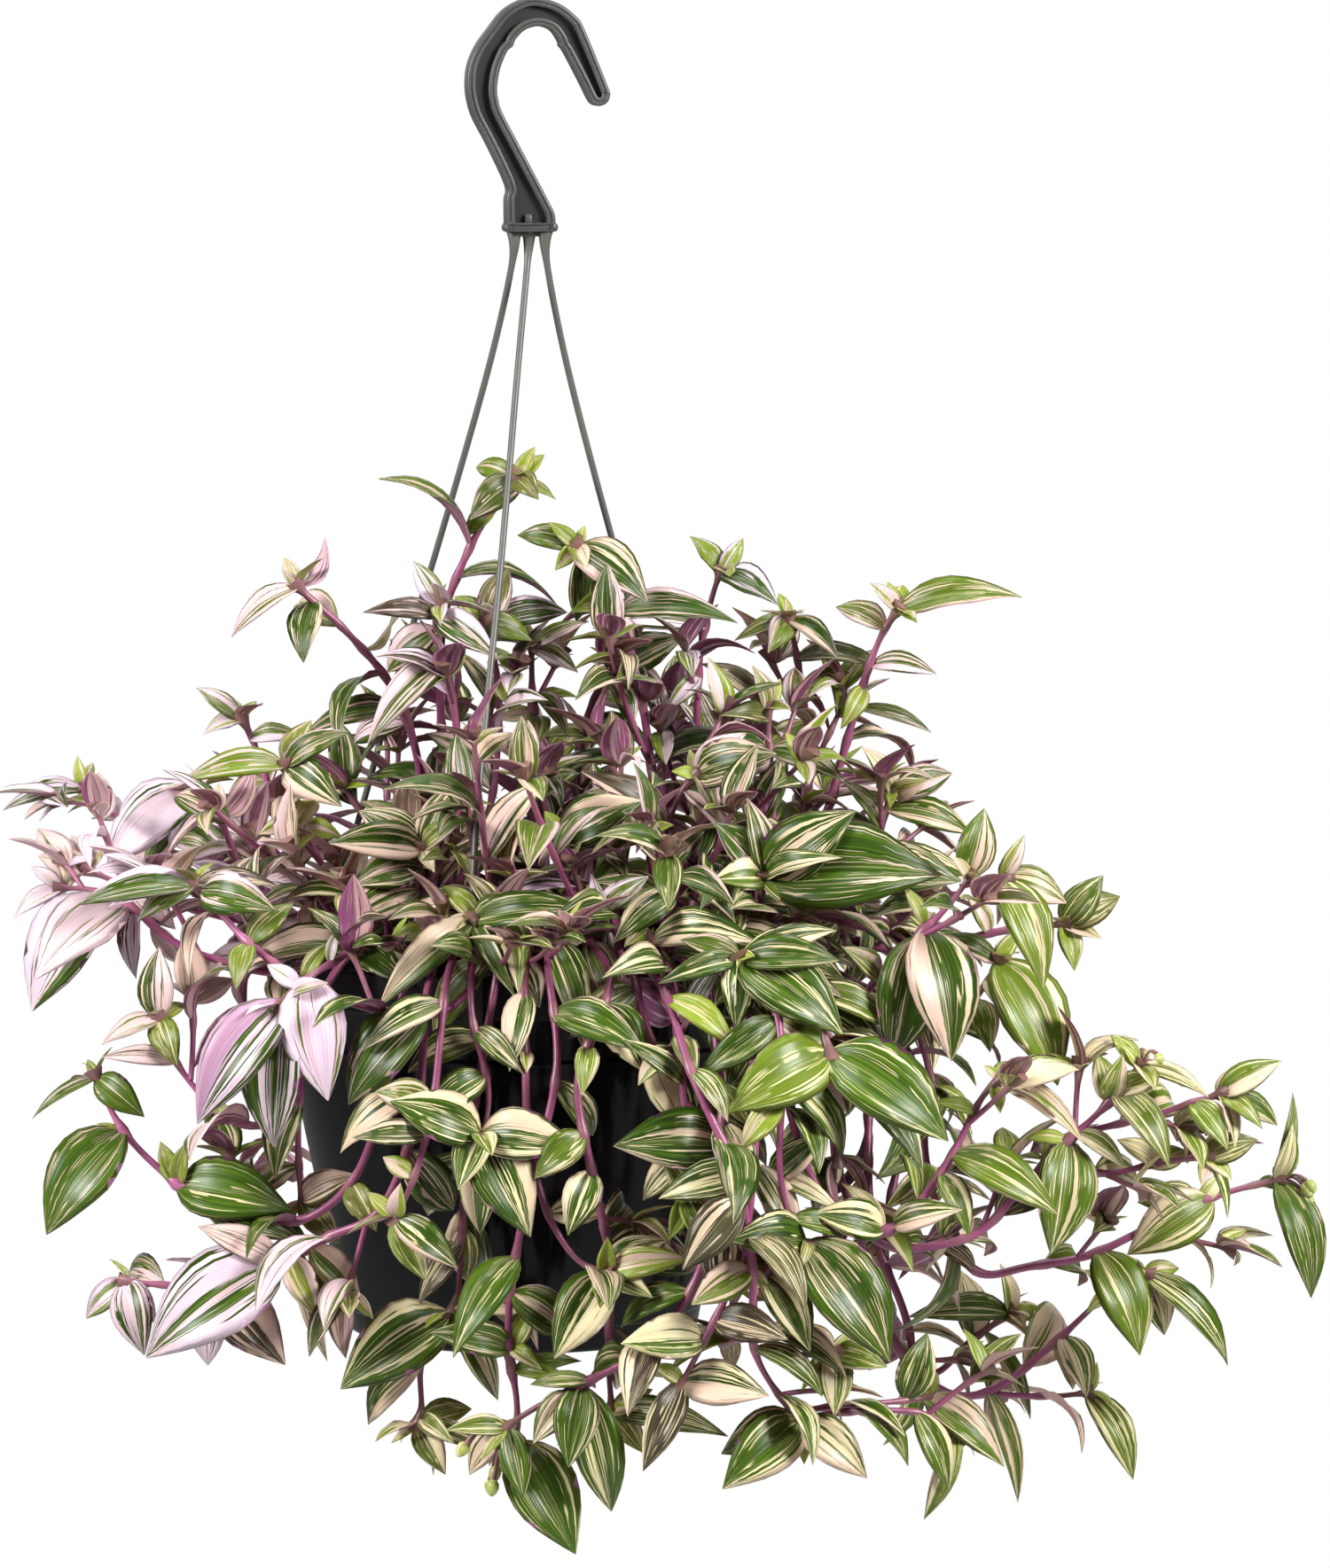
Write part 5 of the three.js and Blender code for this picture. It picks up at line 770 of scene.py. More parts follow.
def growLeaves(lines):
    room = Room()
    for node in ("pot", "hanger", "soil"):
        room.add(*meshFaces(node), node)
    wanted, extra = [], []
    for line in lines:
        line["tracedLeaves"] = tracedLeaves(line)
        wanted += line["tracedLeaves"]
        room.add(*stemFaces(line["samples"], filling["stemGirth"]), id(line))
    for i, line in enumerate(lines):
        spacing = growth["backInternode"] if line["name"].startswith("stem_back") else growth["internode"]
        wanted += ruledLeaves(line, line["tracedLeaves"], draws(100 + i), spacing)
    trees, leaves = {}, []
    for leaf in wanted:
        name = leaf["line"]["name"]
        if name not in trees:
            trees[name] = pointTree([v.co for v in frame["nodes"][name].data.vertices])
        large = norm(leaf["chord"]) >= growth["smallestLeaf"]
        found = packedTurn(leaf, trees[name]) if large else None
        if found:
            leaves.append(found)
            room.add(roughBlade(found), roughFaces, None)
        else:
            extra.append(leaf)
    print("leaves on packed blades", len(leaves))
    kept = {id(line): [leaf for leaf in leaves if leaf["line"] is line] for line in lines}
    extra.sort(key=lambda leaf: not leaf["traced"])
    for i, line in enumerate(lines):
        taken = kept[id(line)] + [leaf for leaf in extra if leaf["line"] is line]
        extra += ruledLeaves(line, taken, draws(filling["seed"] + i), filling["internode"], False)
    lines += growTwigs(lines, room)
    leaves += growBuds(lines)
    for i, line in enumerate(lines):
        if line["radius"] == twigs["radius"]:
            extra += ruledLeaves(line, [], draws(filling["seed"] + 100 + i), twigs["spacing"])
        if not line.get("bud"):
            extra += tipLeaves(line, draws(filling["seed"] + 500 + i))
    for k, leaf in enumerate(extra):
        chord, length = leaf["chord"], norm(leaf["chord"])
        if length < filling["smallest"] or (not leaf["traced"] and beforePot(leaf["base"] + chord, k)):
            continue
        if not leaf["traced"] and leaf["form"] in filling["slimmer"]:
            leaf["form"] = filling["slimmer"][leaf["form"]]
            if leaf["base"][2] > filling["droopFrom"] and k % 5 < 3:
                leaf["form"] = filling["droopForm"]
                leaf["chord"] = chord * filling["longer"] - up * length * filling["droop"]
        for turn in turns[:filling["turns"]]:
            turned = turnedLeaf(leaf, turn)
            points = roughBlade(turned)
            if room.takes(points, roughFaces, id(leaf["line"])):
                room.add(points, roughFaces, None)
                leaves.append(turned)
                break
    print("leaves in all", len(leaves))
    return leaves


# Short side shoots in the leaf axils, longer and closer in the crown; each starts along its parent,
# across it and up in these shares
twigs = {
    "way": (0.7, 0.8, 0.25), "outward": 0.2, "bend": 0.45, "crownLift": 0.55,
    "every": 6, "chance": 0.34, "crownChance": 0.75, "shortest": 14, "longest": 32, "crownLongest": 66,
    "radius": 1.2, "thick": (1.0, 0.85), "spacing": 17, "seed": 4200, "tries": 6, "crownRadius": 100,
    "deepest": 130,
    # in the front view: where the pot shows, and how high and low the plant reaches at places across
    "potView": (330, 700, 1075, 1480), "bandView": 1190,
    "outline": [(0, 900, 1240), (130, 890, 1420), (300, 850, 1500), (420, 730, 1510), (700, 700, 1620),
                (960, 730, 1640), (1080, 920, 1600), (1250, 1220, 1560), (1500, 1300, 1480)],
}


def withinOutline(point):
    x, y = inView(point)
    across, high, low = np.array(twigs["outline"], float).T
    if not np.interp(x, across, high) < y < np.interp(x, across, low):
        return False
    return abs(point[1]) < twigs["deepest"] and 30 < x < 1450 and not beforePot(point, 1)


def beforePot(point, k):
    # Nothing more hangs before the pot's band, and less before its wall
    x, y = inView(point)
    left, right, top, foot = twigs["potView"]
    return left < x < right and top < y < foot and point[1] < -40 and (y < twigs["bandView"] or k % 3 > 0)


def growTwigs(lines, room):
    ahead, aside, rising = twigs["way"]
    found = []
    for i, parent in enumerate(lines):
        draw = draws(twigs["seed"] + i)
        for at in range(6, len(parent["samples"]) - 3, twigs["every"]):
            base = axisPoint(parent, at)
            inCrown = base[2] > rimTop - 12 and math.hypot(base[0] - potX, base[1]) < twigs["crownRadius"]
            chance = twigs["crownChance"] if inCrown else twigs["chance"]
            if draw() > chance:
                continue
            longest = twigs["crownLongest" if inCrown else "longest"]
            along = tangentAt(parent["samples"], at)
            for _ in range(twigs["tries"]):
                length = twigs["shortest"] + (longest - twigs["shortest"]) * draw()
                across = turnAbout(sideways(along, 0), along, 360 * draw())
                way = unit(along * ahead + across * aside + up * rising)
                lift = twigs["crownLift"] if inCrown else 0.7 * draw() - 0.3
                bend = up * lift + outwardAt(base) * twigs["outward"]
                t = np.linspace(0, 1, max(4, round(length / 4)))[:, None]
                samples = base + way * length * t + bend * (length * twigs["bend"]) * t * t
                points, faces = stemFaces(samples[2:], twigs["radius"] + 0.5)
                if withinOutline(samples[-1]) and room.takes(points, faces, id(parent)):
                    found.append(newLine(parent["name"], samples, twigs["radius"], parent=parent, at=at,
                                         points=list(samples), thick=twigs["thick"]))
                    room.add(points, faces, id(found[-1]))
                    break
    print("side shoots", len(found))
    return found


# Flower buds on curled stalks at some tips
buds = {"places": [(1312, 1182), (1452, 1335), (1205, 1462), (600, 1570)], "count": 5, "stalk": 11,
        "length": 5, "radius": 0.5, "thick": (0.5, 0.4), "seed": 61}


def growBuds(lines):
    draw = draws(buds["seed"])
    found = []
    for place in buds["places"]:
        tips = [math.dist(inView(line["samples"][-1]), place) for line in lines]
        parent = lines[tips.index(min(tips))]
        at = len(parent["samples"]) - 1
        along = tangentAt(parent["samples"], at)
        for _ in range(buds["count"]):
            across = turnAbout(sideways(along, 0), along, 360 * draw())
            length = buds["stalk"] * (0.6 + 0.6 * draw())
            t = np.linspace(0, 1, 6)[:, None]
            samples = parent["samples"][at] + (along * 0.7 + across * 0.7) * length * t
            samples = samples - up * length * 0.5 * t ** 3 + across * length * 0.3 * t * (1 - t)
            line = newLine(parent["name"], samples, buds["radius"], parent=parent, at=at,
                           points=list(samples), thick=buds["thick"], bud=True)
            lines.append(line)
            chord = unit(samples[-1] - samples[-2]) * buds["length"] * (0.8 + 0.4 * draw())
            found.append(newLeaf(line, 5, samples[-1], chord, vec(0, -1, 0.2), len(forms), True))
    return found


# The youngest leaves stand close round each tip: how far each opens in degrees, and its length
youngest = (16, 8), (48, 13), (72, 17)
goldenTurn = 137.5


def tipLeaves(line, draw):
    at = len(line["samples"]) - 1
    along = tangentAt(line["samples"], at)
    phase = 360 * draw()
    found = []
    for k, (opening, length) in enumerate(youngest):
        across = turnAbout(sideways(along, 0), along, phase + goldenTurn * k)
        chord = turnAbout(along, across, opening) * length * (0.8 + 0.4 * draw())
        chord = chord - up * length * 0.12 * k
        found.append(newLeaf(line, at, axisPoint(line, at), chord, up + along * 0.2, 5 if k else 7))
    return found


leaves = growLeaves(lines)


# Node trees: a node given as an input stands for its first output
def fill(tree, node, inputs):
    for key, value in inputs.items():
        if isinstance(value, bpy.types.Node):
            value = value.outputs[0]
        if isinstance(value, bpy.types.NodeSocket):
            tree.links.new(value, node.inputs[key])
        else:
            node.inputs[key].default_value = value


def addNode(tree, kind, inputs=None, **settings):
    node = tree.nodes.new(kind)
    for key, value in settings.items():
        setattr(node, key, value)
    fill(tree, node, inputs or {})
    return node


def calc(tree, operation, *values):
    return addNode(tree, "ShaderNodeMath", dict(enumerate(values)), operation=operation)


def times(tree, a, b):
    return calc(tree, "MULTIPLY", a, b)


def timesPlus(tree, a, b, c):
    return calc(tree, "MULTIPLY_ADD", a, b, c)


def ramp(tree, value, low, high, start=0.0, end=1.0):
    return addNode(tree, "ShaderNodeMapRange", {"Value": value, "From Min": low, "From Max": high,
                                                "To Min": start, "To Max": end})


def mixed(tree, factor, first, second):
    # A colour mix: inputs 6 and 7 and output 2 are its colour sockets
    return addNode(tree, "ShaderNodeMix", {0: factor, 6: first, 7: second}, data_type="RGBA").outputs[2]


def noise(tree, vector, scale, detail=2.0, rough=0.5):
    return addNode(tree, "ShaderNodeTexNoise", {"Vector": vector, "Scale": scale, "Detail": detail,
                                                "Roughness": rough})


def vector(tree, x, y, z):
    return addNode(tree, "ShaderNodeCombineXYZ", {0: x, 1: y, 2: z})


def parts(tree, source):
    return addNode(tree, "ShaderNodeSeparateXYZ", {0: source}).outputs


def surfaceValue(tree, name, output="Vector"):
    return addNode(tree, "ShaderNodeAttribute", attribute_name=name).outputs[output]


def bump(tree, height, strength, distance):
    return addNode(tree, "ShaderNodeBump", {"Height": height, "Strength": strength, "Distance": distance})


def rgb(*shades):
    # A colour given as it looks on a screen, 0 to 255
    return tuple(((c / 255 + 0.055) / 1.055) ** 2.4 if c > 10 else c / 255 / 12.92 for c in shades) + (1,)


def emptyTree(owner):
    owner.use_nodes = True
    owner.node_tree.nodes.clear()
    return owner.node_tree


def newMaterial(name, shade):
    material = bpy.data.materials.new(name)
    tree = emptyTree(material)
    shader = addNode(tree, "ShaderNodeBsdfPrincipled")
    addNode(tree, "ShaderNodeOutputMaterial", {"Surface": shader})
    material.diffuse_color = shade
    return material, tree, shader


def newTree(name, kind, inputs, outputs, outputKind):
    # Inputs by name, each with its first value, or with its kind where it has none
    tree = bpy.data.node_groups.new(name, kind)
    numbers = {float: "Float", int: "Int"}
    for label, value in inputs.items():
        number = numbers.get(type(value))
        kindOf = "NodeSocket" + (number or value)
        socket = tree.interface.new_socket(label, in_out="INPUT", socket_type=kindOf)
        if number:
            socket.default_value = value
    for label in outputs:
        tree.interface.new_socket(label, in_out="OUTPUT", socket_type="NodeSocket" + outputKind)
    return tree, addNode(tree, "NodeGroupInput").outputs, addNode(tree, "NodeGroupOutput")


# Stripes that follow the veins: constant across the blade, so they close up at its base and tip.
# Each noise has its rate across the blade, its drift along it and its shift.
stripeNoise = {"broad": (1.0, 0.25, 0.0), "line": (5.0, 0.5, 31.0), "thin": (8.5, 0.7, 44.0),
               "fine": (17.0, 1.4, 57.0), "breaks": (3.0, 5.0, 71.0)}


def stripesGroup():
    group, start, end = newTree(
        "stripes", "ShaderNodeTree", {"Across": 0.0, "Along": 0.0, "Seed": 0.0, "Pale": 0.5, "Lean": 0.0},
        ("Pale mask", "Patch", "Streak", "Vein"), "Float")
    across, along, seed = start["Across"], start["Along"], start["Seed"]
    places = [vector(group, times(group, across, rate), times(group, along, drift),
                     calc(group, "ADD", seed, shift)) for rate, drift, shift in stripeNoise.values()]
    broad, line, thin, fine, breaks = (noise(group, place, 1.0, 0.0) for place in places)
    tilt = times(group, times(group, across, start["Lean"]), 0.15)
    value = timesPlus(group, fine, 0.14, timesPlus(group, broad, 0.86, tilt))
    patch = ramp(group, calc(group, "ADD", value, times(group, start["Pale"], 0.44)), 0.765, 0.785)
    value = timesPlus(group, fine, 0.38, times(group, line, 0.62))
    inGreen = ramp(group, calc(group, "ADD", value, times(group, start["Pale"], 0.14)), 0.64, 0.66)
    inPale = ramp(group, value, 0.4, 0.38)
    patch = times(group, patch, calc(group, "SUBTRACT", 1.0, inPale))
    # hairlines where the thin noise crosses its middle, broken here and there
    ridge = ramp(group, calc(group, "ABSOLUTE", calc(group, "SUBTRACT", thin, 0.5)), 0.034, 0.014)
    hairs = times(group, ridge, ramp(group, breaks, 0.4, 0.5, 0.0, 0.85))
    mask = calc(group, "MAXIMUM", calc(group, "MAXIMUM", patch, inGreen), hairs)
    veins = noise(group, vector(group, times(group, across, 26.0), times(group, along, 0.6), seed), 1.0, 0.0)
    fill(group, end, {"Pale mask": mask, "Patch": patch, "Streak": fine, "Vein": veins})
    return group


leafLook = {
    "deepGreen": rgb(30, 54, 8), "green": rgb(78, 106, 22), "youngGreen": rgb(150, 170, 48),
    "dusk": rgb(84, 40, 62), "cream": rgb(230, 220, 168), "pink": rgb(216, 182, 168),
    "lavender": rgb(226, 204, 220), "magenta": rgb(152, 74, 132),
    "underside": rgb(150, 68, 126), "margin": rgb(120, 56, 80), "roughness": 0.32, "scatter": 0.12,
    "specular": 0.32,
}
stripes = stripesGroup()


def leafMaterial():
    look = leafLook
    material, tree, shader = newMaterial("stripedLeaf", look["green"])
    uv = parts(tree, addNode(tree, "ShaderNodeUVMap", uv_map="leafPlace"))
    across = timesPlus(tree, uv[0], 2.0, -1.0)
    pale, pink, young = parts(tree, surfaceValue(tree, "leafMix"))
    seed, lean, shade = parts(tree, surfaceValue(tree, "leafVary"))
    under = surfaceValue(tree, "under", "Fac")
    marks = {"Across": across, "Along": uv[1], "Seed": seed, "Pale": pale, "Lean": lean}
    paleMask, patch, streak, vein = addNode(tree, "ShaderNodeGroup", marks, node_tree=stripes).outputs
    # green parts: fine darker and lighter streaks, lighter on young leaves and to the tip; each leaf's shade
    # value darkens the green, and for leaves in the middle of the plant it carries painted shade
    lighter = timesPlus(tree, shade, 0.5, ramp(tree, streak, 0.38, 0.66, 0.0, 0.6))
    green = mixed(tree, lighter, look["deepGreen"], look["green"])
    green = mixed(tree, ramp(tree, shade, 0.18, 0.08, 0.0, 0.5), green, look["dusk"])
    green = mixed(tree, young, green, look["youngGreen"])
    # pale parts: the fine lines cream, the broad parts flushed pink to lavender
    flush = timesPlus(tree, calc(tree, "SUBTRACT", vein, 0.5), 0.4, pink)
    flush = timesPlus(tree, patch, 0.2, flush)
    light = look["cream"]
    for low, high, tone in ((0.15, 0.75, "pink"), (0.75, 1.25, "lavender"), (1.35, 1.8, "magenta")):
        light = mixed(tree, ramp(tree, flush, low, high), light, look[tone])
    light = mixed(tree, ramp(tree, vein, 0.55, 0.7, 0.0, 0.3), light, look["pink"])
    colour = mixed(tree, paleMask, green, light)
    edge = ramp(tree, calc(tree, "ABSOLUTE", across), 0.965, 0.995, 0.0, 0.55)
    colour = mixed(tree, edge, colour, look["margin"])
    middle = ramp(tree, calc(tree, "ABSOLUTE", across), 0.03, 0.0)
    colour = mixed(tree, times(tree, middle, 0.25), colour, look["cream"])
    # the underside is duller and purple, most of all where the upper side is green
    purple = times(tree, timesPlus(tree, paleMask, -0.4, 0.7), calc(tree, "SUBTRACT", 1.0, young))
    below = mixed(tree, purple, colour, look["underside"])
    colour = mixed(tree, under, colour, below)
    roughness = timesPlus(tree, under, 0.16, look["roughness"])
    relief = timesPlus(tree, vein, 0.7, times(tree, streak, 0.5))
    fill(tree, shader, {
        "Base Color": colour, "Roughness": roughness, "Normal": bump(tree, relief, 0.5, 0.00025),
        "Specular IOR Level": look["specular"], "Subsurface Weight": look["scatter"],
        "Subsurface Radius": (0.9, 0.7, 0.5), "Subsurface Scale": 0.0012})
    return material


stemLook = {"dark": rgb(76, 30, 44), "lit": rgb(134, 64, 88), "pink": rgb(184, 100, 146),
            "sheath": rgb(150, 118, 104), "green": rgb(96, 96, 44), "roughness": 0.34}


def stemMaterial():
    look = stemLook
    material, tree, shader = newMaterial("purpleStem", look["dark"])
    sheath, pink, young = parts(tree, surfaceValue(tree, "stemMix"))
    place = addNode(tree, "ShaderNodeTexCoord").outputs["Object"]
    blotch = noise(tree, place, 160.0, 3.0)
    fine = noise(tree, place, 900.0, 1.0)
    patches = ramp(tree, blotch, 0.35, 0.65, 0.05, 0.6)
    colour = mixed(tree, patches, look["dark"], look["lit"])
    colour = mixed(tree, pink, colour, look["pink"])
    colour = mixed(tree, times(tree, young, 0.8), colour, look["green"])
    colour = mixed(tree, times(tree, sheath, patches), colour, look["sheath"])
    fill(tree, shader, {
        "Base Color": colour, "Roughness": look["roughness"], "Normal": bump(tree, fine, 0.25, 0.0002),
        "Subsurface Weight": 0.08, "Subsurface Radius": (0.9, 0.5, 0.6), "Subsurface Scale": 0.001})
    return material


leafSkin = leafMaterial()
stemSkin = stemMaterial()


# The leaf blades' fine forms, one unit long with x along, y across and z to the upper face
blade = {
    "rows": [(0.0, 0.16), (0.035, 0.36), (0.1, 0.64), (0.2, 0.88), (0.32, 0.99), (0.45, 1.0), (0.58, 0.9),
             (0.7, 0.72), (0.81, 0.49), (0.91, 0.25), (1.0, 0.02)],
    "across": [-1, -0.7, -0.36, 0, 0.36, 0.7, 1], "thickness": 0.015, "crown": 0.12, "wave": 0.07,
    "variants": 3,
}


formObjects = bpy.data.collections.new("bladeForms")


def addForm(mesh, form, variant):
    bmesh.ops.recalc_face_normals(mesh, faces=mesh.faces)
    data = bpy.data.meshes.new(f"blade{form}_{variant}")
    mesh.to_mesh(data)
    mesh.free()
    formObjects.objects.link(bpy.data.objects.new(data.name, data))


def bladeForm(form, variant):
    ratio, arch, fold, twist = forms[form]
    draw = draws(31 * form + 7 * variant + 3)
    waves = [(1 + int(2 * draw()), 6.283 * draw(), blade["wave"] * (0.5 + draw())) for _ in (0, 1)]
    mesh = bmesh.new()
    place = mesh.loops.layers.uv.new("leafPlace")
    below = mesh.loops.layers.float.new("under")
    rings = []
    for t, width in blade["rows"]:
        a = math.radians(twist * t)
        half = ratio / 2 * width
        middle = 4 * arch * t * (1 - t)
        ring = []
        for u in blade["across"]:
            cycles, phase, swing = waves[u > 0]
            rise = half * fold * (1 - 0.5 * t) * abs(u) + half * blade["crown"] * math.sin(math.pi * abs(u))
            rise += half * swing * u * u * math.sin(6.283 * cycles * t + phase)
            y = u * half * math.cos(a) - rise * math.sin(a)
            z = u * half * math.sin(a) + rise * math.cos(a)
            ring.append((t, y, z + middle))
        thick = blade["thickness"] * (1 if width > 0.1 else 0.4)
        inner = list(zip(ring, blade["across"]))[1:-1]
        lower = [(x, y, z - thick * (1 - 0.35 * abs(u))) for (x, y, z), u in inner]
        rings.append([mesh.verts.new(p) for p in ring + lower[::-1]])
    count = len(blade["across"])
    total = 2 * count - 2
    spread = [(u + 1) / 2 for u in blade["across"]] + [(u + 1) / 2 for u in blade["across"][-2:0:-1]]
    for row in range(len(rings) - 1):
        for k in range(total):
            n = (k + 1) % total
            face = mesh.faces.new([rings[row][k], rings[row][n], rings[row + 1][n], rings[row + 1][k]])
            face.smooth = True
            for loop, (r, c) in zip(face.loops, ((row, k), (row, n), (row + 1, n), (row + 1, k))):
                loop[place].uv = (spread[c], blade["rows"][r][0])
                loop[below] = 0.0 if k < count - 1 else 1.0
    for row in (0, -1):
        face = mesh.faces.new(rings[row] if row else rings[row][::-1])
        for loop in face.loops:
            loop[place].uv = (0.5, blade["rows"][row][0])
    addForm(mesh, form, variant)


# A closed flower bud, one unit long, from rings round it that close to a point at both ends
budSides, budRings = 8, 6


def budForm(variant):
    mesh = bmesh.new()
    place = mesh.loops.layers.uv.new("leafPlace")
    mesh.loops.layers.float.new("under")
    rings = []
    for row in range(budRings + 1):
        a = math.pi * row / budRings
        x, sides = 0.5 * math.cos(a), budSides if 0 < row < budRings else 1
        wide = 0.5 * math.sin(a) * (0.62 - 0.3 * x + 0.06 * variant)
        turned = [2 * math.pi * k / sides for k in range(sides)]
        rings.append([mesh.verts.new((x + 0.5, wide * math.cos(b), wide * math.sin(b))) for b in turned])
    for first, second in zip(rings, rings[1:]):
        for k in range(budSides):
            corners = [ring[j % len(ring)] for ring, j in
                       ((first, k), (first, k + 1), (second, k + 1), (second, k))]
            face = mesh.faces.new(list(dict.fromkeys(corners)))
            face.smooth = True
            for loop in face.loops:
                loop[place].uv = (0.5, loop.vert.co[0])
    addForm(mesh, len(forms), variant)


for variant in range(blade["variants"]):
    budForm(variant)
    for form in range(len(forms)):
        bladeForm(form, variant)


# Geometry Nodes trees
def geometryTree(name, inputs):
    return newTree(name, "GeometryNodeTree", {"Geometry": "Geometry", **inputs}, ["Geometry"], "Geometry")


def endTree(tree, start, end, geometry):
    real = addNode(tree, "GeometryNodeRealizeInstances", {0: geometry})
    look = addNode(tree, "GeometryNodeSetMaterial", {"Geometry": real, "Material": start["Look"]})
    fill(tree, end, {0: look})
    return tree


def attribute(tree, name, kind):
    return addNode(tree, "GeometryNodeInputNamedAttribute", {"Name": name}, data_type=kind)


def leavesTree():
    tree, start, end = geometryTree("leavesOnStems", {"Forms": "Collection", "Look": "Material", "Size": 1.0})
    blades = addNode(tree, "GeometryNodeCollectionInfo", {
        "Collection": start["Forms"], "Separate Children": True, "Reset Children": True})
    turn = addNode(tree, "FunctionNodeEulerToRotation", {0: attribute(tree, "leafTurn", "FLOAT_VECTOR")})
    size = addNode(tree, "ShaderNodeVectorMath", {
        0: attribute(tree, "leafSize", "FLOAT_VECTOR"), "Scale": start["Size"]}, operation="SCALE")
    placed = addNode(tree, "GeometryNodeInstanceOnPoints", {
        "Points": start["Geometry"], "Instance": blades, "Pick Instance": True, "Rotation": turn,
        "Instance Index": attribute(tree, "leafForm", "INT"), "Scale": size})
    return endTree(tree, start, end, placed)


def stemsTree():
    tree, start, end = geometryTree("roundStems", {"Sides": 8, "Thickness": 1.0, "Look": "Material"})
    curve = addNode(tree, "GeometryNodeMeshToCurve", {0: start["Geometry"]})
    radius = times(tree, attribute(tree, "stemRadius", "FLOAT"), start["Thickness"])
    profile = addNode(tree, "GeometryNodeCurvePrimitiveCircle", {"Resolution": start["Sides"], "Radius": 1.0})
    tube = addNode(tree, "GeometryNodeCurveToMesh", {
        "Curve": curve, "Profile Curve": profile, "Scale": radius, "Fill Caps": True})
    return endTree(tree, start, end, addNode(tree, "GeometryNodeSetShadeSmooth", {0: tube}))


def addAttribute(mesh, name, kind, values):
    values = np.asarray(values)
    attribute = mesh.attributes.new(name, kind, "POINT")
    field = "vector" if kind == "FLOAT_VECTOR" else "value"
    attribute.data.foreach_set(field, values.ravel().astype(np.int32 if kind == "INT" else np.float32))


def pieceOf(mesh, name):
    piece = bpy.data.objects.new(name, mesh)
    bpy.context.scene.collection.objects.link(piece)
    return piece


def madeMesh(piece):
    # The mesh with the piece's modifiers applied
    bpy.context.view_layer.update()
    return bpy.data.meshes.new_from_object(piece.evaluated_get(bpy.context.evaluated_depsgraph_get()))


def finished(mesh, tree, values):
    # What the tree makes of a mesh
    source = pieceOf(mesh, "source")
    modifier = source.modifiers.new("made", "NODES")
    modifier.node_group = tree
    for item in tree.interface.items_tree:
        if item.in_out == "INPUT" and item.name in values:
            modifier[item.identifier] = values[item.name]
    made = madeMesh(source)
    bpy.data.objects.remove(source)
    return made


leafTree = leavesTree()
stemTree = stemsTree()

# How pale and how pink the leaves are, by place: in each pair of places the effect grows from the first
# to the second. Leaves in the middle of the front view are darker, a painted shade, and leaves to the right
# are paler and a younger green, a painted backlight. Then the stems that differ.
tint = {"pale": 0.31, "palest": 0.32, "left": (-30.0, -140.0), "leftPale": 0.34, "leftPink": 0.62,
        "large": 36, "largePale": -0.22, "halved": 0.3, "halfLean": 2.1, "right": (120, 180),
        "rightPaintedBacklight": 0.12, "pink": 0.26, "crown": (-310.0, -230.0), "crownPink": 0.4, "yellow": 0.1,
        "small": (22, 12), "inner": (170, 110), "middle": (20, -250), "innerPaintedShade": 0.45, "deepest": 0.2}
paler = {"stem_left_big": 0.35, "stem_left_pink": 0.3, "stem_left_magenta": 0.35, "shoot_up_1": -0.3,
         "stem_left_dark": -0.3, "star_front": -0.1, "shoot_up_2": -0.15, "stem_left_low": -0.75,
         "stem_left_star": 0.1}
pinker = {"stem_left_magenta": 0.6, "stem_left_low_2": 0.15, "stem_left_low": -0.3, "stem_left_mid": 0.1,
          "stem_purple_fold": 0.9, "shoot_up_6": 0.3, "shoot_up_3": 0.4}


def leafTint(leaf, draw):
    tip = leaf["base"] + leaf["chord"] * leaf["size"]
    left = share(tip[0], *tint["left"])
    length = norm(leaf["chord"]) * leaf["size"]
    pale = tint["pale"] + tint["palest"] * (2 * draw() - 1) + tint["leftPale"] * left
    pale += paler.get(leaf["line"]["name"], 0)
    lean = 2 * draw() - 1
    if draw() < tint["halved"]:
        lean = math.copysign(tint["halfLean"], lean)
    elif length > tint["large"] and left == 0:
        pale += tint["largePale"]
    high = share(tip[2], *tint["crown"])
    pink = tint["pink"] + 0.5 * (draw() - 0.5) + tint["leftPink"] * left
    pink += tint["crownPink"] * high * (1 - left) + pinker.get(leaf["line"]["name"], 0)
    # leaves to the right are paler and a younger green: a painted backlight
    right = share(tip[0], *tint["right"])
    pale += tint["rightPaintedBacklight"] * right
    young = max(share(length, *tint["small"]) * (0.6 + 0.4 * draw()), 0.4 * right * draw())
    if draw() < tint["yellow"]:
        young = max(young, (0.8 if length < 30 else 0.4) * draw())
    shade = draw() if length < tint["large"] else 0.3 + 0.6 * draw()
    # leaves near the middle of the front view are darkened: painted shade
    inner = share(math.dist((tip[0], tip[2]), tint["middle"]), *tint["inner"])
    shade = max(min(shade, tint["deepest"]), shade - tint["innerPaintedShade"] * inner)
    return (pale, pink, young), (100 * draw(), lean, shade)


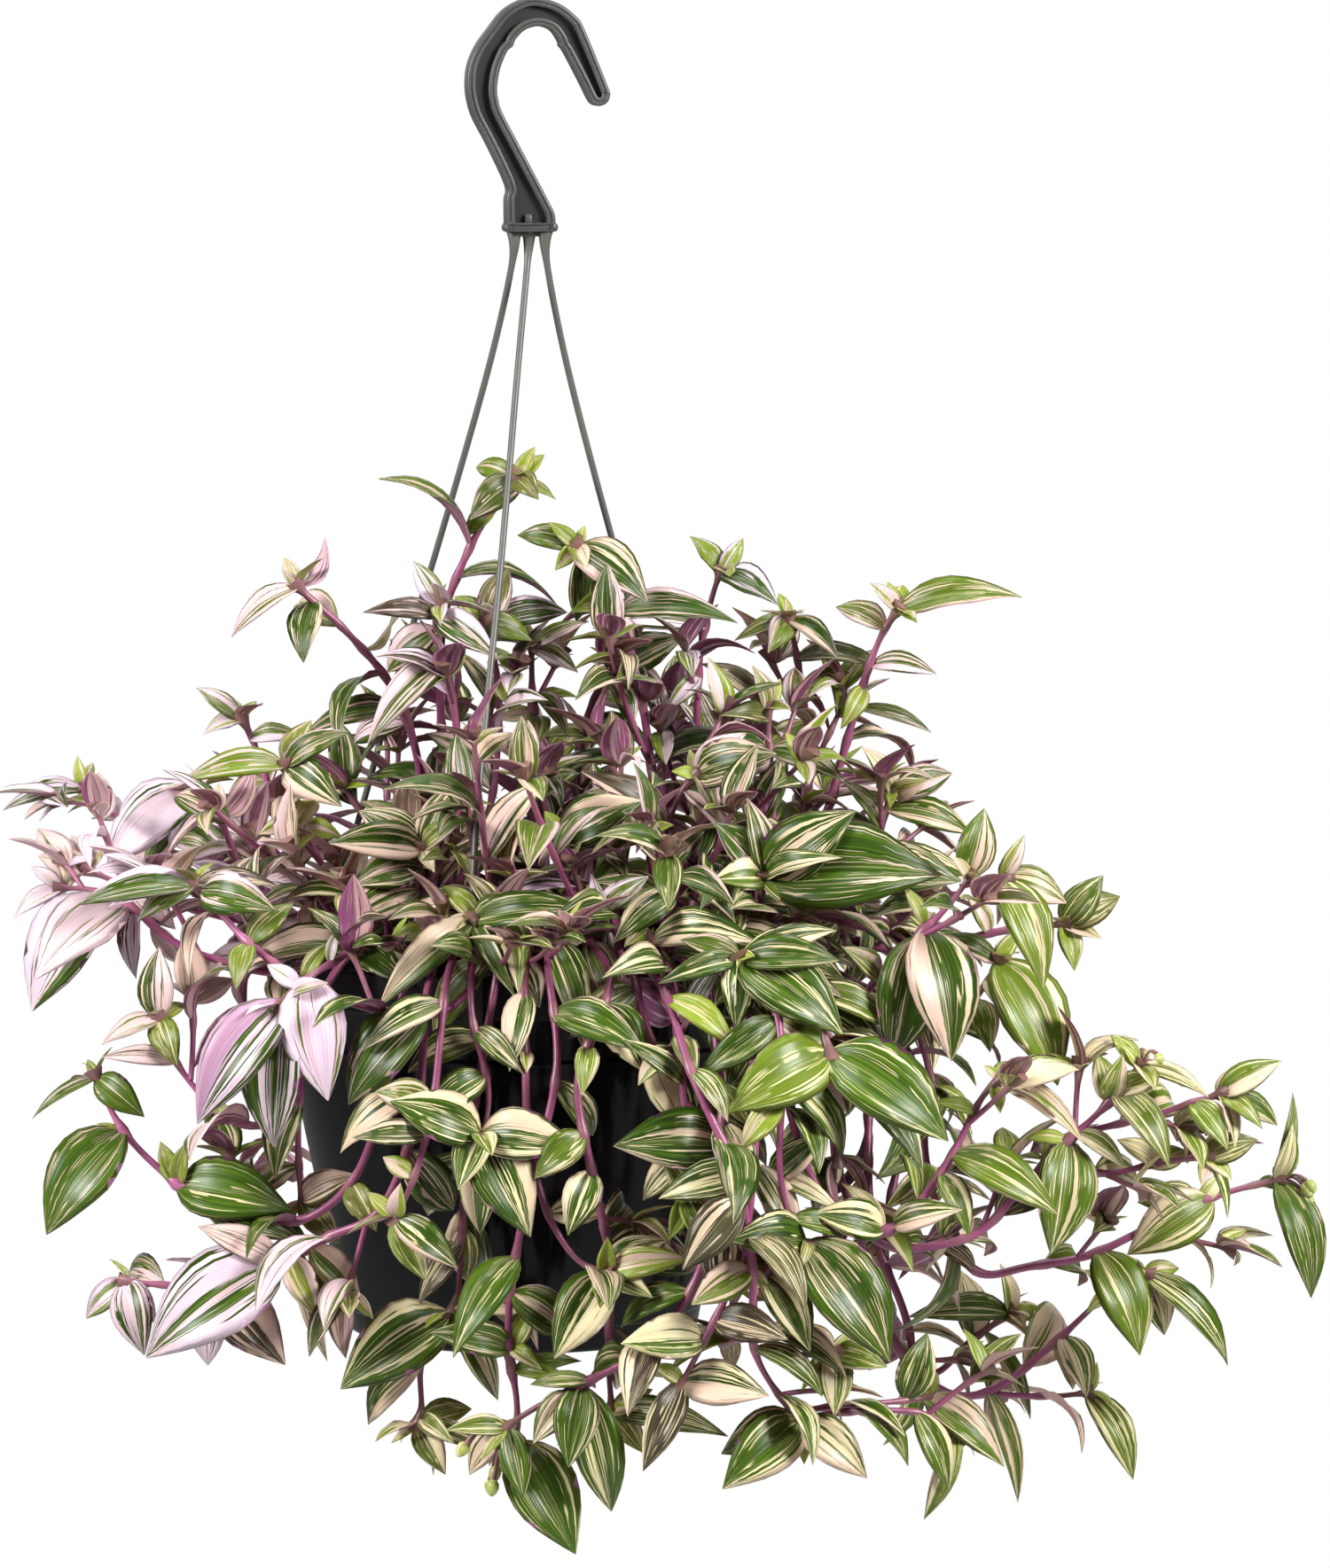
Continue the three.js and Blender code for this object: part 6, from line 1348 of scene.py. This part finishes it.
def leavesMesh(own, seed):
    draw = draws(seed)
    points, angles, sizes, kinds, mixes, varies = [], [], [], [], [], []
    for leaf in own:
        along, across, face, length, wide = bladeFrame(leaf)
        turn = np.array([along, across, face]).T
        points.append(leaf["base"] * mm)
        angles.append(Matrix(turn.tolist()).to_euler())
        sizes.append((length * mm, wide * mm, length * mm))
        kinds.append(leaf["form"] * blade["variants"] + int(draw() * blade["variants"]))
        mix, vary = leafTint(leaf, draw)
        mixes.append(mix)
        varies.append(vary)
    mesh = bpy.data.meshes.new("leafPoints")
    mesh.from_pydata(points, [], [])
    addAttribute(mesh, "leafTurn", "FLOAT_VECTOR", angles)
    addAttribute(mesh, "leafSize", "FLOAT_VECTOR", sizes)
    addAttribute(mesh, "leafForm", "INT", kinds)
    addAttribute(mesh, "leafMix", "FLOAT_VECTOR", mixes)
    addAttribute(mesh, "leafVary", "FLOAT_VECTOR", varies)
    return finished(mesh, leafTree, {"Forms": formObjects, "Look": leafSkin, "Size": 1.0})


# Stems: thicker at each joint, with a pale sheath above it, thinner towards the tip
stalk = {"radius": 1.32, "sideRadius": 1.12, "tipRadius": 0.8, "taper": (-70, 0), "joint": 0.45,
         "jointLength": 3.0, "sheath": 3.2, "step": 2.0, "sides": 8, "high": (-300, -240), "clear": (95, 155),
         "pink": 0.12, "leftPink": 0.75, "openPink": 0.38, "young": (-22, 8)}


def stemRows(line, own):
    samples = line["samples"].copy()
    if line["from"]:
        samples[0] = line["points"][0]
    lengths = runAlong(samples)
    total = lengths[-1]
    count = max(4, int(total / stalk["step"]))
    s = np.linspace(0, total, count + 1)
    points = np.stack([np.interp(s, lengths, samples[:, k]) for k in range(3)], 1)
    for _ in range(2):
        points[1:-1] = points[1:-1] * 0.5 + points[:-2] * 0.25 + points[2:] * 0.25
    start, end = line.get("thick", (stalk["sideRadius" if line["from"] else "radius"], stalk["tipRadius"]))
    radius = start + (end - start) * share(s - total, *stalk["taper"]) ** 1.5
    sheath = np.zeros_like(s)
    for leaf in own:
        at = lengths[min(leaf["at"], len(lengths) - 1)]
        radius = radius + stalk["joint"] * np.exp(-((s - at) / stalk["jointLength"]) ** 2)
        sheath = np.maximum(sheath, np.exp(-((s - at + 1) / stalk["sheath"]) ** 2 * 2))
    left = share(points[:, 0], *tint["left"])
    high = share(points[:, 2], *stalk["high"])
    clear = share(np.hypot(points[:, 0], points[:, 1]), *stalk["clear"])
    pink = stalk["pink"] + stalk["leftPink"] * left + stalk["openPink"] * np.maximum(high, clear)
    young = share(s - total, *stalk["young"])
    return points, radius, np.stack([sheath, np.clip(pink, 0, 1), young], 1)


def stemsMesh(ownLines, own):
    points, edges, radii, mixes = [], [], [], []
    for line in ownLines:
        rows, radius, mix = stemRows(line, [leaf for leaf in own if leaf["line"] is line])
        first = len(points)
        points += [tuple(p * mm) for p in rows]
        edges += [(first + k, first + k + 1) for k in range(len(rows) - 1)]
        radii += list(radius * mm)
        mixes += list(mix)
    mesh = bpy.data.meshes.new("stemPoints")
    mesh.from_pydata(points, edges, [])
    addAttribute(mesh, "stemRadius", "FLOAT", radii)
    addAttribute(mesh, "stemMix", "FLOAT_VECTOR", mixes)
    return finished(mesh, stemTree, {"Sides": stalk["sides"], "Thickness": 1.0, "Look": stemSkin})


def joined(name, meshes):
    both = bmesh.new()
    materials = []
    for mesh in meshes:
        shift = len(materials)
        materials += list(mesh.materials)
        first = len(both.faces)
        both.from_mesh(mesh)
        both.faces.ensure_lookup_table()
        for face in both.faces[first:]:
            face.material_index += shift
    mesh = bpy.data.meshes.new(name)
    both.to_mesh(mesh)
    both.free()
    for material in materials:
        mesh.materials.append(material)
    return pieceOf(mesh, name)


def finishPiece(piece, slot, *nodes):
    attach(piece, "root")
    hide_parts(*nodes)


def triangleCount(mesh):
    return sum(len(p.vertices) - 2 for p in mesh.polygons)


triangles = 0
names = list(dict.fromkeys(line["name"] for line in lines))
for k, name in enumerate(names):
    own = [leaf for leaf in leaves if leaf["line"]["name"] == name]
    ownLines = [line for line in lines if line["name"] == name]
    piece = joined("leafy_" + name, [leavesMesh(own, 900 + k), stemsMesh(ownLines, own)])
    finishPiece(piece, "foliage", name)
    triangles += triangleCount(piece.data)
print("leafy stems", len(names), "triangles", triangles)
for item in list(formObjects.objects):
    bpy.data.objects.remove(item)
bpy.data.collections.remove(formObjects)
# A profile with each corner rounded to its own radius, from [x, y, radius]
def filleted(corners, steps=4):
    points = []
    for k, (x, y, radius) in enumerate(corners):
        here = complex(x, y)
        if not radius:
            points.append(here)
            continue
        first, second = (complex(*corners[j % len(corners)][:2]) - here for j in (k - 1, k + 1))
        first, second = first / abs(first), second / abs(second)
        half = abs(cmath.phase(second / first)) / 2
        middle = here + (first + second) / abs(first + second) * radius / math.sin(half)
        start = here + first * radius / math.tan(half) - middle
        swing = cmath.phase((here + second * radius / math.tan(half) - middle) / start)
        points += [middle + start * cmath.exp(1j * swing * j / steps) for j in range(steps + 1)]
    return [(p.real, p.imag) for p in points]


sharpest = math.radians(38)


def meshOf(name, points, faces, *materials):
    # A mesh from points in mm, with doubles merged and faces turned outwards
    work = bmesh.new()
    corners = [work.verts.new(Vector(p) * mm) for p in points]
    for face in faces:
        work.faces.new([corners[k] for k in face])
    bmesh.ops.remove_doubles(work, verts=work.verts, dist=1e-6)
    bmesh.ops.recalc_face_normals(work, faces=work.faces)
    for face in work.faces:
        face.smooth = True
    mesh = bpy.data.meshes.new(name)
    work.to_mesh(mesh)
    work.free()
    mesh.set_sharp_from_angle(angle=sharpest)
    for material in materials:
        mesh.materials.append(material)
    return mesh


def ringAt(middle, across, lift, sides):
    angles = [2 * math.pi * j / sides for j in range(sides)]
    return [middle + across * math.cos(a) + lift * math.sin(a) for a in angles]


def tubeFaces(first, rings, size):
    # Walls between rings of points, and both ends closed
    faces = [tuple(range(first + at, first + at + size)) for at in (0, (rings - 1) * size)]
    for start in range(first, first + (rings - 1) * size, size):
        faces += [(start + j, start + (j + 1) % size, start + size + (j + 1) % size, start + size + j)
                  for j in range(size)]
    return faces


def turnedMesh(name, profile, sides, material):
    count = len(profile)
    points, faces = [], []
    for k in range(sides):
        a = 2 * math.pi * k / sides
        points += [(potX + r * math.cos(a), r * math.sin(a), z) for r, z in profile]
        ahead = (k + 1) % sides * count
        faces += [(k * count + j, ahead + j, ahead + j + 1, k * count + j + 1) for j in range(count - 1)]
    return meshOf(name, points, faces, material)


# The pot: a thin blow-formed cup with a ring below its rim band and six drain holes
pot = {
    "bodyFootRadius": 60.4, "footStep": 0.7, "footHeight": 8, "innerRadius": 83.3, "wall": 1.1, "base": 1.4,
    "ringDrop": 15, "ringHeight": 0.3, "sides": 128,
    "holes": 6, "holeRadius": 4.5, "holeRing": 40, "holeSides": 32,
    "black": rgb(10, 10, 12), "band": rgb(34, 34, 37), "dust": rgb(80, 78, 76),
    "bodyRoughness": 0.12, "bandRoughness": 0.36, "specular": 0.14,
}


# Long faint streaks down a moulded wall
def drawnPlastic():
    group, start, end = newTree("drawnPlastic", "ShaderNodeTree", {"Place": "Vector", "Streaks": 1.0},
                                ("Streak", "Haze"), "Float")
    x, y, z = parts(group, start["Place"])
    around = vector(group, times(group, x, 420.0), times(group, y, 420.0), times(group, z, 9.0))
    streak = times(group, noise(group, around, 1.0, 2.0), start["Streaks"])
    fill(group, end, {"Streak": streak, "Haze": noise(group, start["Place"], 38.0, 4.0, 0.6)})
    return group


plastic = drawnPlastic()


def potMaterial():
    material, tree, shader = newMaterial("potPlastic", pot["black"])
    place = addNode(tree, "ShaderNodeTexCoord").outputs["Object"]
    marks = {"Place": place, "Streaks": 1.0}
    streak, haze = addNode(tree, "ShaderNodeGroup", marks, node_tree=plastic).outputs
    height = parts(tree, place)[2]
    band = ramp(tree, height, (bandFoot - 0.3) * mm, (bandFoot + 0.3) * mm)
    low = ramp(tree, height, (potFoot + 14) * mm, potFoot * mm)
    colour = mixed(tree, band, pot["black"], pot["band"])
    dust = times(tree, ramp(tree, haze, 0.45, 0.8), timesPlus(tree, low, 0.1, 0.03))
    dust = timesPlus(tree, ramp(tree, streak, 0.55, 0.8), 0.03, dust)
    colour = mixed(tree, dust, colour, pot["dust"])
    roughness = ramp(tree, band, 0.0, 1.0, pot["bodyRoughness"] - 0.05, pot["bandRoughness"] - 0.05)
    roughness = timesPlus(tree, haze, 0.1, roughness)
    fill(tree, shader, {
        "Base Color": colour, "Roughness": roughness, "Normal": bump(tree, streak, 0.3, 0.00012),
        "Specular IOR Level": pot["specular"]})
    return material


def makePot():
    top, foot, rim = growth["bodyTopRadius"], growth["footRadius"], growth["rimRadius"]
    bodyFoot, inner, wall = pot["bodyFootRadius"], pot["innerRadius"], pot["wall"]
    floor, footTop, ring = potFoot + pot["base"], potFoot + pot["footHeight"], bandFoot - pot["ringDrop"]
    ringRadius = top - (top - bodyFoot) / (bandFoot - footTop) * pot["ringDrop"]
    profile = filleted([
        (0, potFoot, 0), (foot, potFoot, 2.2), (bodyFoot - pot["footStep"], footTop, 0.25),
        (bodyFoot, footTop + 0.6, 0.25), (ringRadius - 0.02, ring - 1.2, 0.4),
        (ringRadius + pot["ringHeight"], ring, 0.5), (ringRadius + 0.02, ring + 1.2, 0.4),
        (top, bandFoot, 0.4), (rim - 0.9, bandFoot, 0.5), (rim, rimTop, 0.9), (inner, rimTop, 0.6),
        (inner - 0.6, bandFoot + 2, 0.5), (top - wall, bandFoot - 1, 0.5), (foot - wall - 0.6, floor, 2),
        (0, floor, 0),
    ])
    body = pieceOf(turnedMesh("nurseryPot", profile, pot["sides"], potMaterial()), "nurseryPot")
    points, faces, sides = [], [], pot["holeSides"]
    for i in range(pot["holes"]):
        a = (i + 0.5) / pot["holes"] * 2 * math.pi
        middle = vec(potX + pot["holeRing"] * math.cos(a), pot["holeRing"] * math.sin(a), potFoot)
        disc = ringAt(middle, vec(pot["holeRadius"], 0, 0), vec(0, pot["holeRadius"], 0), sides)
        faces += tubeFaces(len(points), 2, sides)
        points += [p + up * height for height in (-3, 5) for p in disc]
    cutter = pieceOf(meshOf("drainHoles", points, faces), "drainHoles")
    cut = body.modifiers.new("holes", "BOOLEAN")
    cut.object = cutter
    mesh = madeMesh(body)
    body.modifiers.remove(cut)
    body.data = mesh
    mesh.set_sharp_from_angle(angle=sharpest)
    bpy.data.objects.remove(cutter)
    finishPiece(body, "pot_plastic", "pot")


makePot()
print("pot done")

# The hanger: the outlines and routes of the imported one, with smooth curves, round ribs and flared roots
hanger = {
    "outline": [
        (571, 259), (570, 226), (571, 210), (550, 165), (535, 137), (529, 120), (526, 100), (528, 77),
        (537, 55), (550, 37), (567, 16), (587, 4), (605, 1), (630, 7.5), (650, 22), (660, 37.5), (686, 100),
        (688.5, 110), (685.5, 118), (677.5, 122), (670, 120.5), (664.5, 114), (655, 95), (637.5, 62),
        (632, 55), (631, 50), (622, 37.5), (607, 33), (592, 37), (581.5, 47), (578, 55), (571.5, 61),
        (563.5, 80), (560, 101), (561.5, 115), (566, 129), (584, 163), (618, 227), (625, 242), (626, 256),
        (622, 261), (577, 261)],
    "yaw": 12, "depth": 7, "web": 2, "webInset": 0.5, "rib": 2.8, "round": 0.8, "curveSteps": 4,
    "groove": 0.5, "grooveHalf": 0.35, "soft": 0.1,
    # left, top, right and foot in the front view, half the depth and the edge radius
    "bar": (568, 252, 629, 262, 3.5, 1.2), "strandRoot": (578, 259, 618, 267.5, 0.7, 0.4),
    "fin": (595.5, 242), "finWidth": 2.2,
    "strandSides": 12, "flare": 1.5, "flareLength": 13, "clipWidth": 8, "clipThickness": 1.9,
    "grey": rgb(62, 63, 61), "paintedRecessShade": rgb(42, 43, 44), "paintedRibSheen": rgb(94, 93, 89),
    "strandPaintedReflection": rgb(97, 95, 89), "roughness": 0.4,
}


def hangerMaterial():
    material, tree, shader = newMaterial("hangerPlastic", hanger["grey"])
    place = addNode(tree, "ShaderNodeTexCoord").outputs["Object"]
    raised = surfaceValue(tree, "raised", "Fac")
    marks = {"Place": place, "Streaks": 0.6}
    haze = addNode(tree, "ShaderNodeGroup", marks, node_tree=plastic).outputs["Haze"]
    speck = noise(tree, place, 1500.0, 2.0)
    # the web between the ribs takes a darker grey: painted shade in the recess
    colour = mixed(tree, raised, hanger["paintedRecessShade"], hanger["grey"])
    # the raised ribs turn a lighter grey in patches: a painted sheen
    paintedRibSheen = times(tree, ramp(tree, raised, 0.7, 1.0), ramp(tree, haze, 0.35, 0.75, 0.1, 0.55))
    colour = mixed(tree, paintedRibSheen, colour, hanger["paintedRibSheen"])
    # the strands take a lighter grey: a painted reflection
    colour = mixed(tree, ramp(tree, raised, 1.1, 2.0), colour, hanger["strandPaintedReflection"])
    roughness = timesPlus(tree, haze, 0.2, hanger["roughness"] - 0.1)
    fill(tree, shader, {
        "Base Color": colour, "Roughness": roughness, "Normal": bump(tree, speck, 0.18, 0.0001)})
    return material


def flat(points):
    return [(seen([x, y, 0])[0], seen([x, y, 0])[2]) for x, y in points]


def rounded(points, closed, steps):
    count = len(points)
    points = np.array(points, float)
    made = []
    for k in range(count if closed else count - 1):
        places = [j % count if closed else min(max(j, 0), count - 1) for j in range(k - 1, k + 3)]
        made += [curvePoint(*points[places], t / steps) for t in range(steps)]
    return made if closed else made + [points[-1]]


def turnedHook(points):
    a = math.radians(hanger["yaw"])
    return [(x * math.cos(a) - y * math.sin(a), x * math.sin(a) + y * math.cos(a), z) for x, y, z in points]


def loopOutwards(loop):
    # Each point's outward direction, longer at a corner
    count = len(loop)
    ways = []
    for k in range(count):
        first = unit(loop[k] - loop[k - 1])
        second = unit(loop[(k + 1) % count] - loop[k])
        n = unit(np.array([first[1] + second[1], -first[0] - second[0]]))
        ways.append(n / max(0.6, n @ np.array([second[1], -second[0]])))
    area = sum(loop[k - 1][0] * loop[k][1] - loop[k][0] * loop[k - 1][1] for k in range(count))
    return [way if area > 0 else -way for way in ways]


def hookParts():
    # A round-edged rib swept round the outline, and the web between
    loop = rounded(flat(hanger["outline"]), True, hanger["curveSteps"])
    out = loopOutwards(loop)
    wide, deep, r = hanger["rib"], hanger["depth"] / 2, hanger["round"]
    half, cut, gap, soft = wide / 2, hanger["groove"], hanger["grooveHalf"], hanger["soft"]
    section = [(0, -deep, r), (0, deep, r)]
    section += [(-half + gap, deep, soft), (-half, deep - cut, soft), (-half - gap, deep, soft)]
    section += [(-wide, deep, r * 0.7), (-wide, -deep, r * 0.7)]
    section += [(-half - gap, -deep, soft), (-half, cut - deep, soft), (-half + gap, -deep, soft)]
    section = filleted(section, 3)
    points, faces, size = [], [], len(section)
    for k, (p, n) in enumerate(zip(loop, out)):
        points += [(p[0] + n[0] * u, v, p[1] + n[1] * u) for u, v in section]
        here, ahead = k * size, (k + 1) % len(loop) * size
        faces += [(here + j, ahead + j, ahead + (j + 1) % size, here + (j + 1) % size) for j in range(size)]
    ribs = turnedHook(points), faces, 1.0
    inner = [p - n * hanger["webInset"] for p, n in zip(loop, out)]
    half = hanger["web"] / 2
    points = [(p[0], side, p[1]) for side in (-half, half) for p in inner]
    return ribs, (turnedHook(points), tubeFaces(0, 2, len(inner)), 0.0)


def block(left, right, foot, top, deep, radius):
    # A box on the hook's middle plane, with rounded edges along its depth and softened faces
    corners = (left, foot), (right, foot), (right, top), (left, top)
    outline = filleted([(x, z, radius) for x, z in corners], 3)
    middle = (left + right) / 2, (foot + top) / 2
    front = [(-deep, 0.86), (radius * 0.3 - deep, 0.96), (radius * 0.7 - deep, 1)]
    rings = front + [(-y, scale) for y, scale in front[::-1]]
    points = [(middle[0] + (x - middle[0]) * scale, y, middle[1] + (z - middle[1]) * scale)
              for y, scale in rings for x, z in outline]
    return turnedHook(points), tubeFaces(0, len(rings), len(outline)), 1.0


def strandPart(name):
    line = rounded(strandLine(name), False, 12)
    points, sides = [], hanger["strandSides"]
    gone = 0
    for k, p in enumerate(line):
        gone += norm(p - line[k - 1]) if k else 0
        flare = max(0, 1 - gone / hanger["flareLength"]) ** 1.5 * hanger["flare"]
        along = unit(line[min(k + 1, len(line) - 1)] - line[max(k - 1, 0)])
        across = unit(np.cross(along, vec(0, 1, 0)))
        lift = np.cross(across, along)
        radius = growth["strandRadius"] * (1 + flare)
        points += ringAt(p, across * radius, lift * radius * (1 - 0.2 * flare), sides)
    return points, tubeFaces(0, len(line), sides), 1.7


def clipPart(azimuth):
    gap, thick = growth["clipGap"], hanger["clipThickness"]
    inside, outside = pot["innerRadius"] - 0.75, growth["rimRadius"] + gap
    top = rimTop + gap + thick
    profile = filleted([
        (outside, bandFoot - gap, 0.1), (growth["rimRadius"] - 2.2, bandFoot - gap, 0.1),
        (growth["rimRadius"] - 1.2, bandFoot - 2.4, 0.4), (outside + thick, bandFoot - 2.4, 0.6),
        (outside + thick, top, 0.9), (inside - 1.4, top, 0.7), (inside - 1.4, rimTop - 5.6, 0.5),
        (inside, rimTop - 5.6, 0.4), (inside, rimTop + gap, 0.2), (outside, rimTop + gap, 0.2)], 3)
    cos, sin = math.cos(math.radians(azimuth)), math.sin(math.radians(azimuth))
    half = hanger["clipWidth"] / 2
    points = [(potX + r * cos - side * sin, r * sin + side * cos, z)
              for side in (-half, half) for r, z in profile]
    return points, tubeFaces(0, 2, len(profile)), 0.8


def makeHanger():
    solids = list(hookParts())
    for left, top, right, foot, deep, radius in (hanger["bar"], hanger["strandRoot"]):
        (x0, z1), (x1, z0) = flat([(left, top), (right, foot)])
        solids.append(block(x0, x1, z0, z1, deep, radius))
    (x, z1), (_, z0) = flat([hanger["fin"], hanger["bar"][:2]])
    half = hanger["finWidth"] / 2
    solids.append(block(x - half, x + half, z0 - 1, z1, hanger["depth"] * 0.4, 0.5))
    for name, azimuth in strandAzimuth.items():
        solids += [strandPart(name), clipPart(azimuth)]
    material = hangerMaterial()
    meshes = []
    for points, faces, raised in solids:
        mesh = meshOf("hangerPart", points, faces, material)
        addAttribute(mesh, "raised", "FLOAT", [raised] * len(mesh.vertices))
        meshes.append(mesh)
    finishPiece(joined("hangerMoulding", meshes), "hanger_plastic", "hanger")


makeHanger()
print("hanger done")

# The soil: an uneven top with crumbs over a plain filling
soil = {"gap": 0.5, "sides": 96, "rings": 26, "rise": 2.6, "crumbs": 90000.0, "crumbSize": 0.0014, "seed": 5,
        "brown": rgb(46, 32, 24), "dark": rgb(20, 14, 11), "bark": rgb(104, 78, 54)}


def soilMaterial():
    material, tree, shader = newMaterial("pottingSoil", soil["brown"])
    place = addNode(tree, "ShaderNodeTexCoord").outputs["Object"]
    coarse = noise(tree, place, 210.0, 4.0, 0.65)
    fine = noise(tree, place, 1300.0, 3.0, 0.7)
    colour = mixed(tree, ramp(tree, coarse, 0.35, 0.62), soil["dark"], soil["brown"])
    colour = mixed(tree, ramp(tree, fine, 0.6, 0.72, 0.0, 0.7), colour, soil["bark"])
    roughness = ramp(tree, coarse, 0.3, 0.7, 0.98, 0.78)
    fill(tree, shader, {
        "Base Color": colour, "Roughness": roughness, "Normal": bump(tree, fine, 0.8, 0.0008)})
    return material


def crumbTree():
    tree, start, end = geometryTree("soilCrumbs", {"Rise": 0.002, "Crumbs": 50000.0, "Crumb size": 0.001,
                                                   "Seed": 1, "Look": "Material"})
    upward = addNode(tree, "GeometryNodeInputNormal")
    hump = noise(tree, addNode(tree, "GeometryNodeInputPosition"), 55.0, 4.0)
    lift = times(tree, calc(tree, "SUBTRACT", hump, 0.62), start["Rise"])
    isTop = calc(tree, "GREATER_THAN", parts(tree, upward)[2], 0.5)
    moved = addNode(tree, "GeometryNodeSetPosition", {
        "Geometry": start["Geometry"], "Selection": isTop, "Offset": vector(tree, 0.0, 0.0, lift)})
    spread = addNode(tree, "GeometryNodeDistributePointsOnFaces", {
        "Mesh": moved, "Selection": isTop, "Density": start["Crumbs"], "Seed": start["Seed"]})
    crumb = addNode(tree, "GeometryNodeMeshIcoSphere", {"Radius": 1.0, "Subdivisions": 1})
    turn, size = (addNode(tree, "FunctionNodeRandomValue", {"Min": (low,) * 3, "Max": high},
                          data_type="FLOAT_VECTOR")
                  for low, high in ((0, (6.28, 6.28, 6.28)), (0.3, (1.3, 1.0, 0.8))))
    size = addNode(tree, "ShaderNodeVectorMath", {0: size, "Scale": start["Crumb size"]}, operation="SCALE")
    turn = addNode(tree, "FunctionNodeEulerToRotation", {0: turn})
    placed = addNode(tree, "GeometryNodeInstanceOnPoints", {
        "Points": spread, "Instance": crumb, "Rotation": turn, "Scale": size})
    both = addNode(tree, "GeometryNodeJoinGeometry", {0: placed})
    fill(tree, both, {0: moved})
    return endTree(tree, start, end, addNode(tree, "GeometryNodeSetShadeSmooth", {0: both}))


def makeSoil():
    foot = potFoot + pot["base"] + soil["gap"]
    inside = growth["footRadius"] - pot["wall"] - soil["gap"]
    taper = (growth["bodyTopRadius"] - growth["footRadius"]) / (bandFoot - potFoot)
    edge = inside + taper * (soilTop - potFoot) - 1.8
    profile = [(0, foot), (inside - 1.6, foot), (edge + 0.6, soilTop - 2)]
    profile += [(edge * (1 - k / soil["rings"]), soilTop) for k in range(soil["rings"] + 1)]
    look = soilMaterial()
    plain = turnedMesh("soil", profile, soil["sides"], look)
    mesh = finished(plain, crumbTree(), {"Rise": soil["rise"] * mm, "Crumbs": soil["crumbs"], "Look": look,
                                         "Crumb size": soil["crumbSize"], "Seed": soil["seed"]})
    finishPiece(pieceOf(mesh, "pottingSoil"), "soil", "soil")
    print("soil triangles", triangleCount(mesh))


makeSoil()




# Camera, floor and light; each lamp has its place, its aim and its power
studio = {"aim": (42.2, 0.0, -249.1), "lens": 181.6, "floorHeight": -1.1, "floorSize": 30.0,
          "roomLight": 0.13, "wallLight": 1.0, "lampSize": 0.6}
lamps = {"rightLight": ((1.25, -0.85, 0.5), (0.04, 0, -0.3), 40),
         "leftLight": ((-1.3, -0.75, 0.4), (0, 0, -0.3), 36),
         "topLight": ((0.1, 0.1, 1.2), (0.03, 0, -0.3), 11)}


def makeStudio():
    camera = pieceOf(bpy.data.cameras.new("camera"), "camera")
    camera.location = Vector(eye) * mm
    camera.rotation_euler = (Vector(studio["aim"]) - Vector(eye)).to_track_quat("-Z", "Y").to_euler()
    camera.data.lens = studio["lens"]
    camera.data.sensor_width = 36
    camera.data.clip_start = 0.05
    camera.data.clip_end = 100
    bpy.context.scene.camera = camera
    mesh = bpy.data.meshes.new("floor")
    half, z = studio["floorSize"], studio["floorHeight"]
    corners = [(-half, -half, z), (half, -half, z), (half, half, z), (-half, half, z)]
    mesh.from_pydata(corners, [], [(0, 1, 2, 3)])
    floor = pieceOf(mesh, "floor")
    material = bpy.data.materials.new("paleFloor")
    tree = emptyTree(material)
    soft = addNode(tree, "ShaderNodeBsdfDiffuse", {"Color": (0.6, 0.6, 0.6, 1)})
    plain = addNode(tree, "ShaderNodeEmission", {"Color": (1, 1, 1, 1), "Strength": 1.0})
    direct = addNode(tree, "ShaderNodeLightPath").outputs["Is Camera Ray"]
    both = addNode(tree, "ShaderNodeMixShader", {0: direct, 1: soft, 2: plain})
    addNode(tree, "ShaderNodeOutputMaterial", {"Surface": both})
    mesh.materials.append(material)
    world = bpy.data.worlds.new("studioWorld")
    tree = emptyTree(world)
    direct = addNode(tree, "ShaderNodeLightPath").outputs["Is Camera Ray"]
    # a pale wall behind, a darker room in front
    way = parts(tree, addNode(tree, "ShaderNodeTexCoord").outputs["Generated"])[1]
    room = ramp(tree, way, 0.78, 0.94, studio["roomLight"], studio["wallLight"])
    strength = calc(tree, "MAXIMUM", direct, room)
    sky = addNode(tree, "ShaderNodeBackground", {"Color": (1, 1, 1, 1), "Strength": strength})
    addNode(tree, "ShaderNodeOutputWorld", {"Surface": sky})
    bpy.context.scene.world = world
    bpy.context.scene.view_settings.view_transform = "Standard"


def addLamp(name, place, aim, power):
    lamp = pieceOf(bpy.data.lights.new(name, "AREA"), name)
    lamp.data.energy = power
    lamp.data.size = studio["lampSize"]
    lamp.location = place
    lamp.rotation_euler = (Vector(aim) - Vector(place)).to_track_quat("-Z", "Y").to_euler()


makeStudio()
for name, lamp in lamps.items():
    addLamp(name, *lamp)
print("studio done")
